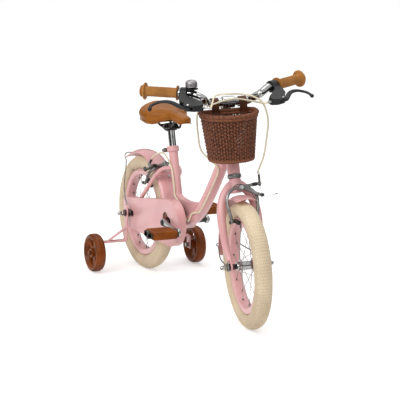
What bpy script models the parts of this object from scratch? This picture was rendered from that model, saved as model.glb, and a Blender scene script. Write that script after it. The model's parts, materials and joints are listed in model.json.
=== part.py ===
"""Kids bike with 14-inch tyres, training wheels and a wicker handlebar basket.

Metres, +X forward, +Y the rider's left, +Z up. The bar stands turned to the rider's right.
"""

import math

import bmesh
import bpy
from mathutils import Matrix, Quaternion, Vector

GAP = 0.0003

# Wheels
BEAD_RADIUS = 0.127
TYRE_HEIGHT = 0.050
TYRE_WIDTH = 0.050
RIM_WIDTH = 0.030
RIM_FLANGE = 0.006
RIM_DEPTH = 0.0115
RIM_WALL = 0.0026
TYRE_WALL = 0.0035
SPOKE_COUNT = 20
SPOKE_DIAMETER = 0.0022
HUB_LENGTH = 0.060
HUB_DIAMETER = 0.022
HUB_FLANGE_DIAMETER = 0.038
HUB_FLANGE_GAUGE = 0.036
WHEEL_STEPS = 28

# Frame geometry
WHEELBASE = 0.675
BB_FORWARD = 0.275
BB_RISE = 0.033
HEAD_ANGLE = 69.0
FORK_OFFSET = 0.012
CROWN_HEIGHT = 0.066
HEAD_TUBE_LENGTH = 0.112
HEAD_TUBE_DIAMETER = 0.036
HEADSET_DIAMETER = 0.040
LOWER_STACK = 0.012
UPPER_STACK = 0.020
STEERER_DIAMETER = 0.0254
DOWN_TUBE_DIAMETER = 0.036
DOWN_TUBE_DROP = 0.025
DOWN_TUBE_ANGLE = 58.5
DOWN_TUBE_BEND = 0.240
DOWN_TUBE_FOOT_ANGLE = 12.0
DOWN_TUBE_FOOT_BEND = 0.090
DOWN_TUBE_STEPS = 15
SEAT_ANGLE = 71.5
SEAT_SETBACK = 0.033
SEAT_TUBE_LENGTH = 0.213
SEAT_TUBE_DIAMETER = 0.0272
SEAT_BORE_DEPTH = 0.150
GUSSET_WIDTH = 0.020
SHELL_WIDTH = 0.054
SHELL_DIAMETER = 0.044
CUP_DIAMETER = 0.036
SPINDLE_DIAMETER = 0.017
STAY_DIAMETER = 0.013
DROPOUT_Y = 0.0450
DROPOUT_WIDTH = 0.0045
DROPOUT_RADIUS = 0.017
BRIDGE_DIAMETER = 0.013
BRIDGE_CLEARANCE = 0.0345
BRIDGE_HALF_WIDTH = 0.0345

# Steering
STEER_TURN = -11.65
CROWN_DIAMETER = 0.034
CROWN_DROP = 0.040
LEG_DIAMETER = 0.025
LEG_TIP_DIAMETER = 0.017
LEG_SPREAD = 0.0460
LEG_BOW = 0.0060
FORK_DROPOUT_WIDTH = 0.0045
BAR_DIAMETER = 0.0222
QUILL_DIAMETER = 0.0222
QUILL_DEPTH = 0.055
STEM_HEIGHT = 0.454
STEM_REACH = 0.033
STEM_CLAMP_WIDTH = 0.036
STEM_CLAMP_DIAMETER = 0.033
BAR_CENTRE_WIDTH = 0.052
BAR_RISE = 0.0365
GRIP_Y = 0.1414
GRIP_SWEEP = 29.9
GRIP_CLIMB = 2.5
GRIP_LENGTH = 0.098
GRIP_DIAMETER = 0.0275
GRIP_END_DIAMETER = 0.047
LEVER_TILT = -22.0
LEVER_THICKNESS = 0.0084

# Drivetrain
CHAIN_PITCH = 0.0127
CHAINRING_TEETH = 26
SPROCKET_TEETH = 14
CHAIN_Y = -0.0340
CHAIN_WIDTH = 0.0084
CHAIN_HEIGHT = 0.0084
TOOTH_WIDTH = 0.0030
CARRIER_DIAMETER = 0.026
CARRIER_OVERHANG = 0.0030
FREEWHEEL_DIAMETER = 0.040
CRANK_LENGTH = 0.102
CRANK_DROP = 3.0
CRANK_Y = 0.0700
CRANK_WIDTH = 0.011
PEDAL_AXLE_DIAMETER = 0.0095
PEDAL_LENGTH = 0.088
PEDAL_DEPTH = 0.058
PEDAL_HEIGHT = 0.026
GUARD_Y = -0.0550
GUARD_INNER_Y = -0.0290
GUARD_WALL = 0.0020
GUARD_RADIUS = 0.069
GUARD_DROP = 0.003

# Axles
AXLE_DIAMETER = 0.0095
REAR_AXLE_HALF = 0.0979
FRONT_AXLE_HALF = 0.0774
ACORN_LENGTH = 0.022
NUT_DIAMETER = 0.016

# Training wheels
TRAINER_Y = 0.1702
TRAINER_RADIUS = 0.059
TRAINER_WIDTH = 0.031
TRAINER_SPOKES = 5
TRAINER_BAR = 0.004
TRAINER_BAR_WIDTH = 0.023
TRAINER_PLATE_Y = 0.0685
TRAINER_ARM_RISE = 0.029
TRAINER_BOLT_DIAMETER = 0.009

# Brakes
BRAKE_CLEARANCE = 0.0335
BRAKE_FORWARD = 0.0500
REAR_BRAKE_OFFSET = 0.0300
ARM_DIAMETER = 0.0080
ARM_BOW = 0.0440
PAD_GAP = 0.0030
PAD_LENGTH = 0.042
PAD_HEIGHT = 0.009
PAD_WIDTH = 0.010
BRAKE_BOLT_DIAMETER = 0.006
ARM_LAYER = 0.0048
BARREL_DIAMETER = 0.0070
BARREL_TOP = 0.030

# Fenders
FENDER_CLEARANCE = 0.0170
FENDER_HALF_WIDTH = 0.0290
FENDER_WALL = 0.0018
FENDER_CURL = 0.016
STAY_WIRE_DIAMETER = 0.0034

# Saddle and post
POST_DIAMETER = 0.0222
COLLAR_HEIGHT = 0.016
COLLAR_LIP = 0.003
COLLAR_WALL = 0.0042
POST_INSERTION = 0.085
POST_RISE = 0.070
SADDLE_LENGTH = 0.222
SADDLE_WIDTH = 0.152
SADDLE_NOSE_WIDTH = 0.044
SADDLE_DEPTH = 0.040
SADDLE_BEHIND = 0.106
SADDLE_LIFT = 0.008
SADDLE_SKIRT = 0.016
SADDLE_TAIL_RISE = 0.009
SADDLE_NOSE_DROP = 0.009
RAIL_DIAMETER = 0.007

# Basket
BASKET_HEIGHT = 0.129
BASKET_BACK_WIDTH = 0.160
BASKET_DEPTH = 0.106
BASKET_FOOT_WIDTH = 0.128
BASKET_FOOT_DEPTH = 0.080
BASKET_HANG = -0.0085
BASKET_SWAY = 0.0070
BASKET_WALL = 0.005
BASKET_SKIRT = 0.006
BASKET_BAND = 0.013
BASKET_TOP_CLEARANCE = 0.0012
BASKET_LEAN = 0.045
STRAP_WIDTH = 0.022
STRAP_THICKNESS = 0.0024
STRAP_SPREAD = 0.040

# Bell
BELL_Y = -0.1080
BELL_DIAMETER = 0.032
BELL_HEIGHT = 0.017
BELL_RISE = 0.0054
BELL_WALL = 0.0014
BELL_PLATE_TOP = 0.0160
STRIKER_PIN_DIAMETER = 0.0030
STRIKER_OFFSET = 0.0105

CABLE_DIAMETER = 0.005

LOOKS = {
    "pink": ((0.78, 0.40, 0.40, 1.0), 0.35, 0.0),
    "chrome": ((0.80, 0.80, 0.82, 1.0), 0.18, 1.0),
    "steel": ((0.35, 0.35, 0.36, 1.0), 0.35, 1.0),
    "black": ((0.02, 0.02, 0.025, 1.0), 0.45, 0.0),
    "caramel": ((0.42, 0.17, 0.03, 1.0), 0.55, 0.0),
    "brown": ((0.20, 0.06, 0.015, 1.0), 0.55, 0.0),
    "cream": ((0.78, 0.68, 0.52, 1.0), 0.80, 0.0),
    "wicker": ((0.10, 0.035, 0.02, 1.0), 0.75, 0.0),
    "cable": ((0.80, 0.70, 0.58, 1.0), 0.45, 0.0),
}

X = Vector((1, 0, 0))
Y = Vector((0, 1, 0))
Z = Vector((0, 0, 1))
WHEEL_RADIUS = BEAD_RADIUS + TYRE_HEIGHT
FORK_LENGTH = WHEEL_RADIUS + CROWN_HEIGHT
BRIDGE_RADIUS = WHEEL_RADIUS + BRIDGE_CLEARANCE
BRAKE_PIVOT = WHEEL_RADIUS + BRAKE_CLEARANCE
FENDER_RADIUS = WHEEL_RADIUS + FENDER_CLEARANCE
REAR = Vector((0, 0, WHEEL_RADIUS))
FRONT = REAR + X * WHEELBASE
BB = REAR + X * BB_FORWARD + Z * BB_RISE
STEER_UP = Vector((-math.cos(math.radians(HEAD_ANGLE)), 0, math.sin(math.radians(HEAD_ANGLE))))
STEER_FORWARD = Vector((STEER_UP.z, 0, -STEER_UP.x))
AXIS_FOOT = FRONT - STEER_FORWARD * FORK_OFFSET
SEAT_UP = Vector((-math.cos(math.radians(SEAT_ANGLE)), 0, math.sin(math.radians(SEAT_ANGLE))))
SEAT_FOOT = BB - X * SEAT_SETBACK
HEAD_BASE = FORK_LENGTH + LOWER_STACK
HEAD_TOP = HEAD_BASE + HEAD_TUBE_LENGTH
RIM_INNER = BEAD_RADIUS - RIM_DEPTH
RIM_OUTER = BEAD_RADIUS + RIM_FLANGE
PITCH_RADIUS = CHAINRING_TEETH * CHAIN_PITCH / math.tau
SPROCKET_RADIUS = SPROCKET_TEETH * CHAIN_PITCH / math.tau


def steer_point(t, forward=0.0, y=0.0):
    """A point by its height along the steering axis, its distance ahead of it and its side."""
    return AXIS_FOOT + STEER_UP * t + STEER_FORWARD * forward + Y * y


def seat_point(t, y=0.0):
    return SEAT_FOOT + SEAT_UP * t + Y * y


def frame_matrix(origin, axis, side=None):
    """A matrix whose Z runs along the axis and whose X lies nearest to side."""
    z = axis.normalized()
    x = side if side is not None else (X if abs(z.x) < 0.9 else Z)
    x = (x - z * x.dot(z)).normalized()
    y = z.cross(x)
    matrix = Matrix((x, y, z)).transposed().to_4x4()
    matrix.translation = origin
    return matrix


def mesh_from(bm, round_form=True):
    bmesh.ops.recalc_face_normals(bm, faces=bm.faces)
    mesh = bpy.data.meshes.new("solid")
    bm.to_mesh(mesh)
    bm.free()
    if round_form:
        mesh.shade_smooth()
        mesh.set_sharp_from_angle(angle=math.radians(38))
    return mesh


def turned(profile, origin, axis, steps=16):
    """A profile of (radius, height) turned about the axis. An open one starts and ends on it."""
    bm = bmesh.new()
    verts = [bm.verts.new((radius, 0, height)) for radius, height in profile]
    edges = [bm.edges.new(pair) for pair in zip(verts, verts[1:])]
    if profile[0][0] > 0:
        edges.append(bm.edges.new((verts[-1], verts[0])))
    bmesh.ops.spin(bm, geom=verts + edges, cent=(0, 0, 0), axis=(0, 0, 1), angle=math.tau, steps=steps)
    bmesh.ops.remove_doubles(bm, verts=bm.verts, dist=1e-6)
    bmesh.ops.transform(bm, matrix=frame_matrix(origin, axis), verts=bm.verts)
    return mesh_from(bm)


def rod(start, end, diameter, steps=16):
    radius = diameter / 2
    length = (end - start).length
    return turned([(0, 0), (radius, 0), (radius, length), (0, length)], start, end - start, steps)


def sleeve(start, end, outer, inner, steps=16):
    length = (end - start).length
    profile = [(inner / 2, 0), (outer / 2, 0), (outer / 2, length), (inner / 2, length)]
    return turned(profile, start, end - start, steps)


def prism(outline, origin, axis, side, depth):
    """An outline of (x, y) extruded along the axis, centred on the origin."""
    bm = bmesh.new()
    face = bm.faces.new([bm.verts.new((x, y, -depth / 2)) for x, y in outline])
    grown = bmesh.ops.extrude_face_region(bm, geom=[face])
    moved = [item for item in grown["geom"] if isinstance(item, bmesh.types.BMVert)]
    bmesh.ops.translate(bm, vec=(0, 0, depth), verts=moved)
    bmesh.ops.transform(bm, matrix=frame_matrix(origin, axis, side), verts=bm.verts)
    return mesh_from(bm, round_form=False)


def block(centre, size, matrix=None, bevel=0.0):
    bm = bmesh.new()
    bmesh.ops.create_cube(bm, size=1.0, matrix=Matrix.Diagonal((*size, 1)))
    if bevel:
        bmesh.ops.bevel(bm, geom=bm.edges, offset=bevel, segments=1, affect="EDGES")
    turn = matrix.to_3x3().to_4x4() if matrix else Matrix.Identity(4)
    bmesh.ops.transform(bm, matrix=Matrix.Translation(centre) @ turn, verts=bm.verts)
    return mesh_from(bm, round_form=False)


def smooth_route(points, count):
    """Evenly spread points on a Catmull-Rom curve through the route's own points."""
    points = [Vector(point) for point in points]
    padded = [points[0] * 2 - points[1]] + points + [points[-1] * 2 - points[-2]]
    fine = []
    for a, b, c, d in zip(padded, padded[1:], padded[2:], padded[3:]):
        for step in range(16):
            s = step / 16
            fine.append(
                0.5 * (2 * b + (c - a) * s + (2 * a - 5 * b + 4 * c - d) * s**2)
                + 0.5 * (3 * b - a - 3 * c + d) * s**3
            )
    fine.append(points[-1])
    lengths = [0.0]
    for a, b in zip(fine, fine[1:]):
        lengths.append(lengths[-1] + (b - a).length)
    spread = []
    index = 0
    for step in range(count):
        target = lengths[-1] * step / (count - 1)
        while index < len(fine) - 2 and lengths[index + 1] < target:
            index += 1
        share = (target - lengths[index]) / (lengths[index + 1] - lengths[index])
        spread.append(fine[index].lerp(fine[index + 1], min(share, 1.0)))
    return spread


def bezier(a, b, c, d, count):
    steps = [step / (count - 1) for step in range(count)]
    return [
        a * (1 - s) ** 3 + b * 3 * s * (1 - s) ** 2 + c * 3 * s**2 * (1 - s) + d * s**3
        for s in steps
    ]


def tube(points, diameter, resolution=4, radii=None):
    """A tube along the points, from a bevelled curve with filled caps."""
    curve = bpy.data.curves.new("route", "CURVE")
    curve.dimensions = "3D"
    curve.bevel_depth = diameter / 2
    curve.bevel_resolution = resolution
    curve.use_fill_caps = True
    spline = curve.splines.new("POLY")
    spline.points.add(len(points) - 1)
    for index, point in enumerate(points):
        spline.points[index].co = (*point, 1)
        spline.points[index].radius = radii[index] if radii else 1.0
    holder = bpy.data.objects.new("route", curve)
    bpy.context.scene.collection.objects.link(holder)
    bm = bmesh.new()
    graph = bpy.context.evaluated_depsgraph_get()
    made = bpy.data.meshes.new_from_object(holder.evaluated_get(graph))
    bm.from_mesh(made)
    bpy.data.objects.remove(holder)
    bmesh.ops.remove_doubles(bm, verts=bm.verts, dist=1e-6)
    return mesh_from(bm)


def lofted(rings, closed=False):
    """A skin through rings of points, with flat ends unless the rings close."""
    bm = bmesh.new()
    rows = [[bm.verts.new(point) for point in ring] for ring in rings]
    pairs = list(zip(rows, rows[1:]))
    if closed:
        pairs.append((rows[-1], rows[0]))
    for first, second in pairs:
        count = len(first)
        for index in range(count):
            after = (index + 1) % count
            bm.faces.new((first[index], first[after], second[after], second[index]))
    if not closed:
        bm.faces.new(rows[0])
        bm.faces.new(rows[-1])
    return mesh_from(bm)


def empty(name, parent, location=(0, 0, 0)):
    holder = bpy.data.objects.new(name, None)
    bpy.context.scene.collection.objects.link(holder)
    holder.parent = parent
    holder.location = location
    return holder


def material_for(name, look):
    colour, roughness, metallic = LOOKS[look]
    material = bpy.data.materials.new(name)
    material.use_nodes = True
    shader = material.node_tree.nodes["Principled BSDF"]
    shader.inputs["Base Color"].default_value = colour
    shader.inputs["Roughness"].default_value = roughness
    shader.inputs["Metallic"].default_value = metallic
    return material


def place(name, mesh, parent, origin):
    mesh.transform(Matrix.Translation(-origin))
    mesh.name = name
    item = bpy.data.objects.new(name, mesh)
    bpy.context.scene.collection.objects.link(item)
    item.parent = parent
    item.location = origin
    return item


def operand(item, mesh, operation, index):
    """Joins a solid to the item, or cuts it out, by an exact Boolean with a hidden operand."""
    other = place(f"{item.name}_{operation.lower()}_{index}", mesh, item.parent, item.location)
    other.hide_render = True
    other.display_type = "WIRE"
    modifier = item.modifiers.new(other.name, "BOOLEAN")
    modifier.operation = operation
    modifier.solver = "EXACT"
    modifier.object = other
    weld = item.modifiers.new(f"{other.name}_weld", "WELD")
    weld.merge_threshold = 4e-6


def piece(name, look, parent, solids, cuts=(), origin=None):
    """One named piece: its first solid, the others joined to it, and the cuts taken out."""
    origin = Vector(origin) if origin is not None else Vector((0, 0, 0))
    item = place(name, solids[0], parent, origin)
    item.data.materials.append(material_for(name, look))
    for index, mesh in enumerate(solids[1:]):
        operand(item, mesh, "UNION", index)
    for index, mesh in enumerate(cuts):
        operand(item, mesh, "DIFFERENCE", index)
    return item


def both_sides(build):
    for side, label in ((-1, "right"), (1, "left")):
        build(side, label)


def arc(centre, radius, start, end, steps):
    """Points in the plane on an arc, by angles in degrees."""
    angles = [math.radians(start + (end - start) * step / steps) for step in range(steps + 1)]
    return [(centre[0] + radius * math.cos(a), centre[1] + radius * math.sin(a)) for a in angles]


# Wheels


def tyre_mesh(centre):
    """A hollow tyre whose beads stand in the rim and whose walls bulge over its flanges."""
    middle = BEAD_RADIUS + TYRE_HEIGHT / 2
    half = TYRE_WIDTH / 2
    bead = RIM_WIDTH / 2 - RIM_WALL - GAP
    foot = BEAD_RADIUS + GAP
    brow = RIM_OUTER + 2 * GAP
    outer = []
    for angle in (-42, 8, 48, 76, 104, 132, 172, 222):
        a = math.radians(angle)
        outer.append((middle + TYRE_HEIGHT / 2 * math.sin(a), half * math.cos(a)))
    inner = []
    for angle in (200, 90, -20):
        a = math.radians(angle)
        inner.append((middle + (TYRE_HEIGHT / 2 - TYRE_WALL) * math.sin(a), (half - TYRE_WALL) * math.cos(a)))
    section = [(foot, bead), (brow, bead)] + outer + [(brow, -bead), (foot, -bead)]
    section += [(foot, -bead + TYRE_WALL)] + inner + [(foot, bead - TYRE_WALL)]
    return turned(section, centre, Y, WHEEL_STEPS)


def rim_mesh(centre):
    half = RIM_WIDTH / 2
    section = [
        (RIM_INNER, -half),
        (RIM_OUTER, -half),
        (RIM_OUTER, -half + RIM_WALL),
        (BEAD_RADIUS, -half + RIM_WALL),
        (BEAD_RADIUS, half - RIM_WALL),
        (RIM_OUTER, half - RIM_WALL),
        (RIM_OUTER, half),
        (RIM_INNER, half),
    ]
    return turned(section, centre, Y, WHEEL_STEPS)


def spoke(centre, index):
    side = 1 if index % 2 else -1
    rim_angle = math.tau * index / SPOKE_COUNT
    hub_angle = rim_angle + side * math.radians(62)
    flange = HUB_FLANGE_DIAMETER / 2 - 0.0035
    reach = RIM_INNER - GAP - SPOKE_DIAMETER / 4
    seat = side * HUB_FLANGE_GAUGE / 2
    start = Vector((flange * math.cos(hub_angle), seat, flange * math.sin(hub_angle)))
    end = Vector((reach * math.cos(rim_angle), side * RIM_WIDTH / 8, reach * math.sin(rim_angle)))
    return rod(centre + start, centre + end, SPOKE_DIAMETER, 4)


def hub_section(carrier):
    """The hub's profile. A rear hub also carries the freewheel on a wider sleeve at its right end."""
    end = HUB_LENGTH / 2
    outer = HUB_DIAMETER / 2
    bore = AXLE_DIAMETER / 2 + GAP
    flange = HUB_FLANGE_DIAMETER / 2
    inside = HUB_FLANGE_GAUGE / 2 - 0.0014
    outside = HUB_FLANGE_GAUGE / 2 + 0.0014
    waist = outer * 0.86
    right = [(bore, -end), (outer, -end), (outer, -outside)]
    if carrier:
        seat = CARRIER_DIAMETER / 2
        right = [(bore, CHAIN_Y - CARRIER_OVERHANG), (seat, CHAIN_Y - CARRIER_OVERHANG), (seat, -outside)]
    return right + [
        (flange, -outside), (flange, -inside), (waist, -inside), (waist, inside), (flange, inside),
        (flange, outside), (outer, outside), (outer, end), (bore, end),
    ]


def wheel(label, centre, parent, carrier):
    piece(f"{label}_tyre", "cream", parent, [tyre_mesh(centre)], origin=centre)
    piece(f"{label}_rim", "pink", parent, [rim_mesh(centre)], origin=centre)
    solids = [turned(hub_section(carrier), centre, Y, 12)]
    solids += [spoke(centre, index) for index in range(SPOKE_COUNT)]
    piece(f"{label}_hub", "chrome", parent, solids, origin=centre)


def acorn_profile(tip):
    """A domed axle nut as (radius, height) up to its tip."""
    base = tip - ACORN_LENGTH
    radius = NUT_DIAMETER / 2
    shoulder = base + ACORN_LENGTH * 0.42
    dome = radius * 0.8
    profile = [(radius, base), (radius, shoulder), (dome, shoulder)]
    for angle in (35, 65):
        a = math.radians(angle)
        profile.append((dome * math.cos(a), shoulder + (tip - shoulder) * math.sin(a)))
    return profile + [(0, tip)]


def axle_mesh(centre, bands, tip):
    """An axle with bands of (radius, from, to) and a domed nut, the same on both sides."""
    bare = AXLE_DIAMETER / 2
    half = []
    for radius, start, end in bands:
        half += [(bare, start), (radius, start), (radius, end), (bare, end)]
    half += [(bare, tip - ACORN_LENGTH)] + acorn_profile(tip)
    other = [(radius, -height) for radius, height in half[::-1]]
    return turned(other + half, centre, Y, 8)


# Frame


def down_tube_points():
    top = steer_point(HEAD_TOP - DOWN_TUBE_DROP)
    angle = math.radians(DOWN_TUBE_ANGLE)
    foot_angle = math.radians(DOWN_TUBE_FOOT_ANGLE)
    upper = top - Vector((math.cos(angle), 0, math.sin(angle))) * DOWN_TUBE_BEND
    lower = BB + Vector((math.cos(foot_angle), 0, math.sin(foot_angle))) * DOWN_TUBE_FOOT_BEND
    return bezier(BB, lower, upper, top, DOWN_TUBE_STEPS)


def gusset_mesh():
    """The web between the seat tube, the down tube and the shell, with a hollow top edge."""
    route = down_tube_points()
    seat_end = seat_point(0.092)
    tube_end = route[8]
    dip = Vector((0, 0, 0.026))
    edge = bezier(seat_end, seat_end + X * 0.020 - Z * 0.040, tube_end - X * 0.070 - dip, tube_end, 9)
    corners = [seat_point(-0.004), BB - X * 0.010 - Z * 0.014]
    outline = [(point.x, point.z) for point in edge + route[7:1:-2] + corners[::-1]]
    return prism(outline, Vector((0, 0, 0)), -Y, X, GUSSET_WIDTH)


def build_main_frame(parent):
    head = rod(steer_point(HEAD_BASE + GAP), steer_point(HEAD_TOP), HEAD_TUBE_DIAMETER, 20)
    down = tube(down_tube_points(), DOWN_TUBE_DIAMETER, 4)
    seat = rod(seat_point(0.002), seat_point(SEAT_TUBE_LENGTH), SEAT_TUBE_DIAMETER, 20)
    shell = rod(BB - Y * SHELL_WIDTH / 2, BB + Y * SHELL_WIDTH / 2, SHELL_DIAMETER, 24)
    head_bore = STEERER_DIAMETER + 0.002
    cuts = [
        rod(steer_point(HEAD_BASE - 0.01), steer_point(HEAD_TOP + 0.01), head_bore, 20),
        rod(BB - Y * SHELL_WIDTH, BB + Y * SHELL_WIDTH, CUP_DIAMETER, 20),
        rod(seat_point(SEAT_TUBE_LENGTH - SEAT_BORE_DEPTH), seat_point(SEAT_TUBE_LENGTH + 0.01),
            POST_DIAMETER + 2 * GAP, 20),
    ]
    piece("main_frame", "pink", parent, [down, head, seat, shell, gusset_mesh()], cuts)


def stay_direction():
    """The direction from the rear axle to the brake bridge, and the one behind the stays."""
    up = Vector((math.cos(math.radians(45.5)), 0, math.sin(math.radians(45.5))))
    return up, Vector((-up.z, 0, up.x))


def rear_triangle(parent, side, label):
    up, _ = stay_direction()
    joint = seat_point(0.152, side * 0.010)
    bridge = REAR + up * BRIDGE_RADIUS + Y * side * (BRIDGE_HALF_WIDTH + 0.004)
    socket = BRIDGE_HALF_WIDTH + GAP
    upper = smooth_route(
        [
            REAR + up * 0.012 + Y * side * DROPOUT_Y,
            REAR + up * 0.100 + Y * side * (DROPOUT_Y - 0.0005),
            bridge - up * 0.030 + Y * side * 0.002,
            bridge,
            bridge + up * 0.026 - Y * side * 0.012,
            joint,
        ],
        11,
    )
    lower = smooth_route(
        [
            REAR + X * 0.012 + Y * side * DROPOUT_Y + Z * 0.001,
            REAR + X * 0.090 + Y * side * (DROPOUT_Y - 0.002) + Z * 0.008,
            REAR + X * 0.150 + Y * side * 0.0385 + Z * 0.015,
            REAR + X * 0.185 + Y * side * 0.0325 + Z * 0.020,
            REAR + X * 0.216 + Y * side * 0.0248 + Z * 0.025,
            BB - X * 0.012 + Y * side * 0.0190 - Z * 0.002,
        ],
        9,
    )
    plate = arc((0, 0), DROPOUT_RADIUS, 90, 360, 9)
    plate += [(0.036, -0.003), (0.036, 0.009), (0.034, 0.032), (0.022, 0.034)]
    solids = [
        prism(plate, REAR + Y * side * DROPOUT_Y, -Y, X, DROPOUT_WIDTH),
        tube(upper, STAY_DIAMETER, 2),
        tube(lower, STAY_DIAMETER, 2),
    ]
    cuts = [
        rod(REAR + Y * side * 0.02, REAR + Y * side * 0.07, AXLE_DIAMETER + 0.0008, 16),
        rod(seat_point(-0.05), seat_point(SEAT_TUBE_LENGTH + 0.01), SEAT_TUBE_DIAMETER + 2 * GAP, 20),
        rod(BB - Y * SHELL_WIDTH, BB + Y * SHELL_WIDTH, SHELL_DIAMETER + 2 * GAP, 24),
        block(BB - X * 0.03, (0.12, GUSSET_WIDTH + 2 * GAP, 0.12)),
        rod(REAR + up * BRIDGE_RADIUS - Y * socket, REAR + up * BRIDGE_RADIUS + Y * socket,
            BRIDGE_DIAMETER + 2 * GAP, 16),
    ]
    piece(f"rear_triangle_{label}", "pink", parent, solids, cuts)


def build_bridge(parent):
    up, behind = stay_direction()
    centre = REAR + up * BRIDGE_RADIUS
    half = BRIDGE_HALF_WIDTH
    bar = rod(centre - Y * half, centre + Y * half, BRIDGE_DIAMETER, 16)
    bore = rod(centre - behind * 0.03, centre + behind * 0.03, 0.0066, 12)
    piece("brake_bridge", "pink", parent, [bar], [bore])


def build_headset(parent):
    bore = STEERER_DIAMETER / 2 + GAP
    outer = HEADSET_DIAMETER / 2
    lower = LOWER_STACK - GAP
    profile = [(bore, 0), (outer * 0.86, 0), (outer, lower * 0.3), (outer, lower * 0.8)]
    profile += [(outer * 0.92, lower), (bore, lower)]
    lower_cup = turned(profile, steer_point(FORK_LENGTH + GAP), STEER_UP, 16)
    piece("headset_lower", "chrome", parent, [lower_cup])
    profile = [(bore, 0), (outer * 0.94, 0), (outer, 0.003), (outer, 0.009), (outer * 0.82, 0.012)]
    profile += [(outer * 0.82, UPPER_STACK), (bore, UPPER_STACK)]
    upper_cup = turned(profile, steer_point(HEAD_TOP + GAP), STEER_UP, 16)
    piece("headset_upper", "chrome", parent, [upper_cup])


def build_seat_clamp(parent):
    """A collar with a lip over the tube's end, and a bolt through two ears at the back."""
    start = SEAT_TUBE_LENGTH - COLLAR_HEIGHT + COLLAR_LIP
    inner = SEAT_TUBE_DIAMETER / 2 + GAP
    outer = inner + COLLAR_WALL
    lip = POST_DIAMETER / 2 + 2 * GAP
    ledge = COLLAR_HEIGHT - COLLAR_LIP + GAP
    profile = [(inner, 0), (outer, 0), (outer, COLLAR_HEIGHT), (lip, COLLAR_HEIGHT), (lip, ledge), (inner, ledge)]
    collar = turned(profile, seat_point(start), SEAT_UP, 16)
    middle = seat_point(start + COLLAR_HEIGHT / 2)
    back = SEAT_UP.cross(Y)
    bolt_at = middle + back * (outer + 0.0040)
    ears = block(middle + back * (outer + 0.0025), (0.012, 0.020, 0.012), frame_matrix(Vector(), SEAT_UP, back))
    bolt = turned([(0, -0.021), (0.0065, -0.021), (0.0065, -0.013), (0.0035, -0.013), (0.0035, 0.013),
                   (0.0055, 0.013), (0.0055, 0.018), (0, 0.018)], bolt_at, Y, 12)
    piece("seat_clamp", "pink", parent, [collar, ears, bolt])


def build_bottom_bracket(parent):
    half = SHELL_WIDTH / 2 + 0.0015
    outer = CUP_DIAMETER / 2 - GAP
    bore = SPINDLE_DIAMETER / 2 + GAP
    profile = [(bore, -half), (outer, -half), (outer, half), (bore, half)]
    piece("bottom_bracket", "steel", parent, [turned(profile, BB, Y, 20)])


def guard_outline(inset=0.0):
    """The guard seen from its side, with a round front over the chainring."""
    front = (BB.x, BB.z - GUARD_DROP)
    radius = GUARD_RADIUS - inset
    foot = SPROCKET_RADIUS + 0.019 - inset
    rear = (REAR.x, REAR.z)
    tail = [
        (rear[0] - 0.036 + inset * 0.4, rear[1] + 0.041 - inset),
        (rear[0] - 0.058 + inset, rear[1] + 0.027 - inset * 0.4),
        (rear[0] - 0.048 + inset, rear[1] - 0.006),
        (rear[0] - 0.024 + inset * 0.7, rear[1] - 0.034 + inset * 0.7),
        (rear[0] + 0.009, rear[1] - foot),
    ]
    return arc(front, radius, -97, 98, 20) + tail


def build_guard(parent):
    depth = GUARD_INNER_Y - GUARD_Y
    body = prism(guard_outline(), Vector((0, GUARD_Y + depth / 2, 0)), -Y, X, depth)
    hollow_centre = Vector((0, GUARD_Y + GUARD_WALL + depth / 2, 0))
    hollow = prism(guard_outline(GUARD_WALL), hollow_centre, -Y, X, depth)
    window = BB + Vector((-0.0226, GUARD_Y, 0.0064))
    hub = BB + Y * GUARD_Y
    slot = REAR + Vector((0.002, GUARD_Y, 0))
    up, _ = stay_direction()
    notch = REAR + up * 0.070 + Y * (GUARD_INNER_Y - depth / 2 + GUARD_WALL)
    cuts = [
        hollow,
        rod(window - Y * 0.01, window + Y * 0.01, 0.038, 24),
        rod(hub - Y * 0.01, hub + Y * 0.01, 0.030, 24),
        block(slot, (0.052, 0.02, NUT_DIAMETER + 0.003)),
        block(notch, (0.080, depth, STAY_DIAMETER + 0.006), frame_matrix(Vector(), Y.cross(up), up)),
    ]
    piece("chain_guard", "pink", parent, [body], cuts)


def chain_outline(offset):
    """The closed belt line round both sprockets, at an offset from the pitch line."""
    span = BB - REAR
    distance = span.length
    slope = math.degrees(math.atan2(span.z, span.x))
    wrap = math.degrees(math.asin((PITCH_RADIUS - SPROCKET_RADIUS) / distance))
    front = arc((BB.x, BB.z), PITCH_RADIUS + offset, slope - 90 - wrap, slope + 90 + wrap, 14)
    rear = arc((REAR.x, REAR.z), SPROCKET_RADIUS + offset, slope + 90 + wrap, slope + 270 - wrap, 9)
    return front + rear


def build_chain(parent):
    """The chain as one closed band with a channel for the teeth on its inner side."""
    half = CHAIN_WIDTH / 2
    groove = TOOTH_WIDTH / 2 + 0.0008
    top = CHAIN_HEIGHT / 2
    floor = 0.0022
    section = [(-top, -half), (top, -half), (top, half), (-top, half), (-top, groove), (floor, groove)]
    section += [(floor, -groove), (-top, -groove)]
    lines = [chain_outline(offset) for offset, _ in section]
    rings = []
    for index in range(len(lines[0])):
        rings.append([
            Vector((lines[k][index][0], CHAIN_Y + section[k][1], lines[k][index][1]))
            for k in range(len(section))
        ])
    piece("chain", "steel", parent, [lofted(rings, closed=True)])


def sprocket_outline(teeth, phase=0.0):
    """Teeth that end inside the chain's channel."""
    pitch = teeth * CHAIN_PITCH / math.tau
    points = []
    for index in range(teeth):
        for share, radius in ((-0.5, -0.0036), (-0.12, 0.0014), (0.12, 0.0014)):
            angle = math.tau * (index + share + phase) / teeth
            points.append(((pitch + radius) * math.cos(angle), (pitch + radius) * math.sin(angle)))
    return points


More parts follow.
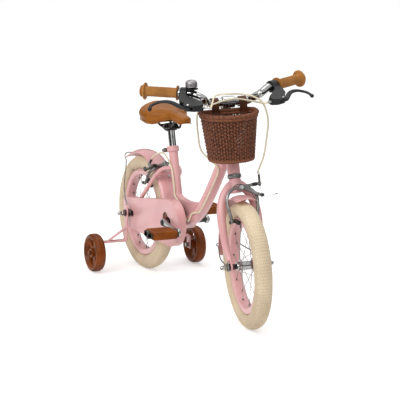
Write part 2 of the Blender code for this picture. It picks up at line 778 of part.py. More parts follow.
def fender_rings(centre, start, end, steps):
    """Rings of a curved strip with curled edges, from one angle to another about the axle."""
    count = 6
    rings = []
    for step in range(steps + 1):
        angle = math.radians(start + (end - start) * step / steps)
        ring = []
        for wall, order in ((0.0, range(count)), (FENDER_WALL, range(count - 1, -1, -1))):
            for index in order:
                share = index / (count - 1) * 2 - 1
                across = share * (FENDER_HALF_WIDTH - wall)
                drop = FENDER_CURL * (1 - math.sqrt(max(0.0, 1 - (share * 0.97) ** 2)))
                radius = FENDER_RADIUS - drop - wall
                ring.append(centre + Vector((radius * math.cos(angle), across, radius * math.sin(angle))))
        rings.append(ring)
    return rings


def stay_wire(centre, reach_angle, drop, tip_y):
    """A bent wire from both sides of an axle to the outer edge of a fender."""
    angle = math.radians(reach_angle)
    out = Vector((math.cos(angle), 0, math.sin(angle)))
    return out, [
        centre + Y * -tip_y + out * drop,
        centre + Y * -(tip_y - 0.001) + out * 0.075,
        centre + Y * -(FENDER_HALF_WIDTH + 0.0055) + out * (FENDER_RADIUS - 0.030),
        centre + Y * -(FENDER_HALF_WIDTH + 0.0055) + out * (FENDER_RADIUS - 0.009),
        centre + Y * -(FENDER_HALF_WIDTH - 0.004) + out * (FENDER_RADIUS + 0.0026),
        centre + out * (FENDER_RADIUS + STAY_WIRE_DIAMETER / 2 + 0.0001),
    ]


def wire_mesh(centre, reach_angle, drop, tip_y):
    out, half = stay_wire(centre, reach_angle, drop, tip_y)
    mirrored = [Vector((point.x, -point.y, point.z)) for point in half[-2::-1]]
    return tube(smooth_route(half + mirrored, 19), STAY_WIRE_DIAMETER, 1)


def build_rear_fender(parent):
    piece("rear_fender", "pink", parent, [lofted(fender_rings(REAR, 18, 128, 15))])
    loop = wire_mesh(REAR, 122, 0.0125, 0.0605)
    eyes = [sleeve(REAR + Y * side * 0.0592, REAR + Y * side * 0.0617, 0.026, NUT_DIAMETER + 0.0020, 10)
            for side in (-1, 1)]
    piece("rear_fender_stay", "steel", parent, [loop] + eyes)


def build_rear_axle(parent):
    """The axle with its lock nuts, spacers, washers and domed nuts."""
    inner = DROPOUT_Y - DROPOUT_WIDTH / 2 - GAP
    outer = DROPOUT_Y + DROPOUT_WIDTH / 2 + GAP
    plate_in = TRAINER_PLATE_Y - TRAINER_BAR / 2 - GAP
    plate_out = TRAINER_PLATE_Y + TRAINER_BAR / 2 + GAP
    radius = NUT_DIAMETER / 2
    bands = [(radius, inner - 0.0015, inner), (radius, outer, plate_in), (0.010, plate_out, plate_out + 0.004)]
    piece("rear_axle", "steel", parent, [axle_mesh(REAR, bands, REAR_AXLE_HALF)])


def trainer_bracket(parent, side, label):
    """The training wheel's bracket: a plate on the axle, a leg, an arm out and a brace."""
    inner = TRAINER_PLATE_Y - TRAINER_BAR / 2
    outer = TRAINER_PLATE_Y + TRAINER_BAR / 2
    wheel_side = TRAINER_Y - TRAINER_WIDTH / 2 - 0.0035
    arm_top = TRAINER_RADIUS + TRAINER_ARM_RISE + TRAINER_BAR
    arm_low = arm_top - TRAINER_BAR
    foot = TRAINER_RADIUS - 0.011
    top = REAR.z + 0.025
    leg = [
        (inner, top), (outer, top), (outer, arm_top), (wheel_side, arm_top), (wheel_side, foot),
        (wheel_side - TRAINER_BAR, foot), (wheel_side - TRAINER_BAR, arm_low), (inner, arm_low),
    ]
    brace = [
        (outer - 0.002, arm_top + 0.040), (outer - 0.002, arm_top + 0.035),
        (wheel_side - 0.024, arm_top - 0.002), (wheel_side - 0.018, arm_top - 0.002),
    ]
    leg = [(side * y, z) for y, z in leg]
    brace = [(side * y, z) for y, z in brace]
    wheel_axis = Vector((0, 0, TRAINER_RADIUS))
    bolt_in = wheel_axis + Y * side * (wheel_side - TRAINER_BAR - 0.009)
    bolt_out = wheel_axis + Y * side * (TRAINER_Y + TRAINER_WIDTH / 2 + 0.006)
    head_in = wheel_axis + Y * side * (wheel_side - 0.002)
    cap = wheel_axis + Y * side * (TRAINER_Y + TRAINER_WIDTH / 2 + 0.0004)
    solids = [
        prism(leg, Vector((0, 0, 0)), X, Y, TRAINER_BAR_WIDTH),
        prism(brace, Vector((0, 0, 0)), X, Y, 0.010),
        rod(wheel_axis + Y * side * (wheel_side - 0.002), bolt_out, TRAINER_BOLT_DIAMETER, 14),
        rod(bolt_in, head_in, 0.015, 6),
        rod(cap, bolt_out, 0.015, 6),
    ]
    bore = rod(REAR + Y * side * (inner - 0.01), REAR + Y * side * (outer + 0.01), AXLE_DIAMETER + 0.0008, 16)
    piece(f"trainer_bracket_{label}", "pink", parent, solids, [bore])


def trainer_wheel(parent, side, label):
    centre = Vector((0, side * TRAINER_Y, TRAINER_RADIUS))
    half = TRAINER_WIDTH / 2
    tread = TRAINER_RADIUS
    bore = TRAINER_BOLT_DIAMETER / 2 + GAP
    section = [
        (bore, -half + 0.001), (0.014, -half + 0.001), (0.014, -0.005), (tread - 0.019, -0.005),
        (tread - 0.016, -half), (tread - 0.006, -half), (tread, -half + 0.007), (tread, half - 0.007),
        (tread - 0.006, half), (tread - 0.016, half), (tread - 0.019, 0.005), (0.014, 0.005),
        (0.014, half - 0.001), (bore, half - 0.001),
    ]
    cuts = []
    for index in range(TRAINER_SPOKES):
        angle = math.tau * (index + 0.5) / TRAINER_SPOKES
        middle = Vector((math.cos(angle), 0, math.sin(angle))) * 0.0285
        cuts.append(rod(centre + middle - Y * half, centre + middle + Y * half, 0.0185, 6))
    joint = empty(f"trainer_axis_{label}", parent, centre)
    wheel_item = piece(f"trainer_wheel_{label}", "caramel", joint, [turned(section, Vector(), Y, 18)],
                       [shifted(mesh, -centre) for mesh in cuts])
    return wheel_item


def shifted(mesh, offset):
    mesh.transform(Matrix.Translation(offset))
    return mesh


# Drivetrain


def crank(parent, side, label):
    """An arm with its pedal axle. The right one points forward and slightly down."""
    angle = math.radians(-CRANK_DROP)
    reach = Vector((math.cos(angle), 0, math.sin(angle))) * (-side)
    root = BB + Y * side * CRANK_Y
    tip = root + reach * CRANK_LENGTH
    half_boss = 0.0130
    half_eye = 0.0110
    outline = arc((0, 0), half_boss, 90, 270, 8)
    outline += [(0.03, -0.0085), (CRANK_LENGTH - 0.02, -0.0075)]
    outline += arc((CRANK_LENGTH, 0), half_eye, -90, 90, 8)
    outline += [(CRANK_LENGTH - 0.02, 0.0075), (0.03, 0.0085)]
    arm = prism(outline, root, -Y, reach, CRANK_WIDTH)
    axle_end = tip + Y * side * (CRANK_WIDTH / 2 + 0.004 + PEDAL_LENGTH - 0.006)
    axle = rod(tip, axle_end, PEDAL_AXLE_DIAMETER, 14)
    cap = rod(root, root + Y * side * (CRANK_WIDTH / 2 + 0.003), 0.016, 14)
    square = rod(BB + Y * side * 0.01, BB + Y * side * (CRANK_Y + 0.001), SPINDLE_DIAMETER + 2 * GAP, 16)
    piece(f"crank_{label}", "chrome", parent, [arm, axle, cap], [square], origin=BB)
    return tip + Y * side * (CRANK_WIDTH / 2 + 0.004 + PEDAL_LENGTH / 2)


def pedal(parent, side, label, centre):
    body = block(centre, (PEDAL_DEPTH, PEDAL_LENGTH, PEDAL_HEIGHT), None, 0.003)
    half = PEDAL_LENGTH / 2
    bore_in = centre - Y * side * (half + 0.01)
    bore_out = centre + Y * side * (half - 0.004)
    bore = rod(bore_in, bore_out, PEDAL_AXLE_DIAMETER + 2 * GAP, 14)
    joint = empty(f"pedal_axis_{label}", parent, centre)
    piece(f"pedal_{label}", "caramel", joint, [shifted(body, -centre)], [shifted(bore, -centre)])


def build_cranks(parent):
    """The crank set is written about the bottom bracket, which its empty stands on."""
    half = CRANK_Y - CRANK_WIDTH / 2
    boss = [(0, -CRANK_Y), (SPINDLE_DIAMETER / 2, -CRANK_Y), (SPINDLE_DIAMETER / 2, -half + 0.0004),
            (0.0095, -half + 0.0004), (0.0095, -SHELL_WIDTH / 2 - 0.004), (SPINDLE_DIAMETER / 2, -0.030),
            (SPINDLE_DIAMETER / 2, CRANK_Y), (0, CRANK_Y)]
    piece("crank_spindle", "black", parent, [turned(boss, BB, Y, 14)], origin=BB)
    ring_face = prism(sprocket_outline(CHAINRING_TEETH), BB + Y * CHAIN_Y, -Y, X, TOOTH_WIDTH)
    bore = rod(BB + Y * (CHAIN_Y - 0.02), BB + Y * (CHAIN_Y + 0.02), 0.0190 + 4 * GAP, 14)
    windows = []
    for index in range(5):
        angle = math.tau * (index + 0.5) / 5
        middle = BB + Y * CHAIN_Y + Vector((math.cos(angle), 0, math.sin(angle))) * (PITCH_RADIUS * 0.58)
        windows.append(rod(middle - Y * 0.01, middle + Y * 0.01, 0.022, 6))
    piece("chainring", "steel", parent, [ring_face], [bore] + windows, origin=BB)


def build_freewheel(parent):
    width = TOOTH_WIDTH
    teeth = prism(sprocket_outline(SPROCKET_TEETH), REAR + Y * CHAIN_Y, -Y, X, width)
    body = rod(REAR + Y * (CHAIN_Y - 0.0040), REAR + Y * (CHAIN_Y + 0.0035), FREEWHEEL_DIAMETER, 20)
    bore = rod(REAR + Y * (CHAIN_Y - 0.02), REAR + Y * (CHAIN_Y + 0.02), CARRIER_DIAMETER + 2 * GAP, 20)
    piece("freewheel", "steel", parent, [teeth, body], [bore], origin=REAR)


# Steering


def leg_points(side):
    """A leg's centre line: round at the shoulder, bowed outwards past the tyre and in to the dropout."""
    return smooth_route(
        [
            steer_point(FORK_LENGTH - 0.014, 0, side * 0.004),
            steer_point(FORK_LENGTH - 0.021, 0, side * 0.018),
            steer_point(FORK_LENGTH - 0.038, 0, side * 0.0325),
            steer_point(FORK_LENGTH - 0.058, 0, side * (LEG_SPREAD - 0.0032)),
            steer_point(FORK_LENGTH - 0.078, 0, side * (LEG_SPREAD + LEG_BOW * 0.40)),
            steer_point(FORK_LENGTH - 0.100, 0, side * (LEG_SPREAD + LEG_BOW * 0.90)),
            steer_point(0.110, 0, side * (LEG_SPREAD + LEG_BOW)),
            steer_point(0.060, 0, side * (LEG_SPREAD + LEG_BOW * 0.60)),
            steer_point(0.030, FORK_OFFSET * 0.55, side * (LEG_SPREAD + LEG_BOW * 0.20)),
            steer_point(0.016, FORK_OFFSET * 0.80, side * LEG_SPREAD),
        ],
        13,
    )


def build_fork(parent):
    solids = [rod(steer_point(FORK_LENGTH - CROWN_DROP), steer_point(FORK_LENGTH), CROWN_DIAMETER, 20),
              rod(steer_point(FORK_LENGTH - 0.01), steer_point(HEAD_TOP + UPPER_STACK - 0.002),
                  STEERER_DIAMETER, 16)]
    taper = 1 - LEG_TIP_DIAMETER / LEG_DIAMETER
    for side in (-1, 1):
        points = leg_points(side)
        radii = [1 - taper * max(0.0, (index - 6) / 6) for index in range(len(points))]
        solids.append(tube(points, LEG_DIAMETER, 3, radii))
        plate = arc((0, 0), 0.014, 180, 360, 8) + [(0.0075, 0.032), (-0.0075, 0.032)]
        solids.append(prism(plate, FRONT + Y * side * LEG_SPREAD, -Y, STEER_FORWARD, FORK_DROPOUT_WIDTH))
    quill = rod(steer_point(HEAD_TOP + UPPER_STACK - QUILL_DEPTH - 0.004),
                steer_point(HEAD_TOP + UPPER_STACK + 0.01), QUILL_DIAMETER + 2 * GAP, 20)
    bolt = rod(steer_point(BRAKE_PIVOT, -0.05), steer_point(BRAKE_PIVOT, 0.05), 0.0066, 12)
    axle = rod(FRONT - Y * 0.08, FRONT + Y * 0.08, AXLE_DIAMETER + 0.0008, 16)
    piece("fork", "pink", parent, solids, [quill, bolt, axle])


def bar_centre():
    return steer_point(STEM_HEIGHT - 0.001, STEM_REACH)


def build_stem(parent):
    quill_start = steer_point(HEAD_TOP + UPPER_STACK - QUILL_DEPTH)
    centre = bar_centre()
    half = STEM_CLAMP_WIDTH / 2
    neck = rod(steer_point(STEM_HEIGHT - 0.004, -0.006), centre, 0.024, 12)
    solids = [
        rod(quill_start, steer_point(STEM_HEIGHT + 0.010), QUILL_DIAMETER, 16),
        rod(steer_point(STEM_HEIGHT - 0.020), steer_point(STEM_HEIGHT + 0.008), 0.030, 16),
        neck,
        rod(centre - Y * half, centre + Y * half, STEM_CLAMP_DIAMETER, 16),
    ]
    bore = rod(centre - Y * 0.05, centre + Y * 0.05, BAR_DIAMETER + 4 * GAP, 16)
    key = rod(steer_point(STEM_HEIGHT + 0.004), steer_point(STEM_HEIGHT + 0.02), 0.008, 6)
    piece("stem", "chrome", parent, solids, [bore, key])


def grip_axis(side):
    """The grip's direction, outwards, and the lever plane's own direction away from the grip."""
    sweep = math.radians(GRIP_SWEEP)
    climb = math.radians(GRIP_CLIMB)
    along = Vector((-math.sin(sweep) * math.cos(climb), side * math.cos(sweep) * math.cos(climb),
                    math.sin(climb)))
    tilt = math.radians(LEVER_TILT)
    ahead = Vector((math.cos(tilt), 0, math.sin(tilt)))
    reach = (ahead - along * ahead.dot(along)).normalized()
    return along, reach


def grip_start(side):
    return bar_centre() + Y * side * GRIP_Y + Z * BAR_RISE + X * 0.0005


def bar_points():
    along, _ = grip_axis(1)
    start = grip_start(1)
    half = [
        bar_centre(),
        bar_centre() + Y * BAR_CENTRE_WIDTH * 0.5,
        bar_centre() + Y * BAR_CENTRE_WIDTH,
        bar_centre() + Y * (BAR_CENTRE_WIDTH + 0.012) + X * 0.003 + Z * 0.004,
        start - along * 0.066 - Z * 0.011 - Y * 0.001,
        start - along * 0.038,
        start - along * 0.022,
        start + along * (GRIP_LENGTH - 0.012),
    ]
    route = smooth_route(half, 18)
    mirrored = [Vector((point.x, -point.y, point.z)) for point in route[:0:-1]]
    return mirrored + route


def build_bar(parent):
    piece("handlebar", "chrome", parent, [tube(bar_points(), BAR_DIAMETER, 3)])


def grip(parent, side, label):
    along, _ = grip_axis(side)
    bore = BAR_DIAMETER / 2 + 2 * GAP
    body = GRIP_DIAMETER / 2
    end = GRIP_END_DIAMETER / 2
    length = GRIP_LENGTH
    profile = [
        (0, length - 0.0115), (bore, length - 0.0115), (bore, 0), (body + 0.0035, 0), (body + 0.0035, 0.003),
        (body, 0.004), (body, length - 0.018), (body + 0.003, length - 0.014), (end - 0.004, length - 0.011),
        (end, length - 0.006), (end, length - 0.001), (end * 0.80, length + 0.006),
        (end * 0.40, length + 0.0095), (0, length + 0.010),
    ]
    piece(f"grip_{label}", "caramel", parent, [turned(profile, grip_start(side), along, 14)])


LEVER_ROUTE = (
    (-0.0450, 0.0660), (-0.0330, 0.0685), (-0.0220, 0.0630), (-0.0060, 0.0530), (0.0100, 0.0455),
    (0.0260, 0.0440), (0.0400, 0.0480), (0.0530, 0.0590), (0.0590, 0.0700), (0.0580, 0.0840),
)
LEVER_PIVOT = (-0.0450, 0.0660)
BRACKET_OUTLINE = (
    (-0.0285, 0.0000), (-0.0060, 0.0000), (-0.0080, 0.0250), (-0.0170, 0.0500), (-0.0330, 0.0600),
    (-0.0330, 0.0708), (-0.0640, 0.0712), (-0.0860, 0.0630), (-0.0840, 0.0480), (-0.0580, 0.0350),
    (-0.0290, 0.0200),
)
SLOT_OUTLINE = (
    (-0.0330, 0.0460), (-0.0200, 0.0340), (-0.0020, 0.0300), (-0.0020, 0.0900), (-0.0450, 0.0900),
    (-0.0590, 0.0740), (-0.0600, 0.0560), (-0.0500, 0.0500),
)


def lever_point(side, route_point):
    along, reach = grip_axis(side)
    return grip_start(side) + along * route_point[0] + reach * route_point[1]


def lever_bracket(parent, side, label):
    along, reach = grip_axis(side)
    start = grip_start(side)
    normal = along.cross(reach)
    clamp = rod(start - along * 0.0280, start - along * 0.0070, 0.034, 16)
    body = prism(BRACKET_OUTLINE, start, normal, along, 0.020)
    barrel_start = lever_point(side, (-0.0800, 0.0570))
    barrel_end = lever_point(side, (-0.0960, 0.0585))
    barrel = rod(barrel_start, barrel_end, 0.0080, 12)
    bore = rod(start - along * 0.045, start + along * 0.004, BAR_DIAMETER + 4 * GAP, 16)
    slot = prism(SLOT_OUTLINE, start, normal, along, LEVER_THICKNESS + 4 * GAP)
    piece(f"lever_bracket_{label}", "black", parent, [body, clamp, barrel], [bore, slot])


def brake_lever(parent, side, label):
    along, reach = grip_axis(side)
    normal = along.cross(reach)
    pivot = lever_point(side, LEVER_PIVOT)
    points = smooth_route([lever_point(side, point) for point in LEVER_ROUTE], 16)
    half = LEVER_THICKNESS / 2
    eye = rod(pivot - normal * half, pivot + normal * half, 0.020, 14)
    ball = rod(points[-1] - reach * 0.002, points[-1] + reach * 0.004, 0.0110, 12)
    blade = tube(points, LEVER_THICKNESS - 0.0002, 2)
    piece(f"brake_lever_{label}", "black", parent, [blade, eye, ball], origin=pivot)


def bell_origin():
    """The point of the bar's centre line under the bell."""
    points = bar_points()
    for first, second in zip(points, points[1:]):
        if first.y <= BELL_Y <= second.y:
            return first.lerp(second, (BELL_Y - first.y) / (second.y - first.y))
    return points[0]


def striker_direction():
    """The striker points back and towards the middle of the bar."""
    return Vector((-0.8, 0.6, 0))


def striker_pivot(base):
    return base + striker_direction() * STRIKER_OFFSET + Z * BELL_PLATE_TOP


def build_bell(parent):
    """A domed bell on a band round the bar, with a thumb striker under its rim."""
    base = bell_origin()
    build_bell_base(parent, base)
    radius = BELL_DIAMETER / 2
    height = BELL_HEIGHT
    wall = BELL_WALL
    inner = [(0, height - wall), (radius * 0.40, height - wall - 0.0004),
             (radius * 0.80 - wall, height * 0.86 - wall), (radius - wall, height * 0.50), (radius - wall, 0)]
    outer = [(radius, 0), (radius, height * 0.55), (radius * 0.80, height * 0.86),
             (radius * 0.40, height), (0, height + 0.0006)]
    rim = base + Z * (BELL_PLATE_TOP + BELL_RISE)
    piece("bell_dome", "chrome", parent, [turned(inner + outer, rim, Z, 16)])
    pivot = striker_pivot(base)
    out = striker_direction()
    eye = rod(pivot + Z * GAP, pivot + Z * 0.0042, 0.0070, 10)
    arm = rod(pivot + Z * 0.0022 + out * 0.001, pivot + Z * 0.0022 + out * 0.0190, 0.0034, 6)
    knob = rod(pivot + out * 0.0190 - Z * 0.0002, pivot + out * 0.0190 + Z * 0.0060, 0.0065, 10)
    bore = rod(pivot - Z * 0.01, pivot + Z * 0.01, STRIKER_PIN_DIAMETER + 2 * GAP, 8)
    piece("bell_striker", "black", parent, [eye, arm, knob], [bore], origin=pivot)


def build_bell_base(parent, base):
    """The band, its pillar, the plate under the striker and the pin that holds the dome."""
    band = rod(base - Y * 0.005, base + Y * 0.005, BAR_DIAMETER + 0.007, 16)
    pin_top = BELL_PLATE_TOP + BELL_RISE + BELL_HEIGHT - BELL_WALL - GAP
    pillar = turned([(0, 0), (0.0050, 0), (0.0050, BELL_PLATE_TOP - 0.0004), (0.0026, BELL_PLATE_TOP - 0.0004),
                     (0.0026, pin_top), (0, pin_top)], base, Z, 12)
    out = striker_direction()
    tongue = block(base + out * STRIKER_OFFSET * 0.56 + Z * (BELL_PLATE_TOP - 0.001),
                   (STRIKER_OFFSET + 0.008, 0.0085, 0.002), frame_matrix(Vector(), Z, out))
    pivot = striker_pivot(base)
    pin = rod(pivot - Z * 0.001, pivot + Z * 0.0048, STRIKER_PIN_DIAMETER, 8)
    near = [point for point in bar_points() if abs(point.y - base.y) < 0.035]
    bore = tube(near, BAR_DIAMETER + 0.0012, 3)
    piece("bell_base", "black", parent, [band, pillar, tongue, pin], [bore])


# Basket


def basket_top():
    return bar_centre().z - STEM_CLAMP_DIAMETER / 2 - BASKET_TOP_CLEARANCE


def basket_ring(width, depth, back_x, z, hang, steps=14):
    """One level outline of the basket: a flat back with round corners and a rounded front."""
    corner = min(0.017, width * 0.14)
    half = width / 2
    points = []
    for angle in (180, 150, 120, 90):
        a = math.radians(angle)
        points.append((back_x + corner + corner * math.cos(a), hang + half - corner + corner * math.sin(a)))
    for step in range(1, steps):
        a = math.radians(90 - 180 * step / steps)
        reach = depth - corner
        points.append((back_x + corner + reach * abs(math.cos(a)) ** 0.80, hang + half * math.sin(a)))
    for angle in (270, 240, 210, 180):
        a = math.radians(angle)
        points.append((back_x + corner + corner * math.cos(a), hang - half + corner + corner * math.sin(a)))
    return [Vector((x, y, z)) for x, y in points]


def basket_level(share, inset=0.0, z=None):
    """The outline at a share of the height, 1 at the rim."""
    top = basket_top()
    base = Vector((bar_centre().x + 0.003, 0, top))
    width = BASKET_FOOT_WIDTH + (BASKET_BACK_WIDTH - BASKET_FOOT_WIDTH) * share - 2 * inset
    depth = BASKET_FOOT_DEPTH + (BASKET_DEPTH - BASKET_FOOT_DEPTH) * share - 2 * inset
    back = base.x + BASKET_LEAN * (1 - share) + inset
    level = top - BASKET_HEIGHT * (1 - share) if z is None else z
    return basket_ring(width, depth, back, level, BASKET_HANG - BASKET_SWAY * (1 - share))


def build_basket(parent):
    top = basket_top()
    bottom = top - BASKET_HEIGHT
    floor = bottom + BASKET_WALL + 0.001
    band = 1 - BASKET_BAND / BASKET_HEIGHT
    outer = [
        basket_level(0.0, 0.010, bottom),
        basket_level(0.025, 0.0045),
        basket_level(0.075, 0.0005),
        basket_level(0.40, -0.0010),
        basket_level(band, 0.0),
        basket_level(band + 0.010, -0.0030),
        basket_level(0.985, -0.0030),
        basket_level(1.0, -0.0010),
    ]
    inner = [
        basket_level(1.0, BASKET_WALL - 0.001),
        basket_level(0.45, BASKET_WALL),
        basket_level(0.06, BASKET_WALL + 0.0018, floor + BASKET_SKIRT),
        basket_level(0.06, BASKET_WALL + 0.0020, floor),
    ]
    piece("basket", "wicker", parent, [lofted(outer + inner)])


def strap(parent, side, label):
    """A leather strap over the bar and down inside the basket's back wall."""
    y = side * STRAP_SPREAD
    centre = bar_centre() + Y * y
    radius = BAR_DIAMETER / 2 + GAP + 0.0003
    thickness = STRAP_THICKNESS
    back_x = bar_centre().x + 0.003
    rim_top = basket_top()
    outer_front = back_x + BASKET_WALL + 0.0022
    loop = []
    for angle in (20, 50, 80, 110, 140, 170, 200, 230):
        a = math.radians(angle)
        loop.append(centre + Vector((math.cos(a), 0, math.sin(a))) * (radius + thickness / 2))
    end = centre + Vector((-radius * 0.62, 0, -radius - 0.0045))
    tail = [
        Vector((outer_front + 0.0125, y, rim_top - 0.034)),
        Vector((outer_front + 0.0048, y, rim_top - 0.010)),
        Vector((max(outer_front + 0.0045, centre.x + radius - 0.001), y, rim_top + 0.0040)),
    ]
    line = smooth_route(tail + loop + [end], 26)
    piece(f"strap_{label}", "caramel", parent, [ribbon(line, STRAP_WIDTH, thickness)])


def ribbon(points, width, thickness):
    """A flat band along points that lie across the bike."""
    rings = []
    for index, point in enumerate(points):
        before = points[max(index - 1, 0)]
        after = points[min(index + 1, len(points) - 1)]
        run = (after - before).normalized()
        out = run.cross(Y).normalized()
        rings.append([
            point + out * thickness / 2 - Y * width / 2,
            point + out * thickness / 2 + Y * width / 2,
            point - out * thickness / 2 + Y * width / 2,
            point - out * thickness / 2 - Y * width / 2,
        ])
    return lofted(rings)


# Front wheel fittings


def build_front_fender(parent):
    piece("front_fender", "pink", parent, [lofted(fender_rings(FRONT, 84, 186, 15))])
    loop = wire_mesh(FRONT, 176, 0.0125, 0.0555)
    eyes = [sleeve(FRONT + Y * side * 0.0542, FRONT + Y * side * 0.0567, 0.026, NUT_DIAMETER + 0.0020, 10)
            for side in (-1, 1)]
    piece("front_fender_stay", "steel", parent, [loop] + eyes)


def build_front_axle(parent):
    inner = LEG_SPREAD - FORK_DROPOUT_WIDTH / 2 - GAP
    outer = LEG_SPREAD + FORK_DROPOUT_WIDTH / 2 + GAP
    radius = NUT_DIAMETER / 2
    bands = [(radius, HUB_LENGTH / 2 + 0.0006, inner), (radius, outer, FRONT_AXLE_HALF - ACORN_LENGTH - 0.0005)]
    piece("front_axle", "steel", parent, [axle_mesh(FRONT, bands, FRONT_AXLE_HALF)])


class Caliper:
    """A side-pull brake: its pivot, the bolt's direction, the way down to the rim, the cable side."""

    def __init__(self, pivot, ahead, down, side, axle):
        self.pivot = pivot
        self.ahead = ahead.normalized()
        self.down = down.normalized()
        self.side = side
        track = (RIM_INNER + RIM_OUTER) / 2
        offset = (pivot - axle).dot(self.ahead)
        drop = math.sqrt(track**2 - offset**2)
        self.reach = (axle - pivot).dot(self.down) - drop
        self.tangent = Y.cross(self.ahead * offset - self.down * drop)

    def point(self, across, up, layer=0.0):
        return self.pivot + Y * self.side * across - self.down * up + self.ahead * layer

    def pad(self, sign, layer):
        half = RIM_WIDTH / 2 + PAD_GAP
        centre = self.point(sign * (half + PAD_WIDTH / 2), -self.reach)
        turn = frame_matrix(Vector(), Y, self.tangent)
        rubber = block(centre, (PAD_LENGTH, PAD_HEIGHT, PAD_WIDTH), turn)
        back = centre + Y * self.side * sign * 0.004
        tip = self.point(sign * (ARM_BOW + 0.0015), -self.reach)
        stud = rod(back, tip, 0.0062, 8)
        arm_stud = self.point(sign * (ARM_BOW - 0.006), -self.reach, layer)
        link = rod(arm_stud, self.point(sign * (ARM_BOW - 0.006), -self.reach), 0.0084, 8)
        nut = rod(self.point(sign * (ARM_BOW - 0.003), -self.reach), tip, 0.0110, 8)
        return [rubber, stud, link, nut]


def arm_down(caliper, sign, layer):
    """The bowed half of an arm from the pivot down to its pad."""
    bow = ARM_BOW
    reach = caliper.reach
    return [
        caliper.point(0, 0, layer),
        caliper.point(sign * 0.018, 0.000, layer),
        caliper.point(sign * 0.032, -0.008, layer),
        caliper.point(sign * (bow - 0.001), -0.024, layer),
        caliper.point(sign * bow, -0.045, layer),
        caliper.point(sign * (bow - 0.003), -0.066, layer),
        caliper.point(sign * (bow - 0.006), -reach, layer),
    ]


def brake_arms(parent, prefix, caliper):
    """One arm ends at the cable's pinch bolt and the other one at the barrel."""
    far, near = -ARM_LAYER, ARM_LAYER
    thick = ARM_LAYER - GAP / 2
    pinch_end = [caliper.point(0.0565, -0.026, near), caliper.point(0.040, -0.019, near),
                 caliper.point(0.018, -0.009, near)]
    barrel_end = [caliper.point(0.001, 0.0022, far), caliper.point(0.022, 0.0046, far),
                  caliper.point(0.040, 0.0066, far), caliper.point(0.0535, 0.0080, far)]
    bore = [rod(caliper.point(0, 0, -0.03), caliper.point(0, 0, 0.03), BRAKE_BOLT_DIAMETER + 2 * GAP, 12)
            for _ in range(2)]
    eyes = [rod(caliper.point(0, 0, layer - thick), caliper.point(0, 0, layer + thick), 0.016, 12)
            for layer in (far, near)]
    pinch = rod(caliper.point(0.0565, -0.026, near - 0.005), caliper.point(0.0565, -0.026, near + 0.008),
                0.0095, 8)
    low, high = barrel_line(caliper)
    barrel = rod(low, high, BARREL_DIAMETER, 9)
    joiner = rod(caliper.point(0.0537, 0.0068, far - 0.0031), caliper.point(0.0537, 0.0068, near + 0.0027),
                 0.0100, 8)
    wire_bore = rod(low - (high - low) * 0.2, high + (high - low) * 0.2, 0.0026, 6)
    long_route = smooth_route(pinch_end + arm_down(caliper, -1, near), 13)
    short_route = smooth_route(arm_down(caliper, 1, far), 9)
    piece(f"{prefix}_brake_arm_pinch", "steel", parent,
          [tube(long_route, ARM_DIAMETER, 1), eyes[1], pinch] + caliper.pad(-1, near),
          [bore[0]], origin=caliper.pivot)
    piece(f"{prefix}_brake_arm_barrel", "steel", parent,
          [tube(short_route, ARM_DIAMETER, 1), tube(smooth_route(barrel_end, 5), ARM_DIAMETER, 1), eyes[0],
           joiner, barrel] + caliper.pad(1, far), [bore[1], wire_bore], origin=caliper.pivot)


def barrel_line(caliper):
    """The foot and the top of the cable's adjusting barrel."""
    layer = ARM_LAYER - 0.001
    return caliper.point(0.0535, 0.000, layer), caliper.point(0.0545, BARREL_TOP, layer)


def brake_bolt(parent, name, caliper, back):
    """The bolt that carries a caliper, with a collar behind the arms and a nut at each end."""
    shank = BRAKE_BOLT_DIAMETER / 2
    front = 2 * ARM_LAYER
    profile = [
        (0, -back), (0.0055, -back), (0.0055, -back + 0.005), (shank, -back + 0.005),
        (shank, -front - 0.006), (0.0060, -front - 0.006), (0.0060, -front), (shank, -front),
        (shank, front), (0.0055, front), (0.0055, front + 0.0035), (0, front + 0.0035),
    ]
    piece(name, "steel", parent, [turned(profile, caliper.pivot, caliper.ahead, 12)])


def front_caliper():
    pivot = steer_point(BRAKE_PIVOT, BRAKE_FORWARD)
    return Caliper(pivot, STEER_FORWARD, -STEER_UP, 1, FRONT)


def rear_caliper():
    up, behind = stay_direction()
    pivot = REAR + up * BRIDGE_RADIUS + behind * REAR_BRAKE_OFFSET
    return Caliper(pivot, behind, -up, -1, REAR)


# Seat


def post_top():
    return SEAT_TUBE_LENGTH + POST_RISE


def build_post(parent):
    start = seat_point(SEAT_TUBE_LENGTH - POST_INSERTION)
    piece("seat_post", "chrome", parent, [rod(start, seat_point(post_top()), POST_DIAMETER, 20)],
          origin=start)


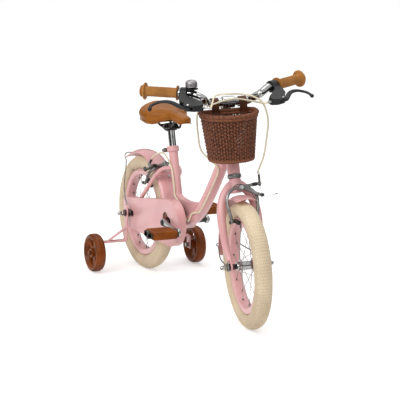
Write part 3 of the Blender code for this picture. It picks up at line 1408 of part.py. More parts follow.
def build_saddle_clamp(parent):
    centre = seat_point(post_top() - 0.008)
    barrel = rod(seat_point(post_top() - 0.020), seat_point(post_top() - GAP + 0.003), 0.031, 14)
    bolt = rod(centre - Y * 0.024, centre + Y * 0.024, 0.0090, 8)
    cheek = rod(centre - Y * 0.019, centre + Y * 0.019, 0.022, 12)
    rails = []
    tail = rail_end(0.17)
    tail_bend = rail_end(0.21)
    nose_bend = rail_end(0.72)
    nose = rail_end(0.75)
    for side in (-1, 1):
        rails.append(tube([
            Vector((tail.x, side * 0.024, tail_bend.z)),
            Vector((tail_bend.x, side * 0.022, tail_bend.z)),
            Vector((centre.x - 0.030, side * 0.0195, centre.z)),
            Vector((centre.x + 0.022, side * 0.0185, centre.z)),
            Vector((nose_bend.x, side * 0.0085, nose_bend.z)),
            Vector((nose.x, side * 0.0070, nose_bend.z)),
        ], RAIL_DIAMETER, 1))
    yoke = block(Vector((centre.x - 0.032, 0, centre.z)), (0.008, 0.038, 0.006))
    yoke_front = block(Vector((centre.x + 0.022, 0, centre.z)), (0.008, 0.036, 0.006))
    bore = rod(seat_point(post_top() - 0.03), seat_point(post_top() + GAP), POST_DIAMETER + 2 * GAP, 20)
    piece("saddle_clamp", "black", parent, [barrel, cheek, bolt] + rails + [yoke, yoke_front], [bore])


def saddle_centre():
    """The middle of the saddle's underside over the post."""
    return seat_point(post_top()) + Z * SADDLE_LIFT


def saddle_levels(share):
    """The saddle's half width, underside and crown at a share of its length."""
    base = saddle_centre()
    half = max(saddle_half_width(share), 0.004)
    breadth = half / (SADDLE_WIDTH / 2)
    depth = SADDLE_DEPTH * min(1.0, 0.30 + 0.85 * breadth)
    tail_lift = SADDLE_TAIL_RISE * max(0.0, 1 - share / 0.35) ** 2
    top = base.z + SADDLE_DEPTH + tail_lift - SADDLE_NOSE_DROP * max(0.0, (share - 0.45) / 0.55) ** 2
    return half, max(top - depth, base.z), top


def rail_end(share):
    """A rail's centre line just under the saddle, at a share of the saddle's length."""
    _, floor, _ = saddle_levels(share)
    return Vector((saddle_centre().x - SADDLE_BEHIND + SADDLE_LENGTH * share, 0, floor - RAIL_DIAMETER / 2 - GAP))


def saddle_half_width(share):
    """The saddle's half width from tail (0) to nose (1)."""
    tail = math.sqrt(max(0.0, 1 - (1 - min(share / 0.20, 1.0)) ** 2))
    blend = min(max((share - 0.26) / 0.44, 0.0), 1.0)
    blend = blend * blend * (3 - 2 * blend)
    width = SADDLE_WIDTH / 2 * (1 - blend) + SADDLE_NOSE_WIDTH / 2 * blend
    nose = math.sqrt(max(0.0, 1 - max(0.0, (share - 0.90) / 0.10) ** 2))
    return width * tail * nose


def build_saddle(parent):
    """A crowned cushion that narrows to a nose and draws in under its skirt."""
    base = saddle_centre()
    start = base.x - SADDLE_BEHIND
    section = (
        (-0.78, -1.0), (-0.93, 0.05), (-1.00, 0.40), (-0.94, 0.68), (-0.72, 0.89), (-0.36, 0.99),
        (0.00, 0.97), (0.36, 0.99), (0.72, 0.89), (0.94, 0.68), (1.00, 0.40), (0.93, 0.05), (0.78, -1.0),
        (0.50, 0.0), (-0.50, 0.0),
    )
    rings = []
    steps = 18
    for step in range(steps + 1):
        share = 0.004 + 0.992 * (0.5 - 0.5 * math.cos(math.pi * step / steps))
        half, floor, top = saddle_levels(share)
        skirt = SADDLE_SKIRT * half / (SADDLE_WIDTH / 2)
        ring = []
        for across, height in section:
            z = floor + (top - floor) * height if height >= 0 else floor - skirt
            ring.append(Vector((start + SADDLE_LENGTH * share, across * half, z)))
        rings.append(ring)
    piece("saddle", "caramel", parent, [lofted(rings)])


# Cables


def cable(name, parent, points, count):
    curve = bpy.data.curves.new(name, "CURVE")
    curve.dimensions = "3D"
    curve.bevel_depth = CABLE_DIAMETER / 2
    curve.bevel_resolution = 2
    curve.use_fill_caps = True
    spline = curve.splines.new("POLY")
    route = smooth_route(points, count)
    spline.points.add(len(route) - 1)
    for index, point in enumerate(route):
        spline.points[index].co = (*point, 1)
    item = bpy.data.objects.new(name, curve)
    bpy.context.scene.collection.objects.link(item)
    item.parent = parent
    item.data.materials.append(material_for(name, "cable"))
    length = sum((b - a).length for a, b in zip(route, route[1:]))
    print(f"{name}: {length * 1000:.0f} mm long")
    return item


def barrel_top(caliper):
    low, high = barrel_line(caliper)
    run = (high - low).normalized()
    return high + run * GAP, run


def build_front_cable(parent):
    along, _ = grip_axis(-1)
    exit_point = lever_point(-1, (-0.0970, 0.05860))
    bar = bar_centre()
    top, run = barrel_top(front_caliper())
    points = [
        exit_point,
        exit_point - along * 0.010,
        bar + Vector((0.07174, -0.056, 0.03356)),
        bar + Vector((0.07374, -0.02, 0.03656)),
        bar + Vector((0.06874, 0.015, 0.03306)),
        bar + Vector((0.07174, 0.05, 0.02456)),
        bar + Vector((0.06774, 0.08, 0.00156)),
        bar + Vector((0.05434, 0.0975, -0.04864)),
        bar + Vector((0.06574, 0.088, -0.10144)),
        bar + Vector((0.08574, 0.072, -0.14444)),
        top + run * 0.012,
        top,
    ]
    return cable("front_cable", parent, points, 30)


def to_frame(point, turn):
    """A point of the turned steering as it lies in the frame."""
    return AXIS_FOOT + turn @ (Vector(point) - AXIS_FOOT)


def round_seat_tube(t, angle):
    """A point of a cable that runs beside the seat tube, by its angle from straight ahead."""
    a = math.radians(angle)
    ahead = Vector((SEAT_UP.z, 0, -SEAT_UP.x))
    radius = SEAT_TUBE_DIAMETER / 2 + CABLE_DIAMETER / 2 + 4 * GAP
    return seat_point(t) + (ahead * math.cos(a) + Y * math.sin(a)) * radius


def build_rear_cable(parent, turn):
    along, _ = grip_axis(1)
    exit_point = lever_point(1, (-0.0970, 0.05860))
    out = exit_point - along * 0.012
    bar = bar_centre()
    head = steer_point(HEAD_TOP)
    top, run = barrel_top(rear_caliper())
    web = GUSSET_WIDTH / 2 + CABLE_DIAMETER / 2 + 3 * GAP
    tube_line = down_tube_points()
    offset = DOWN_TUBE_DIAMETER / 2 + CABLE_DIAMETER / 2 + 3 * GAP
    ahead, beside = Vector((0.78, -0.62, 0)), Vector((0.38, -0.92, 0))
    clips = []
    for index, clip_side in ((12, ahead), (10, ahead), (7, ahead), (6, beside)):
        run_here = (tube_line[index + 1] - tube_line[index - 1]).normalized()
        clips.append(tube_line[index] + (clip_side - run_here * clip_side.dot(run_here)).normalized() * offset)
    points = [
        to_frame(exit_point, turn),
        to_frame(out, turn),
        to_frame(bar + Vector((0.03774, 0.062, 0.00356)), turn),
        to_frame(bar + Vector((0.03174, 0.02, 0.01256)), turn),
        to_frame(bar + Vector((0.03474, -0.01, 0.01256)), turn),
        to_frame(bar + Vector((0.03674, -0.04, 0.00756)), turn),
        to_frame(bar + Vector((0.01574, -0.068, -0.00744)), turn),
        to_frame(bar + Vector((-0.01226, -0.08, -0.01844)), turn),
        to_frame(bar + Vector((-0.03926, -0.08, -0.04744)), turn),
        head + Vector((-0.05228, -0.07, -0.00462)),
        head + Vector((-0.06228, -0.052, -0.05532)),
        clips[0] + Vector((-0.002, -0.008, 0.020)),
    ] + clips + [
        tube_line[5] - Y * (offset + 0.0005) + Z * 0.001,
        BB + Vector((0.062, -web - 0.0075, 0.014)),
        BB + Vector((0.040, -web - 0.0075, 0.024)),
        BB + Vector((0.006, -web - 0.001, 0.044)),
        round_seat_tube(0.066, -54),
        round_seat_tube(0.088, -54),
        round_seat_tube(0.110, -54),
        round_seat_tube(0.148, -60),
        round_seat_tube(0.161, -76),
        round_seat_tube(0.172, -92),
        top + run * 0.024 + Vector((0.012, 0.024, 0.006)),
        top + run * 0.020 + Vector((0.000, 0.003, 0.000)),
        top,
    ]
    return cable("rear_cable", parent, points, 56)


# Assembly


def clear_scene():
    for item in list(bpy.data.objects):
        bpy.data.objects.remove(item)


def build_steering(root):
    """The steering pieces are written straight ahead and turned together about the steering axis."""
    turn = Quaternion(STEER_UP, math.radians(STEER_TURN))
    pivot = empty("steering_axis", root, AXIS_FOOT)
    pivot.rotation_mode = "QUATERNION"
    pivot.rotation_quaternion = turn
    home = empty("steering", pivot, -AXIS_FOOT)
    build_fork(home)
    build_stem(home)
    build_bar(home)
    both_sides(lambda side, label: grip(home, side, label))
    both_sides(lambda side, label: lever_bracket(home, side, label))
    both_sides(lambda side, label: brake_lever(home, side, label))
    build_bell(home)
    build_basket(home)
    both_sides(lambda side, label: strap(home, side, label))
    build_front_fender(home)
    build_front_axle(home)
    wheel("front", FRONT, home, False)
    caliper = front_caliper()
    brake_arms(home, "front", caliper)
    brake_bolt(home, "front_brake_bolt", caliper, BRAKE_FORWARD + CROWN_DIAMETER / 2 + 0.008)
    build_front_cable(home)
    return turn


def build_rear(root):
    build_main_frame(root)
    both_sides(lambda side, label: rear_triangle(root, side, label))
    build_bridge(root)
    build_headset(root)
    build_seat_clamp(root)
    build_bottom_bracket(root)
    build_guard(root)
    build_chain(root)
    build_rear_fender(root)
    build_rear_axle(root)
    both_sides(lambda side, label: trainer_bracket(root, side, label))
    both_sides(lambda side, label: trainer_wheel(root, side, label))
    wheel("rear", REAR, root, True)
    build_freewheel(root)
    caliper = rear_caliper()
    brake_arms(root, "rear", caliper)
    brake_bolt(root, "rear_brake_bolt", caliper, REAR_BRAKE_OFFSET + BRIDGE_DIAMETER / 2 + 0.008)


def build_cranks_and_pedals(root):
    build_cranks(root)
    centres = {}
    both_sides(lambda side, label: centres.update({label: (side, crank(root, side, label))}))
    for label, (side, centre) in centres.items():
        pedal(root, side, label, centre)


def build_seat(root):
    build_post(root)
    build_saddle_clamp(root)
    build_saddle(root)


def stand_on_origin(root):
    """Moves the bike so that the middle of its box stands over the origin, on the ground."""
    bpy.context.view_layer.update()
    graph = bpy.context.evaluated_depsgraph_get()
    corners = []
    for item in bpy.data.objects:
        if item.hide_render or item.type not in ("MESH", "CURVE"):
            continue
        ready = item.evaluated_get(graph)
        mesh = ready.to_mesh()
        corners += [ready.matrix_world @ vert.co for vert in mesh.vertices]
        ready.to_mesh_clear()
    low = Vector([min(point[axis] for point in corners) for axis in range(3)])
    high = Vector([max(point[axis] for point in corners) for axis in range(3)])
    middle = (low + high) / 2
    root.location = (-middle.x, -middle.y, -low.z)
    bpy.context.view_layer.update()


def main():
    clear_scene()
    root = empty("bike", None)
    build_rear(root)
    build_cranks_and_pedals(root)
    build_seat(root)
    turn = build_steering(root)
    build_rear_cable(root, turn)
    stand_on_origin(root)


main()
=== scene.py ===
# %% [markdown]
# A child's bicycle with balloon tyres, training wheels and a woven basket on its bar.
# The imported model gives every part's place and motion, and this script dresses it: each plain solid gets a
# finer piece in its own place, and every surface gets a finish made from nodes.
# The cells go from the camera and the light to the finishes, and then from the wheels up to the cables.

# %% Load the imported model
import json
import math

import bmesh
import bpy
from mathutils import Matrix, Quaternion, Vector


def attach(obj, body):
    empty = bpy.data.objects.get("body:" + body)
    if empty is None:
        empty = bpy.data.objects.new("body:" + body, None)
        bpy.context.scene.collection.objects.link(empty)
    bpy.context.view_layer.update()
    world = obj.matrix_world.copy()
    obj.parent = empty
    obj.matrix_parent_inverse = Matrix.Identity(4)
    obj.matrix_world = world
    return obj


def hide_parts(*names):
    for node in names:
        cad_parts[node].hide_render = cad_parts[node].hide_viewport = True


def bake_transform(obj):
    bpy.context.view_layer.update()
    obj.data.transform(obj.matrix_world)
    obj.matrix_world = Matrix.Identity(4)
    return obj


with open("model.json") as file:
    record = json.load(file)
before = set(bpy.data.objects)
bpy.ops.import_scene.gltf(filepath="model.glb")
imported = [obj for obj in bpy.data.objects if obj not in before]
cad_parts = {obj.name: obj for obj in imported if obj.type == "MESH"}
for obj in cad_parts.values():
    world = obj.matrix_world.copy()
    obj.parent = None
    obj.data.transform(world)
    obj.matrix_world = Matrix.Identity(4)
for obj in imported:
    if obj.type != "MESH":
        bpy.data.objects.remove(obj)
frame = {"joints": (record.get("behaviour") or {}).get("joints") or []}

for spare in ("Cube", "Light", "Camera"):
    if spare in bpy.data.objects:
        bpy.data.objects.remove(bpy.data.objects[spare])
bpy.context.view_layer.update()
joints = {joint["name"]: joint for joint in frame["joints"]}

# %% [markdown]
# A bicycle is laid out from its two wheel centres, its bottom bracket and its steering axis.
# All pieces below are written in those bike coordinates, with the rear tyre standing on the ground at x = 0.
# Pieces of the steering are written straight ahead and turned with the bar, as a mechanic would set them up.
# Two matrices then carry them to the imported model's own places, and the body that a piece rides on picks one.

# %% Lay out the bike
X, Y, Z = Vector((1, 0, 0)), Vector((0, 1, 0)), Vector((0, 0, 1))
IDENTITY = Matrix.Identity(4)
SIDES = ((-1, "right"), (1, "left"))
BEAD, TYRE_HEIGHT, TYRE_WIDTH = 0.127, 0.050, 0.050
WHEEL_RADIUS = BEAD + TYRE_HEIGHT
REAR = Vector((0, 0, WHEEL_RADIUS))
FRONT = REAR + X * 0.675
BB = REAR + X * 0.275 + Z * 0.033


def heading(degrees):
    """The direction in the bike's own plane at an angle above straight ahead."""
    return Vector((math.cos(math.radians(degrees)), 0, math.sin(math.radians(degrees))))


STEER_UP, SEAT_UP = heading(180 - 69), heading(180 - 71.5)
STEER_AHEAD = Vector((STEER_UP.z, 0, -STEER_UP.x))
AXIS_FOOT = FRONT - STEER_AHEAD * 0.012
SEAT_FOOT = BB - X * 0.033
FORK_LENGTH = WHEEL_RADIUS + 0.066
HEAD_BASE = FORK_LENGTH + 0.012
HEAD_TOP = HEAD_BASE + 0.112
STEM_TOP = HEAD_TOP + 0.020
SEAT_TUBE = 0.213
POST_TOP = SEAT_TUBE + 0.070
BAR_TURN = math.radians(-11.65)
ON_THE_BAR = ("steering", "front_wheel", "brake_lever_right", "brake_lever_left", "bell_striker",
              "front_arm_pinch", "front_arm_barrel")

stand = Vector(joints["rear_wheel_spin"]["pos_m"]) - REAR
REST = Matrix.Translation(stand)
turned_bar = Quaternion(STEER_UP, BAR_TURN).to_matrix().to_4x4()
turn_bar = Matrix.Translation(AXIS_FOOT) @ turned_bar @ Matrix.Translation(-AXIS_FOOT)
STEERED = REST @ turn_bar


def steer_point(up, ahead=0.0, y=0.0):
    """A point on or beside the steering axis, up from its foot."""
    return AXIS_FOOT + STEER_UP * up + STEER_AHEAD * ahead + Y * y


def seat_point(up, y=0.0):
    """A point on or beside the seat tube's axis."""
    return SEAT_FOOT + SEAT_UP * up + Y * y


print("The bike stands", [round(value * 1000, 1) for value in stand], "mm from its own coordinates")

# %% [markdown]
# The picture is taken from the front right of the bike, a little above the saddle, with a long lens.
# A camera for a 400 by 400 picture needs its place, its turn and its lens, and all three are set here.

# %% Set the camera
CAMERA_PLACE = Vector((4.5493, -2.0901, 1.3529))
YAW, PITCH, ROLL = 2.6781, 0.2229, 0.0366
camera_data = bpy.data.cameras.new("camera")
camera = bpy.data.objects.new("camera", camera_data)
bpy.context.scene.collection.objects.link(camera)
bpy.context.scene.camera = camera
camera_data.sensor_fit = "HORIZONTAL"
camera_data.sensor_width = 36.0
camera_data.lens = 149.38
camera_data.clip_end = 60.0
look = Vector((math.cos(PITCH) * math.cos(YAW), math.cos(PITCH) * math.sin(YAW), -math.sin(PITCH)))
right = look.cross(Z).normalized()
over = right.cross(look)
tilt = Matrix.Rotation(-ROLL, 3, look)
camera.matrix_world = Matrix((tilt @ right, tilt @ over, -look)).transposed().to_4x4()
camera.location = CAMERA_PLACE + stand
print("Camera at", [round(value, 2) for value in camera.location])

# %% [markdown]
# A catalogue picture is lit from all round, with a little more light from one side so that tubes look round.
# The world and the floor are seen as plain white, also in metal, but they light the bike only at a normal level.
# That split is made with Light Path, so no colour has to be washed out to get a white background.
# A photographer stands black cards round shiny metal, because a tube between white walls has no edges.
# Here a low ring of card and three sectors on the floor do that: only reflections see them.

# %% Make the floor and the light
def node(tree, kind, inputs=None, **settings):
    """A node of a tree with its settings, and its inputs set to values or linked from other sockets."""
    made = tree.nodes.new(kind)
    for name, value in settings.items():
        setattr(made, name, value)
    for name, value in (inputs or {}).items():
        if isinstance(value, bpy.types.NodeSocket):
            tree.links.new(value, made.inputs[name])
        else:
            made.inputs[name].default_value = value
    return made


def maths(tree, operation, *values):
    """The result of one Math node."""
    return node(tree, "ShaderNodeMath", dict(enumerate(values)), operation=operation).outputs[0]


def seen_rays(tree):
    """1 for the rays that show a surface to the camera, straight, by reflection or through glass."""
    rays = node(tree, "ShaderNodeLightPath").outputs
    straight = maths(tree, "MAXIMUM", rays["Is Camera Ray"], rays["Is Glossy Ray"])
    return maths(tree, "MAXIMUM", straight, rays["Is Transmission Ray"])


def set_inputs(shader, **values):
    """Sets a shader's inputs by their names, with _ for a space."""
    for socket, value in values.items():
        shader.inputs[socket.replace("_", " ")].default_value = value


WORLD_LIGHT = 0.62
FLOOR_GLOW = 0.42
WHITE = (1, 1, 1, 1)
world = bpy.data.worlds.new("studio")
bpy.context.scene.world = world
world.use_nodes = True
tree = world.node_tree
strength = node(tree, "ShaderNodeMapRange", {"Value": seen_rays(tree), "To Min": WORLD_LIGHT, "To Max": 1.0})
background = tree.nodes["Background"]
set_inputs(background, Color=WHITE)
tree.links.new(strength.outputs["Result"], background.inputs["Strength"])


def placed(name, data):
    """The data as an object in the scene."""
    item = bpy.data.objects.new(name, data)
    bpy.context.scene.collection.objects.link(item)
    return item


def staged(name, points, faces, grey):
    """A matt grey surface that belongs to the studio."""
    mesh = bpy.data.meshes.new(name)
    mesh.from_pydata(points, [], faces)
    paper = bpy.data.materials.new(f"{name}_paper")
    paper.use_nodes = True
    set_inputs(paper.node_tree.nodes["Principled BSDF"], Base_Color=(grey, grey, grey, 1), Roughness=0.9)
    mesh.materials.append(paper)
    item = placed(name, mesh)
    return item


FLOOR_REACH = 9.0
corners = [(x * FLOOR_REACH, y * FLOOR_REACH, 0) for x, y in ((-1, -1), (1, -1), (1, 1), (-1, 1))]
floor = staged("floor", corners, [(0, 1, 2, 3)], 0.86)
tree = floor.active_material.node_tree
glow = maths(tree, "MULTIPLY", seen_rays(tree), FLOOR_GLOW)
shader = tree.nodes["Principled BSDF"]
set_inputs(shader, Emission_Color=WHITE)
tree.links.new(glow, shader.inputs["Emission Strength"])


def card_strip(first, last, steps, low, high):
    """Two points, (radius, height) each, for every direction from the first to the last, in degrees."""
    turns = [math.radians(first + (last - first) * k / steps) for k in range(steps + 1)]
    return [(r * math.cos(a), r * math.sin(a), z) for a in turns for r, z in (low, high)]


cards = [card_strip(0, 360, 48, (5.0, 0.20), (5.0, 1.90))]
cards += [card_strip(*ends, 4, (0.3, 0.001), (6.0, 0.001)) for ends in ((-130, -112), (-32, -16), (43, 59))]
for index, points in enumerate(cards):
    strips = [(k, k + 2, k + 3, k + 1) for k in range(0, len(points) - 2, 2)]
    card = staged(f"black_card_{index}", points, strips, 0.03)
    card.visible_camera = card.visible_diffuse = card.visible_shadow = card.visible_transmission = False

LAMPS = (("key_light", (1.4, -3.5, 3.1), (0, 0, 0.3), 2.6, 90),
         ("top_light", (-0.6, 0.6, 4.2), (0, 0, 0.3), 2.8, 38),
         ("front_light", (3.4, -1.6, 2.1), (0.2, 0, 0.4), 1.8, 16))
for name, place, target, size, power in LAMPS:
    data = bpy.data.lights.new(name, "AREA")
    data.shape, data.size, data.energy = "DISK", size, power
    lamp = placed(name, data)
    lamp.location = place
    lamp.rotation_euler = (Vector(target) - Vector(place)).to_track_quat("-Z", "Y").to_euler()
bpy.context.scene.view_settings.view_transform = "Standard"
print("World light", WORLD_LIGHT, "and", len(cards), "cards")

# %% [markdown]
# Every finish below starts from one recipe: a base colour that drifts a little, a roughness that drifts too,
# and a fine bump. Real paint, rubber and leather are never one flat colour, and small changes keep them alive.
# The patterns read Object coordinates, so they stay on the piece when it moves.
# The colours are written as a colour picker gives them, and turned to the linear values that a shader reads.

# %% Write the recipe for a finish
def picked(colour):
    """A colour picker's 0 to 255 values as a linear colour."""
    return (*[((v / 255 + 0.055) / 1.055) ** 2.4 if v > 10 else v / 255 / 12.92 for v in colour], 1.0)


def noise(tree, scale, detail=2.0):
    """Noise on Object coordinates."""
    place = node(tree, "ShaderNodeTexCoord").outputs["Object"]
    return node(tree, "ShaderNodeTexNoise", {"Vector": place, "Scale": scale, "Detail": detail}).outputs["Fac"]


def ramp(tree, value, dark, light, start=0.35, end=0.65):
    """The value turned to a colour between dark and light."""
    made = node(tree, "ShaderNodeValToRGB", {"Fac": value})
    for element, position, colour in zip(made.color_ramp.elements, (start, end), (dark, light)):
        element.position, element.color = position, picked(colour)
    return made.outputs["Color"]


def between(tree, value, low, high):
    """The middle part of a noise's range spread from low to high."""
    inputs = {"Value": value, "From Min": 0.3, "From Max": 0.7, "To Min": low, "To Max": high}
    return node(tree, "ShaderNodeMapRange", inputs).outputs["Result"]


def bumped(tree, height, strength, distance):
    made = node(tree, "ShaderNodeBump", {"Height": height, "Strength": strength, "Distance": distance})
    tree.links.new(made.outputs["Normal"], tree.nodes["Principled BSDF"].inputs["Normal"])


def finish_of(name, dark, light, rough, spread=14, grain=900, strength=0.15, depth=0.0002, **fixed):
    """A material whose colour drifts from dark to light and whose roughness drifts between two values."""
    made = bpy.data.materials.new(name)
    made.use_nodes = True
    tree = made.node_tree
    shader = tree.nodes["Principled BSDF"]
    tree.links.new(ramp(tree, noise(tree, spread), dark, light), shader.inputs["Base Color"])
    tree.links.new(between(tree, noise(tree, spread * 3, 4), *rough), shader.inputs["Roughness"])
    bumped(tree, noise(tree, grain, 3), strength, depth)
    set_inputs(shader, **fixed)
    return made


# %% [markdown]
# The frame, fork, rims, fenders, guard and brackets share one pastel enamel: a glossy coat over colour, with the
# faint orange peel of sprayed paint. The coat is the shader's own clear layer.
# Chrome and steel are metals, so their colour is their reflection, and in a white studio they need a darker tone
# to look like metal. Black plastic, rubber and cream tyres are matt and grainy. The tyre's carcass is a darker
# copy of the tread's cream, as painted shade on its sidewalls and between the ribs.

# %% Mix the paints and metals
enamel = finish_of("pink_enamel", (213, 157, 157), (223, 169, 168), (0.30, 0.38), 9, 420, 0.05,
                   Coat_Weight=0.25, Coat_Roughness=0.08)
chrome = finish_of("chrome", (148, 148, 148), (172, 172, 170), (0.05, 0.10), 26, 60, 0.02, 0.0003, Metallic=1.0)
steel = finish_of("zinc_steel", (112, 111, 110), (150, 149, 147), (0.26, 0.38), 60, 700, 0.10, 0.0001,
                  Metallic=1.0)
bright_steel = finish_of("bright_steel", (168, 168, 168), (206, 206, 204), (0.16, 0.28), 80, 700, 0.08, 0.0001,
                         Metallic=1.0)
spoke_steel = finish_of("spoke_steel", (150, 148, 144), (172, 170, 166), (0.40, 0.50), 80, 700, 0.05, 0.0001,
                        Metallic=0.3)
# Painted shade: the chainring seen through the guard's window is steel given the dark red of the guard's shaded
# pink inside.
chainring_painted_shade = finish_of("steel_painted_guard_shade", (84, 34, 38), (112, 50, 52), (0.40, 0.50), 60, 700, 0.05, 0.0001,
                       Metallic=0.5)
dark_steel = finish_of("oiled_steel", (52, 50, 50), (92, 90, 88), (0.30, 0.45), 90, 700, 0.15, 0.0001,
                       Metallic=1.0)
bell_metal = finish_of("bell_metal", (138, 135, 136), (160, 157, 158), (0.36, 0.44), 40, 700, 0.03, 0.0001,
                       Metallic=1.0)
black_plastic = finish_of("black_plastic", (9, 10, 11), (19, 19, 19), (0.36, 0.48), 30, 2400, 0.20,
                          Specular_IOR_Level=0.35)
cap_plastic = finish_of("dark_brown_plastic", (38, 24, 14), (56, 36, 22), (0.42, 0.55), 30, 1800, 0.2)
black_rubber = finish_of("black_rubber", (26, 25, 25), (40, 38, 37), (0.62, 0.75), 30, 1600, 0.30)
tyre_cream = finish_of("cream_rubber", (216, 198, 170), (229, 212, 184), (0.70, 0.82), 11, 1300, 0.25,
                       Specular_IOR_Level=0.3)
# Painted shade: the same cream rubber as the tread, darker, for the shaded sidewalls and the grooves between ribs.
carcass_painted_shade = finish_of("cream_carcass_painted_shade", (200, 180, 152), (215, 196, 167), (0.60, 0.72), 11, 1300, 0.15,
                      Specular_IOR_Level=0.3)
grip_rubber = finish_of("caramel_rubber", (150, 98, 42), (170, 115, 54), (0.50, 0.62), 24, 1500, 0.25,
                        Specular_IOR_Level=0.25)
pedal_plastic = finish_of("caramel_plastic", (118, 56, 0), (140, 72, 2), (0.42, 0.55), 30, 1800, 0.2,
                          Specular_IOR_Level=0.25)
trainer_plastic = finish_of("brown_plastic", (99, 44, 0), (132, 63, 3), (0.34, 0.46), 30, 1500, 0.2,
                            Specular_IOR_Level=0.25)
cable_cover = finish_of("cream_cable", (214, 202, 172), (228, 217, 190), (0.34, 0.45), 40, 1200, 0.1)
print(len(bpy.data.materials), "finishes so far")

# %% [markdown]
# Leather and coated cloth have a grain of small cells, which come from a Voronoi texture, and the recipe's own
# noise gives the wider patches where hands and use have darkened them. The saddle cover and the leather share it.
# Cane is a plant fibre with many tones from piece to piece and along each piece. On top of that, each weaver is
# painted lighter where it bows out and darker where it dives behind a stake, as painted highlight and shade.

# %% Mix the leather, the saddle cover and the cane
CREASE = 0.22


def grained(name, dark, light, rough, cells, strength):
    """A finish with a grain of cells, whose creases lie a little deeper."""
    made = finish_of(name, dark, light, rough, 22, Specular_IOR_Level=0.3)
    tree = made.node_tree
    place = node(tree, "ShaderNodeTexCoord").outputs["Object"]
    cell = node(tree, "ShaderNodeTexVoronoi", {"Vector": place, "Scale": cells}, feature="DISTANCE_TO_EDGE")
    bumped(tree, maths(tree, "MINIMUM", cell.outputs["Distance"], CREASE), strength, 0.0003)
    return made


def cane_finish(name, dark, light):
    """Cane with a tone of its own for each strand, read from the strand's attribute, which also carries painted
    shade where a weaver dives behind a stake and a painted highlight where it bows out.
    """
    made = finish_of(name, dark, light, (0.45, 0.62), 60, 500, 0.3, 0.0004, Specular_IOR_Level=0.25)
    tree = made.node_tree
    tone = node(tree, "ShaderNodeAttribute", attribute_name="tone").outputs["Fac"]
    # Besides each strand's own tone, the tone carries painted highlight and shade from the weave's wave.
    mottle_and_painted_shade = maths(tree, "ADD", noise(tree, 160, 5), tone)
    colour = ramp(tree, mottle_and_painted_shade, dark, light, 0.45, 1.25)
    tree.links.new(colour, tree.nodes["Principled BSDF"].inputs["Base Color"])
    return made


saddle_cover = grained("saddle_cover", (136, 76, 0), (162, 95, 4), (0.36, 0.46), 900, 0.25)
strap_leather = grained("strap_leather", (70, 34, 8), (98, 53, 18), (0.45, 0.60), 700, 0.4)
thread = finish_of("waxed_thread", (196, 160, 110), (214, 180, 130), (0.6, 0.7), 200, 3000, 0.3)
cane = cane_finish("brown_cane", (16, 6, 3), (124, 74, 51))
print(len(bpy.data.materials), "finishes")

# %% [markdown]
# Most of a bicycle is tubes, turned parts and pressed plates. A few helpers make them in a bmesh: a tube along a
# route, a profile turned about an axis, an outline with depth, a block with soft edges and a round bar.
# Each adds closed shells, so that one recalculation turns every face outwards at the end.

# %% Write the shaping helpers
def matrix_for(origin, axis, side=None):
    """A matrix whose Z runs along the axis and whose X lies nearest to side."""
    z = axis.normalized()
    x = side if side is not None else (X if abs(z.x) < 0.9 else Z)
    x = (x - z * x.dot(z)).normalized()
    made = Matrix((x, z.cross(x), z)).transposed().to_4x4()
    made.translation = origin
    return made


def skin(shape, rings, loop=False, finish=0):
    """A closed skin over rings of points. A ring of one point closes the skin there."""
    rows = [[shape.verts.new(point) for point in ring] for ring in rings]
    pairs = list(zip(rows, rows[1:])) + ([(rows[-1], rows[0])] if loop else [])
    faces = []
    for first, second in pairs:
        count = max(len(first), len(second))
        for index in range(count):
            after = (index + 1) % count
            corners = [first[index % len(first)], first[after % len(first)],
                       second[after % len(second)], second[index % len(second)]]
            faces.append(shape.faces.new(list(dict.fromkeys(corners))))
    if not loop:
        faces += [shape.faces.new(row) for row in (rows[0], rows[-1]) if len(row) > 2]
    for face in faces:
        face.material_index = finish


def tube(shape, points, radii, sides=24, flat=1.0, side=None, finish=0):
    """A tube along the points. flat narrows it across the side direction."""
    points = [Vector(point) for point in points]
    if not hasattr(radii, "__len__"):
        radii = [radii] * len(points)
    last = len(points) - 1
    runs = [(points[min(i + 1, last)] - points[max(i - 1, 0)]).normalized() for i in range(last + 1)]
    across = side if side is not None else (Z if abs(runs[0].z) < 0.8 else X)
    angles = [math.tau * k / sides for k in range(sides)]
    rings = []
    for point, run, radius in zip(points, runs, radii):
        across = (across - run * across.dot(run)).normalized()
        other = run.cross(across)
        rings.append([point + (across * math.cos(a) + other * math.sin(a) * flat) * radius for a in angles])
    skin(shape, rings, finish=finish)


def turned(shape, profile, origin, axis, steps=48, finish=0):
    """A profile of (radius, height) turned about the axis. One that doesn't start on it is a closed outline."""
    place = matrix_for(origin, axis)
    angles = [math.tau * k / steps for k in range(steps)]
    rings = []
    for radius, height in profile:
        if radius == 0:
            rings.append([place @ Vector((0, 0, height))])
        else:
            rings.append([place @ Vector((radius * math.cos(a), radius * math.sin(a), height)) for a in angles])
    skin(shape, rings, loop=profile[0][0] > 0, finish=finish)


def added(shape, other, matrix=IDENTITY, finish=0):
    """Copies another bmesh into the shape and frees it."""
    bmesh.ops.transform(other, matrix=matrix, verts=other.verts)
    mesh = bpy.data.meshes.new("part")
    other.to_mesh(mesh)
    other.free()
    before = len(shape.faces)
    shape.from_mesh(mesh)
    shape.faces.ensure_lookup_table()
    for face in shape.faces[before:]:
        face.material_index = finish
    bpy.data.meshes.remove(mesh)


def round_edges(shape, edges, width):
    bmesh.ops.bevel(shape, geom=edges, offset=width, segments=3, profile=0.5, affect="EDGES", clamp_overlap=True)


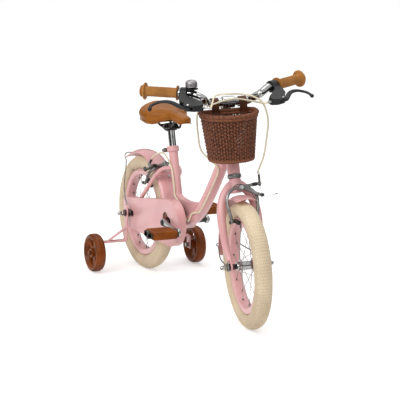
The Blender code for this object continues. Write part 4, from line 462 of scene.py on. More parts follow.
def plate(shape, outline, origin, axis, side, depth, edge=0.0, finish=0):
    """An outline of (x, y) with depth along the axis, centred on the origin, with rounded edges."""
    other = bmesh.new()
    face = other.faces.new([other.verts.new((x, y, -depth / 2)) for x, y in outline])
    grown = bmesh.ops.extrude_face_region(other, geom=[face])["geom"]
    bmesh.ops.translate(other, vec=(0, 0, depth), verts=[v for v in grown if isinstance(v, bmesh.types.BMVert)])
    if edge:
        round_edges(other, [e for e in other.edges if abs(e.verts[0].co.z - e.verts[1].co.z) < 1e-7], edge)
    added(shape, other, matrix_for(origin, axis, side), finish)


def block(shape, centre, size, turn=None, edge=0.001, finish=0):
    """A box with soft edges, turned by a matrix."""
    other = bmesh.new()
    bmesh.ops.create_cube(other, size=1.0, matrix=Matrix.Diagonal((*size, 1)))
    round_edges(other, other.edges, edge)
    added(shape, other, Matrix.Translation(centre) @ (turn.to_3x3().to_4x4() if turn else IDENTITY), finish)


def rod(shape, start, end, diameter, steps=32, edge=0.0004, finish=0):
    """A round bar with small chamfers at its ends."""
    r, length = diameter / 2, (end - start).length
    edge = min(edge, r / 2, length / 3)
    profile = [(0, 0), (r - edge, 0), (r, edge), (r, length - edge), (r - edge, length), (0, length)]
    turned(shape, profile, start, end - start, steps, finish)


# %% [markdown]
# Routes are smooth curves through a few points, spread evenly so that tubes get even rings.
# The same curve is used in the solid model, so a fine tube lies where the plain one lies.

# %% Write the curves
def spread_evenly(line, targets):
    """Points on a line of points, at shares of its whole length that grow from 0."""
    lengths = [0.0]
    for a, b in zip(line, line[1:]):
        lengths.append(lengths[-1] + (b - a).length)
    points, index = [], 0
    for target in targets:
        target *= lengths[-1]
        while index < len(line) - 2 and lengths[index + 1] < target:
            index += 1
        share = (target - lengths[index]) / max(lengths[index + 1] - lengths[index], 1e-9)
        points.append(line[index].lerp(line[index + 1], min(share, 1.0)))
    return points


def smooth_route(points, count):
    """Evenly spread points on a Catmull-Rom curve through the route's own points."""
    points = [Vector(point) for point in points]
    padded = [points[0] * 2 - points[1]] + points + [points[-1] * 2 - points[-2]]
    fine = []
    for a, b, c, d in zip(padded, padded[1:], padded[2:], padded[3:]):
        for step in range(16):
            s = step / 16
            fine.append(0.5 * (2 * b + (c - a) * s + (2 * a - 5 * b + 4 * c - d) * s**2)
                        + 0.5 * (3 * b - a - 3 * c + d) * s**3)
    return spread_evenly(fine + points[-1:], [step / (count - 1) for step in range(count)])


def bezier(a, b, c, d, count):
    steps = [step / (count - 1) for step in range(count)]
    return [a * (1 - s) ** 3 + b * 3 * s * (1 - s) ** 2 + c * 3 * s**2 * (1 - s) + d * s**3 for s in steps]


def arc(centre, radius, start, end, steps):
    """Points (x, y) on a circle from one angle to another, in degrees."""
    angles = [math.radians(start + (end - start) * step / steps) for step in range(steps + 1)]
    return [(centre[0] + radius * math.cos(a), centre[1] + radius * math.sin(a)) for a in angles]


def mirrored(points):
    """A route from a middle point to one side, continued to the other side, without the middle twice."""
    return [Vector((point.x, -point.y, point.z)) for point in points[:0:-1]] + points


# %% [markdown]
# A finished shape becomes an object that rides on a body of the model and hides the solids it stands for.
# Two more helpers work on whole shapes: melting welds tubes together with soft fillets, by a voxel remesh, and
# cutting takes bores and windows out with an exact Boolean.

# %% Write the finishing helpers
def loose_object(shape, name="loose"):
    mesh = bpy.data.meshes.new(name)
    bmesh.ops.recalc_face_normals(shape, faces=shape.faces)
    shape.to_mesh(mesh)
    shape.free()
    return placed(name, mesh)


def taken(item, *others):
    """The object's evaluated mesh as a bmesh. The object and its helpers are removed."""
    graph = bpy.context.evaluated_depsgraph_get()
    mesh = bpy.data.meshes.new_from_object(item.evaluated_get(graph))
    shape = bmesh.new()
    shape.from_mesh(mesh)
    bpy.data.meshes.remove(mesh)
    for old in (item, *others):
        bpy.data.objects.remove(old)
    return shape


def modified(item, kind, **settings):
    """Adds a modifier with its settings."""
    modifier = item.modifiers.new(kind.lower(), kind)
    for name, value in settings.items():
        setattr(modifier, name, value)
    return item


def melted(shape, voxel, rounds=6):
    item = modified(loose_object(shape), "REMESH", mode="VOXEL", voxel_size=voxel, use_smooth_shade=True)
    return taken(modified(item, "SMOOTH", factor=0.5, iterations=rounds))


def cut(shape, cutter):
    tool = loose_object(cutter)
    item = modified(loose_object(shape), "BOOLEAN", operation="DIFFERENCE", solver="EXACT", object=tool)
    return taken(item, tool)


def bored(shape, *bores, edge=0):
    """Cuts round holes, each given by its middle, half of its length as a vector, its diameter and its sides."""
    cutter = bmesh.new()
    for middle, half, diameter, sides in bores:
        rod(cutter, middle - half, middle + half, diameter, sides, edge)
    return cut(shape, cutter)


def softened(shape, width, segments, angle):
    """Rounds every edge sharper than the angle."""
    return taken(modified(loose_object(shape), "BEVEL", width=width, segments=segments, limit_method="ANGLE",
                          angle_limit=math.radians(angle), harden_normals=False))


def piece(name, shape, finishes, body, stands_for=(), sharp=38, turn=IDENTITY):
    """The shape as a finished piece that rides on a body."""
    place = (STEERED if body in ON_THE_BAR else REST) @ turn
    bmesh.ops.recalc_face_normals(shape, faces=shape.faces)
    bmesh.ops.transform(shape, matrix=place, verts=shape.verts)
    mesh = bpy.data.meshes.new(name)
    shape.to_mesh(mesh)
    shape.free()
    mesh.shade_smooth()
    mesh.set_sharp_from_angle(angle=math.radians(sharp))
    for finish in finishes if isinstance(finishes, list) else [finishes]:
        mesh.materials.append(finish)
    item = placed(name, mesh)
    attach(item, body)
    if stands_for:
        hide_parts(*stands_for)
    print(f"{name}: {len(mesh.polygons)} faces")
    return item


def both_sides(make):
    for side, label in SIDES:
        make(side, label)


# %% [markdown]
# Spokes, nipples, tread blocks and ribs repeat round an axle. One Geometry Nodes tree does them all: it puts a
# copy of an item at each step of a turn about Z, makes the copies real and gives them their finish.
# The items are made with their axle on Z, and the result is then carried to the wheel as plain mesh.

# %% Build the tree that repeats an item round an axle
KINDS = {"Geometry": "Geometry", "Item": "Object", "Even item": "Object", "Odd item": "Object", "Count": "Int",
         "Start": "Float", "Wave": "Float", "Thickness": "Float", "Stretch": "Float", "Finish": "Material"}


def tree_with(title, *names):
    """A tree with named inputs and a Geometry output, and the sockets that carry those inputs."""
    tree = bpy.data.node_groups.new(title, "GeometryNodeTree")
    for name in names:
        tree.interface.new_socket(name=name, in_out="INPUT", socket_type=f"NodeSocket{KINDS[name]}")
    tree.interface.new_socket(name="Geometry", in_out="OUTPUT", socket_type="NodeSocketGeometry")
    return tree, node(tree, "NodeGroupInput").outputs


def ended(tree, geometry, finish):
    """Ends a tree: copies made real, then one finish, then the output."""
    real = node(tree, "GeometryNodeRealizeInstances", {"Geometry": geometry})
    coloured = node(tree, "GeometryNodeSetMaterial", {"Geometry": real.outputs[0], "Material": finish})
    node(tree, "NodeGroupOutput", {"Geometry": coloured.outputs[0]})
    print("Tree", tree.name, "with", len(tree.nodes), "nodes")


round_tree, given = tree_with("round_an_axle", "Geometry", "Item", "Count", "Start", "Finish")
points = node(round_tree, "GeometryNodeMeshLine", {"Count": given["Count"], "Offset": (0, 0, 0)})
step = maths(round_tree, "DIVIDE", math.tau, given["Count"])
index = node(round_tree, "GeometryNodeInputIndex")
angle = maths(round_tree, "MULTIPLY_ADD", index.outputs[0], step, given["Start"])
turn = node(round_tree, "ShaderNodeCombineXYZ", {"Z": angle})
item = node(round_tree, "GeometryNodeObjectInfo", {"Object": given["Item"]})
copies = node(round_tree, "GeometryNodeInstanceOnPoints", {
    "Points": points.outputs[0], "Instance": item.outputs["Geometry"], "Rotation": turn.outputs[0]})
ended(round_tree, copies.outputs[0], given["Finish"])


def through_tree(tree, base, values):
    """Runs a tree on the base object with its named inputs, and gives the result as a bmesh."""
    modifier = base.modifiers.new("nodes", "NODES")
    modifier.node_group = tree
    for socket in tree.interface.items_tree:
        if socket.in_out == "INPUT" and socket.name in values:
            modifier[socket.identifier] = values[socket.name]
    base.update_tag()
    bpy.context.view_layer.update()
    return taken(base, *[value for value in values.values() if isinstance(value, bpy.types.Object)])


def repeated(shape, count, finish):
    """Copies of a shape in even steps round Z."""
    holder = loose_object(bmesh.new(), "axle")
    return through_tree(round_tree, holder, {"Item": loose_object(shape), "Count": count, "Start": 0.0,
                                             "Finish": finish})


def on_axle(centre):
    """The turn that carries a shape made round Z to an axle across the bike."""
    return matrix_for(centre, Y, X)


# %% [markdown]
# A balloon tyre is nearly round in section. Its carcass is smooth, and its crown carries rows of small ribs.
# The carcass is a turned profile. The ribs of one pitch are made once and repeated round the wheel.
# The rim is a pressed band with two rolled flanges, and the spokes run from the hub's flanges to its nipples.

# %% Make the wheels
TREAD = 0.0015
PITCHES, SPOKES, CROSSING = 64, 20, 4
HUB_FLANGE = 0.019
RIM_INNER = BEAD - 0.0115
SPOKE_SEAT = 0.018
TYRE_MIDDLE = BEAD + TYRE_HEIGHT / 2


def ring_of(profile, centre, steps=120):
    """A new shape: one profile turned about an axle across the bike."""
    shape = bmesh.new()
    turned(shape, profile, centre, Y, steps)
    return shape


def tyre_profile():
    outer = arc((0, 0), 1, -44, 224, 44)
    outer = [(TYRE_MIDDLE + (TYRE_HEIGHT / 2 - TREAD) * y, (TYRE_WIDTH / 2 - TREAD * 0.4) * x) for x, y in outer]
    foot = [(BEAD + 0.0006, 0.0118), (BEAD + 0.0072, 0.0118)]
    return foot + outer + [(r, -h) for r, h in foot[::-1]]


def tread_item():
    """One pitch of tread: short ribs side by side over the crown, staggered on every second row."""
    shape = bmesh.new()
    tall, wide = TYRE_HEIGHT / 2 - TREAD, TYRE_WIDTH / 2 - TREAD
    thick, run, across = TREAD * 0.75, 0.0037, 0.0030
    for row, slants in ((-0.25, range(-48, 49, 16)), (0.25, range(-40, 41, 16))):
        for slant in slants:
            a = math.radians(slant)
            centre = Vector((TYRE_MIDDLE + tall * math.cos(a) - TREAD * 0.2, 0, wide * math.sin(a)))
            turn = Matrix.Rotation(math.tau / PITCHES * row, 4, "Z") @ Matrix.Translation(centre)
            turn = turn @ Matrix.Rotation(-a, 4, "Y")
            rings = []
            for x, y, z in ((-thick, run, across), (thick, run * 0.86, across * 0.82)):
                rings.append([turn @ Vector((x, y * j, z * k)) for j, k in ((-1, -1), (1, -1), (1, 1), (-1, 1))])
            skin(shape, rings)
    return shape


def rim_profile():
    half, outer = 0.015, BEAD + 0.006
    lip = [(outer - 0.0012 + 0.0012 * math.sin(a), half - 0.0012 + 0.0012 * math.cos(a)) for a in
           [math.radians(20 * k) for k in range(10)]]
    left = [(RIM_INNER, 0.0), (RIM_INNER, half - 0.0042), (RIM_INNER + 0.0012, half - 0.0014),
            (RIM_INNER + 0.0034, half), (outer - 0.0030, half)] + lip
    left += [(outer - 0.0030, half - 0.0026), (BEAD + 0.0008, half - 0.0026), (BEAD, half - 0.0034)]
    return left + [(r, -h) for r, h in left[:0:-1]]


def spoke_items():
    """Two crossed pairs of spokes, one pair on each flange, and their four nipples."""
    spokes, nipples = bmesh.new(), bmesh.new()
    flange = HUB_FLANGE - 0.0035
    for index in range(CROSSING):
        side = 1 if index % 2 else -1
        lean = 1 if index < 2 else -1
        rim_angle = math.tau * index / SPOKES
        hub_angle = rim_angle + lean * math.radians(62)
        seat = side * (SPOKE_SEAT + 0.0012 * lean)
        start = Vector((flange * math.cos(hub_angle), flange * math.sin(hub_angle), seat))
        way = Vector((math.cos(rim_angle), math.sin(rim_angle), 0))
        end = way * (RIM_INNER - 0.0003) + Z * side * 0.0037
        tube(spokes, [start, end], 0.0008, 8)
        run = (end - start).normalized()
        rod(nipples, end - run * 0.0048, end - run * 0.0002, 0.0042, 10, 0.0006)
    return spokes, nipples


def hub_profile(carrier):
    """The hub's shell with two flanges. A carrier holds the freewheel on the right."""
    half, body, flange, bore = 0.030, 0.0122, HUB_FLANGE, 0.0051
    inside, outside = SPOKE_SEAT - 0.0014, SPOKE_SEAT + 0.0014
    left = [(bore, half), (body * 0.95, half), (body, half - 0.001), (body, outside + 0.0015),
            (body + 0.0015, outside), (flange - 0.0008, outside), (flange, outside - 0.0008),
            (flange, inside + 0.0008), (flange - 0.0008, inside), (body + 0.001, inside), (body, inside - 0.002),
            (body, 0.004)]
    right = [(radius, -height) for radius, height in left[::-1]]
    if carrier:
        right = right[:-3] + [(0.013, -outside - 0.001), (0.013, -0.0370), (bore, -0.0370)]
    return left + right


def wheel(label, centre, body, carrier):
    turn = on_axle(centre)
    tyre = ring_of(tyre_profile(), centre)
    # The carcass wears the darker cream as painted shade, and the tread ribs wear the lighter one.
    piece(f"{label}_tyre_carcass", tyre, carcass_painted_shade, body, [f"{label}_tyre"])
    tread = repeated(tread_item(), PITCHES, tyre_cream)
    piece(f"{label}_tyre_tread", tread, tyre_cream, body, (), 60, turn)
    piece(f"{label}_rim_band", ring_of(rim_profile(), centre), enamel, body, [f"{label}_rim"])
    hub = ring_of(hub_profile(carrier), centre, 48)
    piece(f"{label}_hub_shell", hub, chrome, body, [f"{label}_hub"])
    spokes, nipples = spoke_items()
    spokes = repeated(spokes, SPOKES // CROSSING, spoke_steel)
    piece(f"{label}_spokes", spokes, spoke_steel, body, (), 60, turn)
    nipples = repeated(nipples, SPOKES // CROSSING, dark_steel)
    piece(f"{label}_nipples", nipples, dark_steel, body, (), turn=turn)


wheel("front", FRONT, "front_wheel", False)
wheel("rear", REAR, "rear_wheel", True)

# %% [markdown]
# The frame is welded steel tube: a bent down tube, a straight seat tube, the head tube and the bottom bracket's
# shell, with a web plate in the corner and thin stays to the rear axle.
# Real welds leave a soft fillet, so the tubes are melted together by a voxel remesh and smoothed a little.
# The dropouts stay crisp pressed plates.

# %% Weld the frame
STAY_UP = heading(45.5)
STAY_BEHIND = Vector((-STAY_UP.z, 0, STAY_UP.x))
BRIDGE = REAR + STAY_UP * (WHEEL_RADIUS + 0.0345)
DROPOUT_Y = 0.045
DROPOUT_BORE = 0.0103


def down_tube_points(count=41):
    top = steer_point(HEAD_TOP - 0.025)
    return bezier(BB, BB + heading(12) * 0.090, top - heading(58.5) * 0.240, top, count)


def gusset_outline():
    route = down_tube_points(15)
    seat_end, tube_end = seat_point(0.092), route[8]
    edge = bezier(seat_end, seat_end + X * 0.020 - Z * 0.040, tube_end - X * 0.070 - Z * 0.026, tube_end, 17)
    corners = [BB - X * 0.010 - Z * 0.014, seat_point(-0.004)]
    return [(point.x, point.z) for point in edge + route[7:1:-2] + corners]


def stay_routes(side):
    """The seat stay and the chain stay of one side, from the dropout."""
    out = Y * side
    bridge = BRIDGE + out * 0.0385
    upper = [REAR + STAY_UP * 0.012 + out * DROPOUT_Y, REAR + STAY_UP * 0.100 + out * (DROPOUT_Y - 0.0005),
             bridge - STAY_UP * 0.030 + out * 0.002, bridge, bridge + STAY_UP * 0.026 - out * 0.012,
             seat_point(0.152, side * 0.010)]
    lower = [REAR + Vector((x, side * y, z)) for x, y, z in (
        (0.012, DROPOUT_Y, 0.001), (0.090, DROPOUT_Y - 0.002, 0.008), (0.150, 0.0385, 0.015),
        (0.185, 0.0325, 0.020), (0.216, 0.0248, 0.025))]
    lower.append(BB - X * 0.012 + out * 0.0190 - Z * 0.002)
    return smooth_route(upper, 40), smooth_route(lower, 40)


def weldment():
    shape = bmesh.new()
    rod(shape, steer_point(HEAD_BASE + 0.0003), steer_point(HEAD_TOP), 0.036, 64)
    tube(shape, down_tube_points(), 0.018, 48)
    rod(shape, seat_point(0.002), seat_point(SEAT_TUBE), 0.0272, 64)
    rod(shape, BB - Y * 0.027, BB + Y * 0.027, 0.044, 64)
    plate(shape, gusset_outline(), Vector(), -Y, X, 0.020)
    for side, _ in SIDES:
        for route in stay_routes(side):
            tube(shape, route, 0.0065, 24)
    rod(shape, BRIDGE - Y * 0.036, BRIDGE + Y * 0.036, 0.013, 32)
    return bored(melted(shape, 0.0016), (steer_point((HEAD_BASE + HEAD_TOP) / 2), STEER_UP * 0.066, 0.0274, 48),
                 (BB, Y * 0.05, 0.036, 48), (seat_point(SEAT_TUBE - 0.070), SEAT_UP * 0.080, 0.0228, 48),
                 (BRIDGE, STAY_BEHIND * 0.03, 0.0066, 24), edge=0.0004)


def dropout_plates(outline, centre, spread, side_of_plate):
    """A bored pair of plates that hold an axle."""
    shape = bmesh.new()
    for side, _ in SIDES:
        plate(shape, outline, centre + Y * side * spread, -Y, side_of_plate, 0.0045, 0.0009)
    bores = [(centre + Y * side * 0.045, Y * side * 0.025, DROPOUT_BORE, 32) for side, _ in SIDES]
    return bored(shape, *bores, edge=0.0004)


rear_outline = arc((0, 0), 0.017, 90, 360, 27) + [(0.036, -0.003), (0.036, 0.009), (0.034, 0.032), (0.022, 0.034)]
piece("welded_frame", weldment(), enamel, "frame",
      ["main_frame", "rear_triangle_right", "rear_triangle_left", "brake_bridge"], 60)
piece("rear_dropouts", dropout_plates(rear_outline, REAR, DROPOUT_Y, X), enamel, "frame", ())

# %% [markdown]
# Small turned parts close the frame's tubes: two headset races, the bottom bracket's cups and the seat clamp.
# A headset race shows a bright ring with a groove where it meets its cone, and the clamp has a bolt with a nut
# between two ears. They are turned from profiles, because that is how such parts are made.

# %% Turn the headset, the cups and the seat clamp
def headset_shapes():
    """The lower and the upper race, from (share of the radius, height)."""
    bore, outer = 0.0130, 0.020
    low = [(0.84, 0), (0.88, 0.0006), (0.88, 0.0022), (0.98, 0.0026), (1, 0.0034), (1, 0.0062), (0.90, 0.0068),
           (0.90, 0.0078), (1, 0.0084), (1, 0.0102), (0.95, 0.0108), (0.90, 0.0119)]
    high = [(0.93, 0), (0.94, 0.0016), (1, 0.0024), (1, 0.0082), (0.97, 0.0092), (0.84, 0.0098), (0.84, 0.0108),
            (0.82, 0.0112), (0.82, 0.0192), (0.80, 0.0200)]
    races = []
    for profile, place in ((low, FORK_LENGTH + 0.0003), (high, HEAD_TOP + 0.0003)):
        rings = [(bore, 0)] + [(outer * share, height) for share, height in profile] + [(bore, profile[-1][1])]
        races.append(bmesh.new())
        turned(races[-1], rings, steer_point(place), STEER_UP, 64)
    return races


def hexagon(shape, start, end, across, finish=0):
    """A hexagon nut or bolt head with turned-down corners, across its flats."""
    r, length = across / 2 / math.cos(math.radians(30)), (end - start).length
    edge = min(0.0006, length / 4)
    profile = [(0, 0), (r * 0.93, 0), (r, edge), (r, length - edge), (r * 0.93, length), (0, length)]
    turned(shape, profile, start, end - start, 6, finish)


def seat_clamp_shape():
    """A stepped ring with two ears, a bolt with a domed head on the right and a nut on the left."""
    shape = bmesh.new()
    inner, outer = 0.0139, 0.0181
    start = SEAT_TUBE - 0.013
    profile = [(inner, 0), (outer - 0.0008, 0), (outer, 0.0008), (outer, 0.0152), (outer - 0.0008, 0.016),
               (0.0117, 0.016), (0.0117, 0.0133), (inner, 0.0133)]
    turned(shape, profile, seat_point(start), SEAT_UP, 64)
    back = SEAT_UP.cross(Y)
    middle = seat_point(start + 0.008)
    bolt = middle + back * (outer + 0.0040)
    for side, _ in SIDES:
        block(shape, middle + back * (outer + 0.0020) + Y * side * 0.0062, (0.012, 0.0072, 0.012),
              matrix_for(Vector(), SEAT_UP, back), 0.0012)
    rod(shape, bolt - Y * 0.0180, bolt + Y * 0.0175, 0.0062, 24, finish=1)
    head = [(0, 0.0100), (0.0064, 0.0100), (0.0066, 0.0110), (0.0066, 0.0180), (0.0048, 0.0230), (0.0034, 0.0255),
            (0, 0.0262)]
    turned(shape, head, bolt, -Y, 32, 1)
    hexagon(shape, bolt + Y * 0.0125, bolt + Y * 0.0178, 0.0100, 1)
    return shape


def cups_shape():
    shape = bmesh.new()
    profile = [(0.0091, 0), (0.0176, 0), (0.0176, 0.0284), (0.0166, 0.0285), (0.0120, 0.0280), (0.0115, 0.0268),
               (0.0091, 0.0266)]
    for side, _ in SIDES:
        turned(shape, profile, BB, Y * side, 48)
    return shape


race_low, race_high = headset_shapes()
piece("headset_race_lower", race_low, steel, "frame", ["headset_lower"])
piece("headset_race_upper", race_high, chrome, "frame", ["headset_upper"])
piece("seat_tube_clamp", seat_clamp_shape(), [enamel, steel], "frame", ["seat_clamp"])
piece("bottom_bracket_cups", cups_shape(), steel, "frame", ["bottom_bracket"])

# %% [markdown]
# A chain guard is a moulded cover over the chain, with a round window at the crank and a slot for the axle.
# Its outline is extruded, hollowed from the back and cut, and then every sharp edge is rounded by a bevel, which
# is what makes a moulding catch the light.

# %% Mould the chain guard
GUARD_OUT, GUARD_IN, GUARD_WALL = -0.0550, -0.0290, 0.002
GUARD_DEPTH = GUARD_IN - GUARD_OUT
PITCH = 0.0127
RING_TEETH, SPROCKET_TEETH = 26, 14
RING_RADIUS, SPROCKET_RADIUS = (teeth * PITCH / math.tau for teeth in (RING_TEETH, SPROCKET_TEETH))
CHAIN_Y = -0.0340


def guard_outline(inset=0.0):
    foot = SPROCKET_RADIUS + 0.019 - inset
    tail = [(-0.036 + inset * 0.4, 0.041 - inset), (-0.058 + inset, 0.027 - inset * 0.4), (-0.048 + inset, -0.006),
            (-0.024 + inset * 0.7, -0.034 + inset * 0.7), (0.009, -foot)]
    return arc((BB.x, BB.z - 0.003), 0.069 - inset, -97, 98, 48) + [(REAR.x + x, REAR.z + z) for x, z in tail]


def guard_plate(inset):
    shape = bmesh.new()
    middle = Vector((0, GUARD_OUT + inset + GUARD_DEPTH / 2, 0))
    plate(shape, guard_outline(inset), middle, -Y, X, GUARD_DEPTH)
    return shape


def guard_shape():
    shape = cut(guard_plate(0.0), guard_plate(GUARD_WALL))
    through = Y * 0.01
    shape = bored(shape, (BB + Vector((-0.0226, GUARD_OUT, 0.0064)), through, 0.038, 64))
    shape = bored(shape, (BB + Y * GUARD_OUT, through, 0.030, 64))
    slot = REAR + Vector((0.002, GUARD_OUT, 0))
    shape = bored(shape, *[(slot + X * end, through, 0.019, 40) for end in (-0.0165, 0.0165)])
    cutter = bmesh.new()
    block(cutter, slot, (0.033, 0.02, 0.0188), None, 0.0001)
    notch = REAR + STAY_UP * 0.070 + Y * (GUARD_IN - GUARD_DEPTH / 2 + GUARD_WALL)
    block(cutter, notch, (0.080, GUARD_DEPTH, 0.019), matrix_for(Vector(), Y.cross(STAY_UP), STAY_UP), 0.0001)
    return softened(cut(shape, cutter), 0.0018, 3, 50)


piece("guard_cover", guard_shape(), enamel, "frame", ["chain_guard"], 30)

# %% [markdown]
# A bicycle chain is inner and outer links in turn, half an inch apart, with a roller at each joint.
# A second tree lays two kinds of link in turn on the points of a route, each turned by its own angle, so that
# the chain follows the belt line round both sprockets.

# %% Build the tree that lays links on a route
route_tree, given = tree_with("links_on_a_route", "Geometry", "Even item", "Odd item", "Finish")
index = node(route_tree, "GeometryNodeInputIndex")
odd = maths(route_tree, "MODULO", index.outputs[0], 2.0)
even = maths(route_tree, "SUBTRACT", 1.0, odd)
turn = node(route_tree, "GeometryNodeInputNamedAttribute", {"Name": "turn"}, data_type="FLOAT_VECTOR")
laid = []
for name, chosen in (("Even item", even), ("Odd item", odd)):
    item = node(route_tree, "GeometryNodeObjectInfo", {"Object": given[name]})
    laid.append(node(route_tree, "GeometryNodeInstanceOnPoints", {
        "Points": given["Geometry"], "Selection": chosen, "Instance": item.outputs["Geometry"],
        "Rotation": turn.outputs["Attribute"]}))
both = node(route_tree, "GeometryNodeJoinGeometry")
for copies in laid:
    route_tree.links.new(copies.outputs[0], both.inputs[0])
ended(route_tree, both.outputs[0], given["Finish"])


def laid_on(places, even_item, odd_item, finish):
    """Copies of two items in turn on a list of matrices."""
    mesh = bpy.data.meshes.new("route")
    mesh.from_pydata([place.translation for place in places], [], [])
    turns = mesh.attributes.new("turn", "FLOAT_VECTOR", "POINT")
    for slot, place in zip(turns.data, places):
        slot.vector = place.to_euler()
    items = {"Even item": loose_object(even_item), "Odd item": loose_object(odd_item)}
    return through_tree(route_tree, placed("route", mesh), {**items, "Finish": finish})


# %% [markdown]
# The belt line is an arc round each sprocket with straight runs between them. Its length is only nearly a whole
# number of pitches, so the links are spread evenly, which changes each of them by less than can be seen.

# %% Lay the chain round its sprockets
def belt_line():
    """The pitch line round both sprockets as a closed list of points."""
    span = BB - REAR
    slope = math.degrees(math.atan2(span.z, span.x))
    wrap = math.degrees(math.asin((RING_RADIUS - SPROCKET_RADIUS) / span.length))
    front = arc((BB.x, BB.z), RING_RADIUS, slope - 90 - wrap, slope + 90 + wrap, 60)
    rear = arc((REAR.x, REAR.z), SPROCKET_RADIUS, slope + 90 + wrap, slope + 270 - wrap, 40)
    line = [Vector((x, CHAIN_Y, z)) for x, z in front + rear]
    return line + line[:1]


def length_of(line):
    return sum((b - a).length for a, b in zip(line, line[1:]))


def joints_on(line, pitch):
    """Places along a closed line, an even count of them about a pitch apart, each turned along the line."""
    count = 2 * round(length_of(line) / pitch / 2)
    points = spread_evenly(line, [step / count for step in range(count)])
    return [matrix_for((a + b) / 2, -Y, b - a) for a, b in zip(points, points[1:] + points[:1])]


def link_item(inner):
    """One link with its axle on Z: two waisted side plates, and a roller or a pin at each end."""
    shape = bmesh.new()
    gap = 0.0019 if inner else 0.0031
    radius, reach, sides = (0.0034, 0.0017, 8) if inner else (0.0015, 0.0041, 6)
    eye, waist = 0.0040, 0.0030
    half = PITCH / 2 * 0.985
    outline = arc((half, 0), eye, -70, 70, 6) + [(0, waist)] + arc((-half, 0), eye, 110, 250, 6) + [(0, -waist)]
    for side, _ in SIDES:
        plate(shape, outline, Z * side * gap, Z, X, 0.0010)
    for end in (-half, half):
        turned(shape, [(0, -reach), (radius, -reach), (radius, reach), (0, reach)], X * end, Z, sides)
    return shape


links = joints_on(belt_line(), PITCH)
chain = laid_on(links, link_item(True), link_item(False), dark_steel)
piece("chain_links", chain, dark_steel, "frame", ["chain"])
print(len(links), "links")

# %% [markdown]
# A sprocket is a stamped disc: teeth with hollows between them and windows that save weight. The chainring turns
# with the crank and the freewheel with its own body, so they are two pieces made from one outline.

# %% Stamp the sprockets
TOOTH = ((-0.5, -0.0036), (-0.36, -0.0026), (-0.18, 0.0006), (-0.08, 0.0014), (0.08, 0.0014), (0.18, 0.0006),
         (0.36, -0.0026))


def toothed_disc(teeth, centre):
    """A stamped disc: each tooth is (share of a pitch, height over the pitch line)."""
    radius = teeth * PITCH / math.tau
    outline = []
    for index in range(teeth):
        for share, height in TOOTH:
            angle = math.tau * (index + share) / teeth
            outline.append(((radius + height) * math.cos(angle), (radius + height) * math.sin(angle)))
    shape = bmesh.new()
    plate(shape, outline, centre, -Y, X, 0.003)
    return shape


def chainring_shape():
    centre = BB + Y * CHAIN_Y
    windows = [(centre + heading(72 * (k + 0.5)) * (RING_RADIUS * 0.58), Y * 0.01, 0.022, 32) for k in range(5)]
    return bored(toothed_disc(RING_TEETH, centre), (centre, Y * 0.02, 0.0202, 40), *windows)


def freewheel_shape():
    centre = REAR + Y * CHAIN_Y
    shape = bored(toothed_disc(SPROCKET_TEETH, centre), (centre, Y * 0.02, 0.0290, 40))
    profile = [(0.0133, -0.004), (0.0190, -0.004), (0.020, -0.003), (0.020, 0.0027), (0.0190, 0.0035),
               (0.0133, 0.0035)]
    turned(shape, profile, centre, Y, 48)
    return shape


# The chainring carries the painted shade of the guard's inside, dark red instead of plain steel.
piece("chainring_disc", chainring_shape(), chainring_painted_shade, "crank", ["chainring"])
piece("freewheel_body", freewheel_shape(), dark_steel, "freewheel", ["freewheel"])

# %% [markdown]
# A crank arm is forged: a boss over the spindle, a blade that narrows, and an eye for the pedal's axle.
# The arm's outline is a plate with well rounded edges. A black cap covers the bolt in the boss.
# The pedal is a moulded block with ribs along each tread and a dark cap at each end.

# %% Forge the cranks and mould the pedals
CRANK_Y, CRANK_LENGTH, CRANK_WIDTH = 0.070, 0.102, 0.011
CRANK_FACE = CRANK_WIDTH / 2
PEDAL_SIZE = Vector((0.058, 0.088, 0.026))
PEDAL_CAP = 0.006
CRANK_DROP = -3


def crank_shape(side, reach):
    out = Y * side
    root = BB + out * CRANK_Y
    tip = root + reach * CRANK_LENGTH
    blade = [(0.012, 0.0100), (0.024, 0.0076), (0.040, 0.0066), (0.080, 0.0062)]
    outline = arc((0, 0), 0.0122, 90, 270, 20) + [(x, -y) for x, y in blade]
    outline += arc((CRANK_LENGTH, 0), 0.0104, -110, 110, 20) + blade[::-1]
    shape = bmesh.new()
    plate(shape, outline, root, -Y, reach, CRANK_WIDTH, 0.0028)
    shape = bored(shape, (BB + out * (CRANK_Y + 0.011) / 2, out * (CRANK_Y - 0.009) / 2, 0.0176, 32))
    cap = [(0, 0), (0.0086, 0), (0.0086, CRANK_FACE), (0.0078, CRANK_FACE + 0.0022), (0.0050, CRANK_FACE + 0.0030),
           (0, CRANK_FACE + 0.0030)]
    turned(shape, cap, root, out, 40, 1)
    rod(shape, tip, tip + out * (CRANK_FACE + PEDAL_SIZE.y - 0.002), 0.0095, 24)
    hexagon(shape, tip + out * (CRANK_FACE + 0.0002), tip + out * (CRANK_FACE + 0.0034), 0.0150, 2)
    plug = [(0, 0), (0.0044, 0), (0.0040, 0.0008), (0, 0.0008)]
    turned(shape, plug, tip - out * (CRANK_FACE - 0.0002), -out, 24, 2)
    return shape


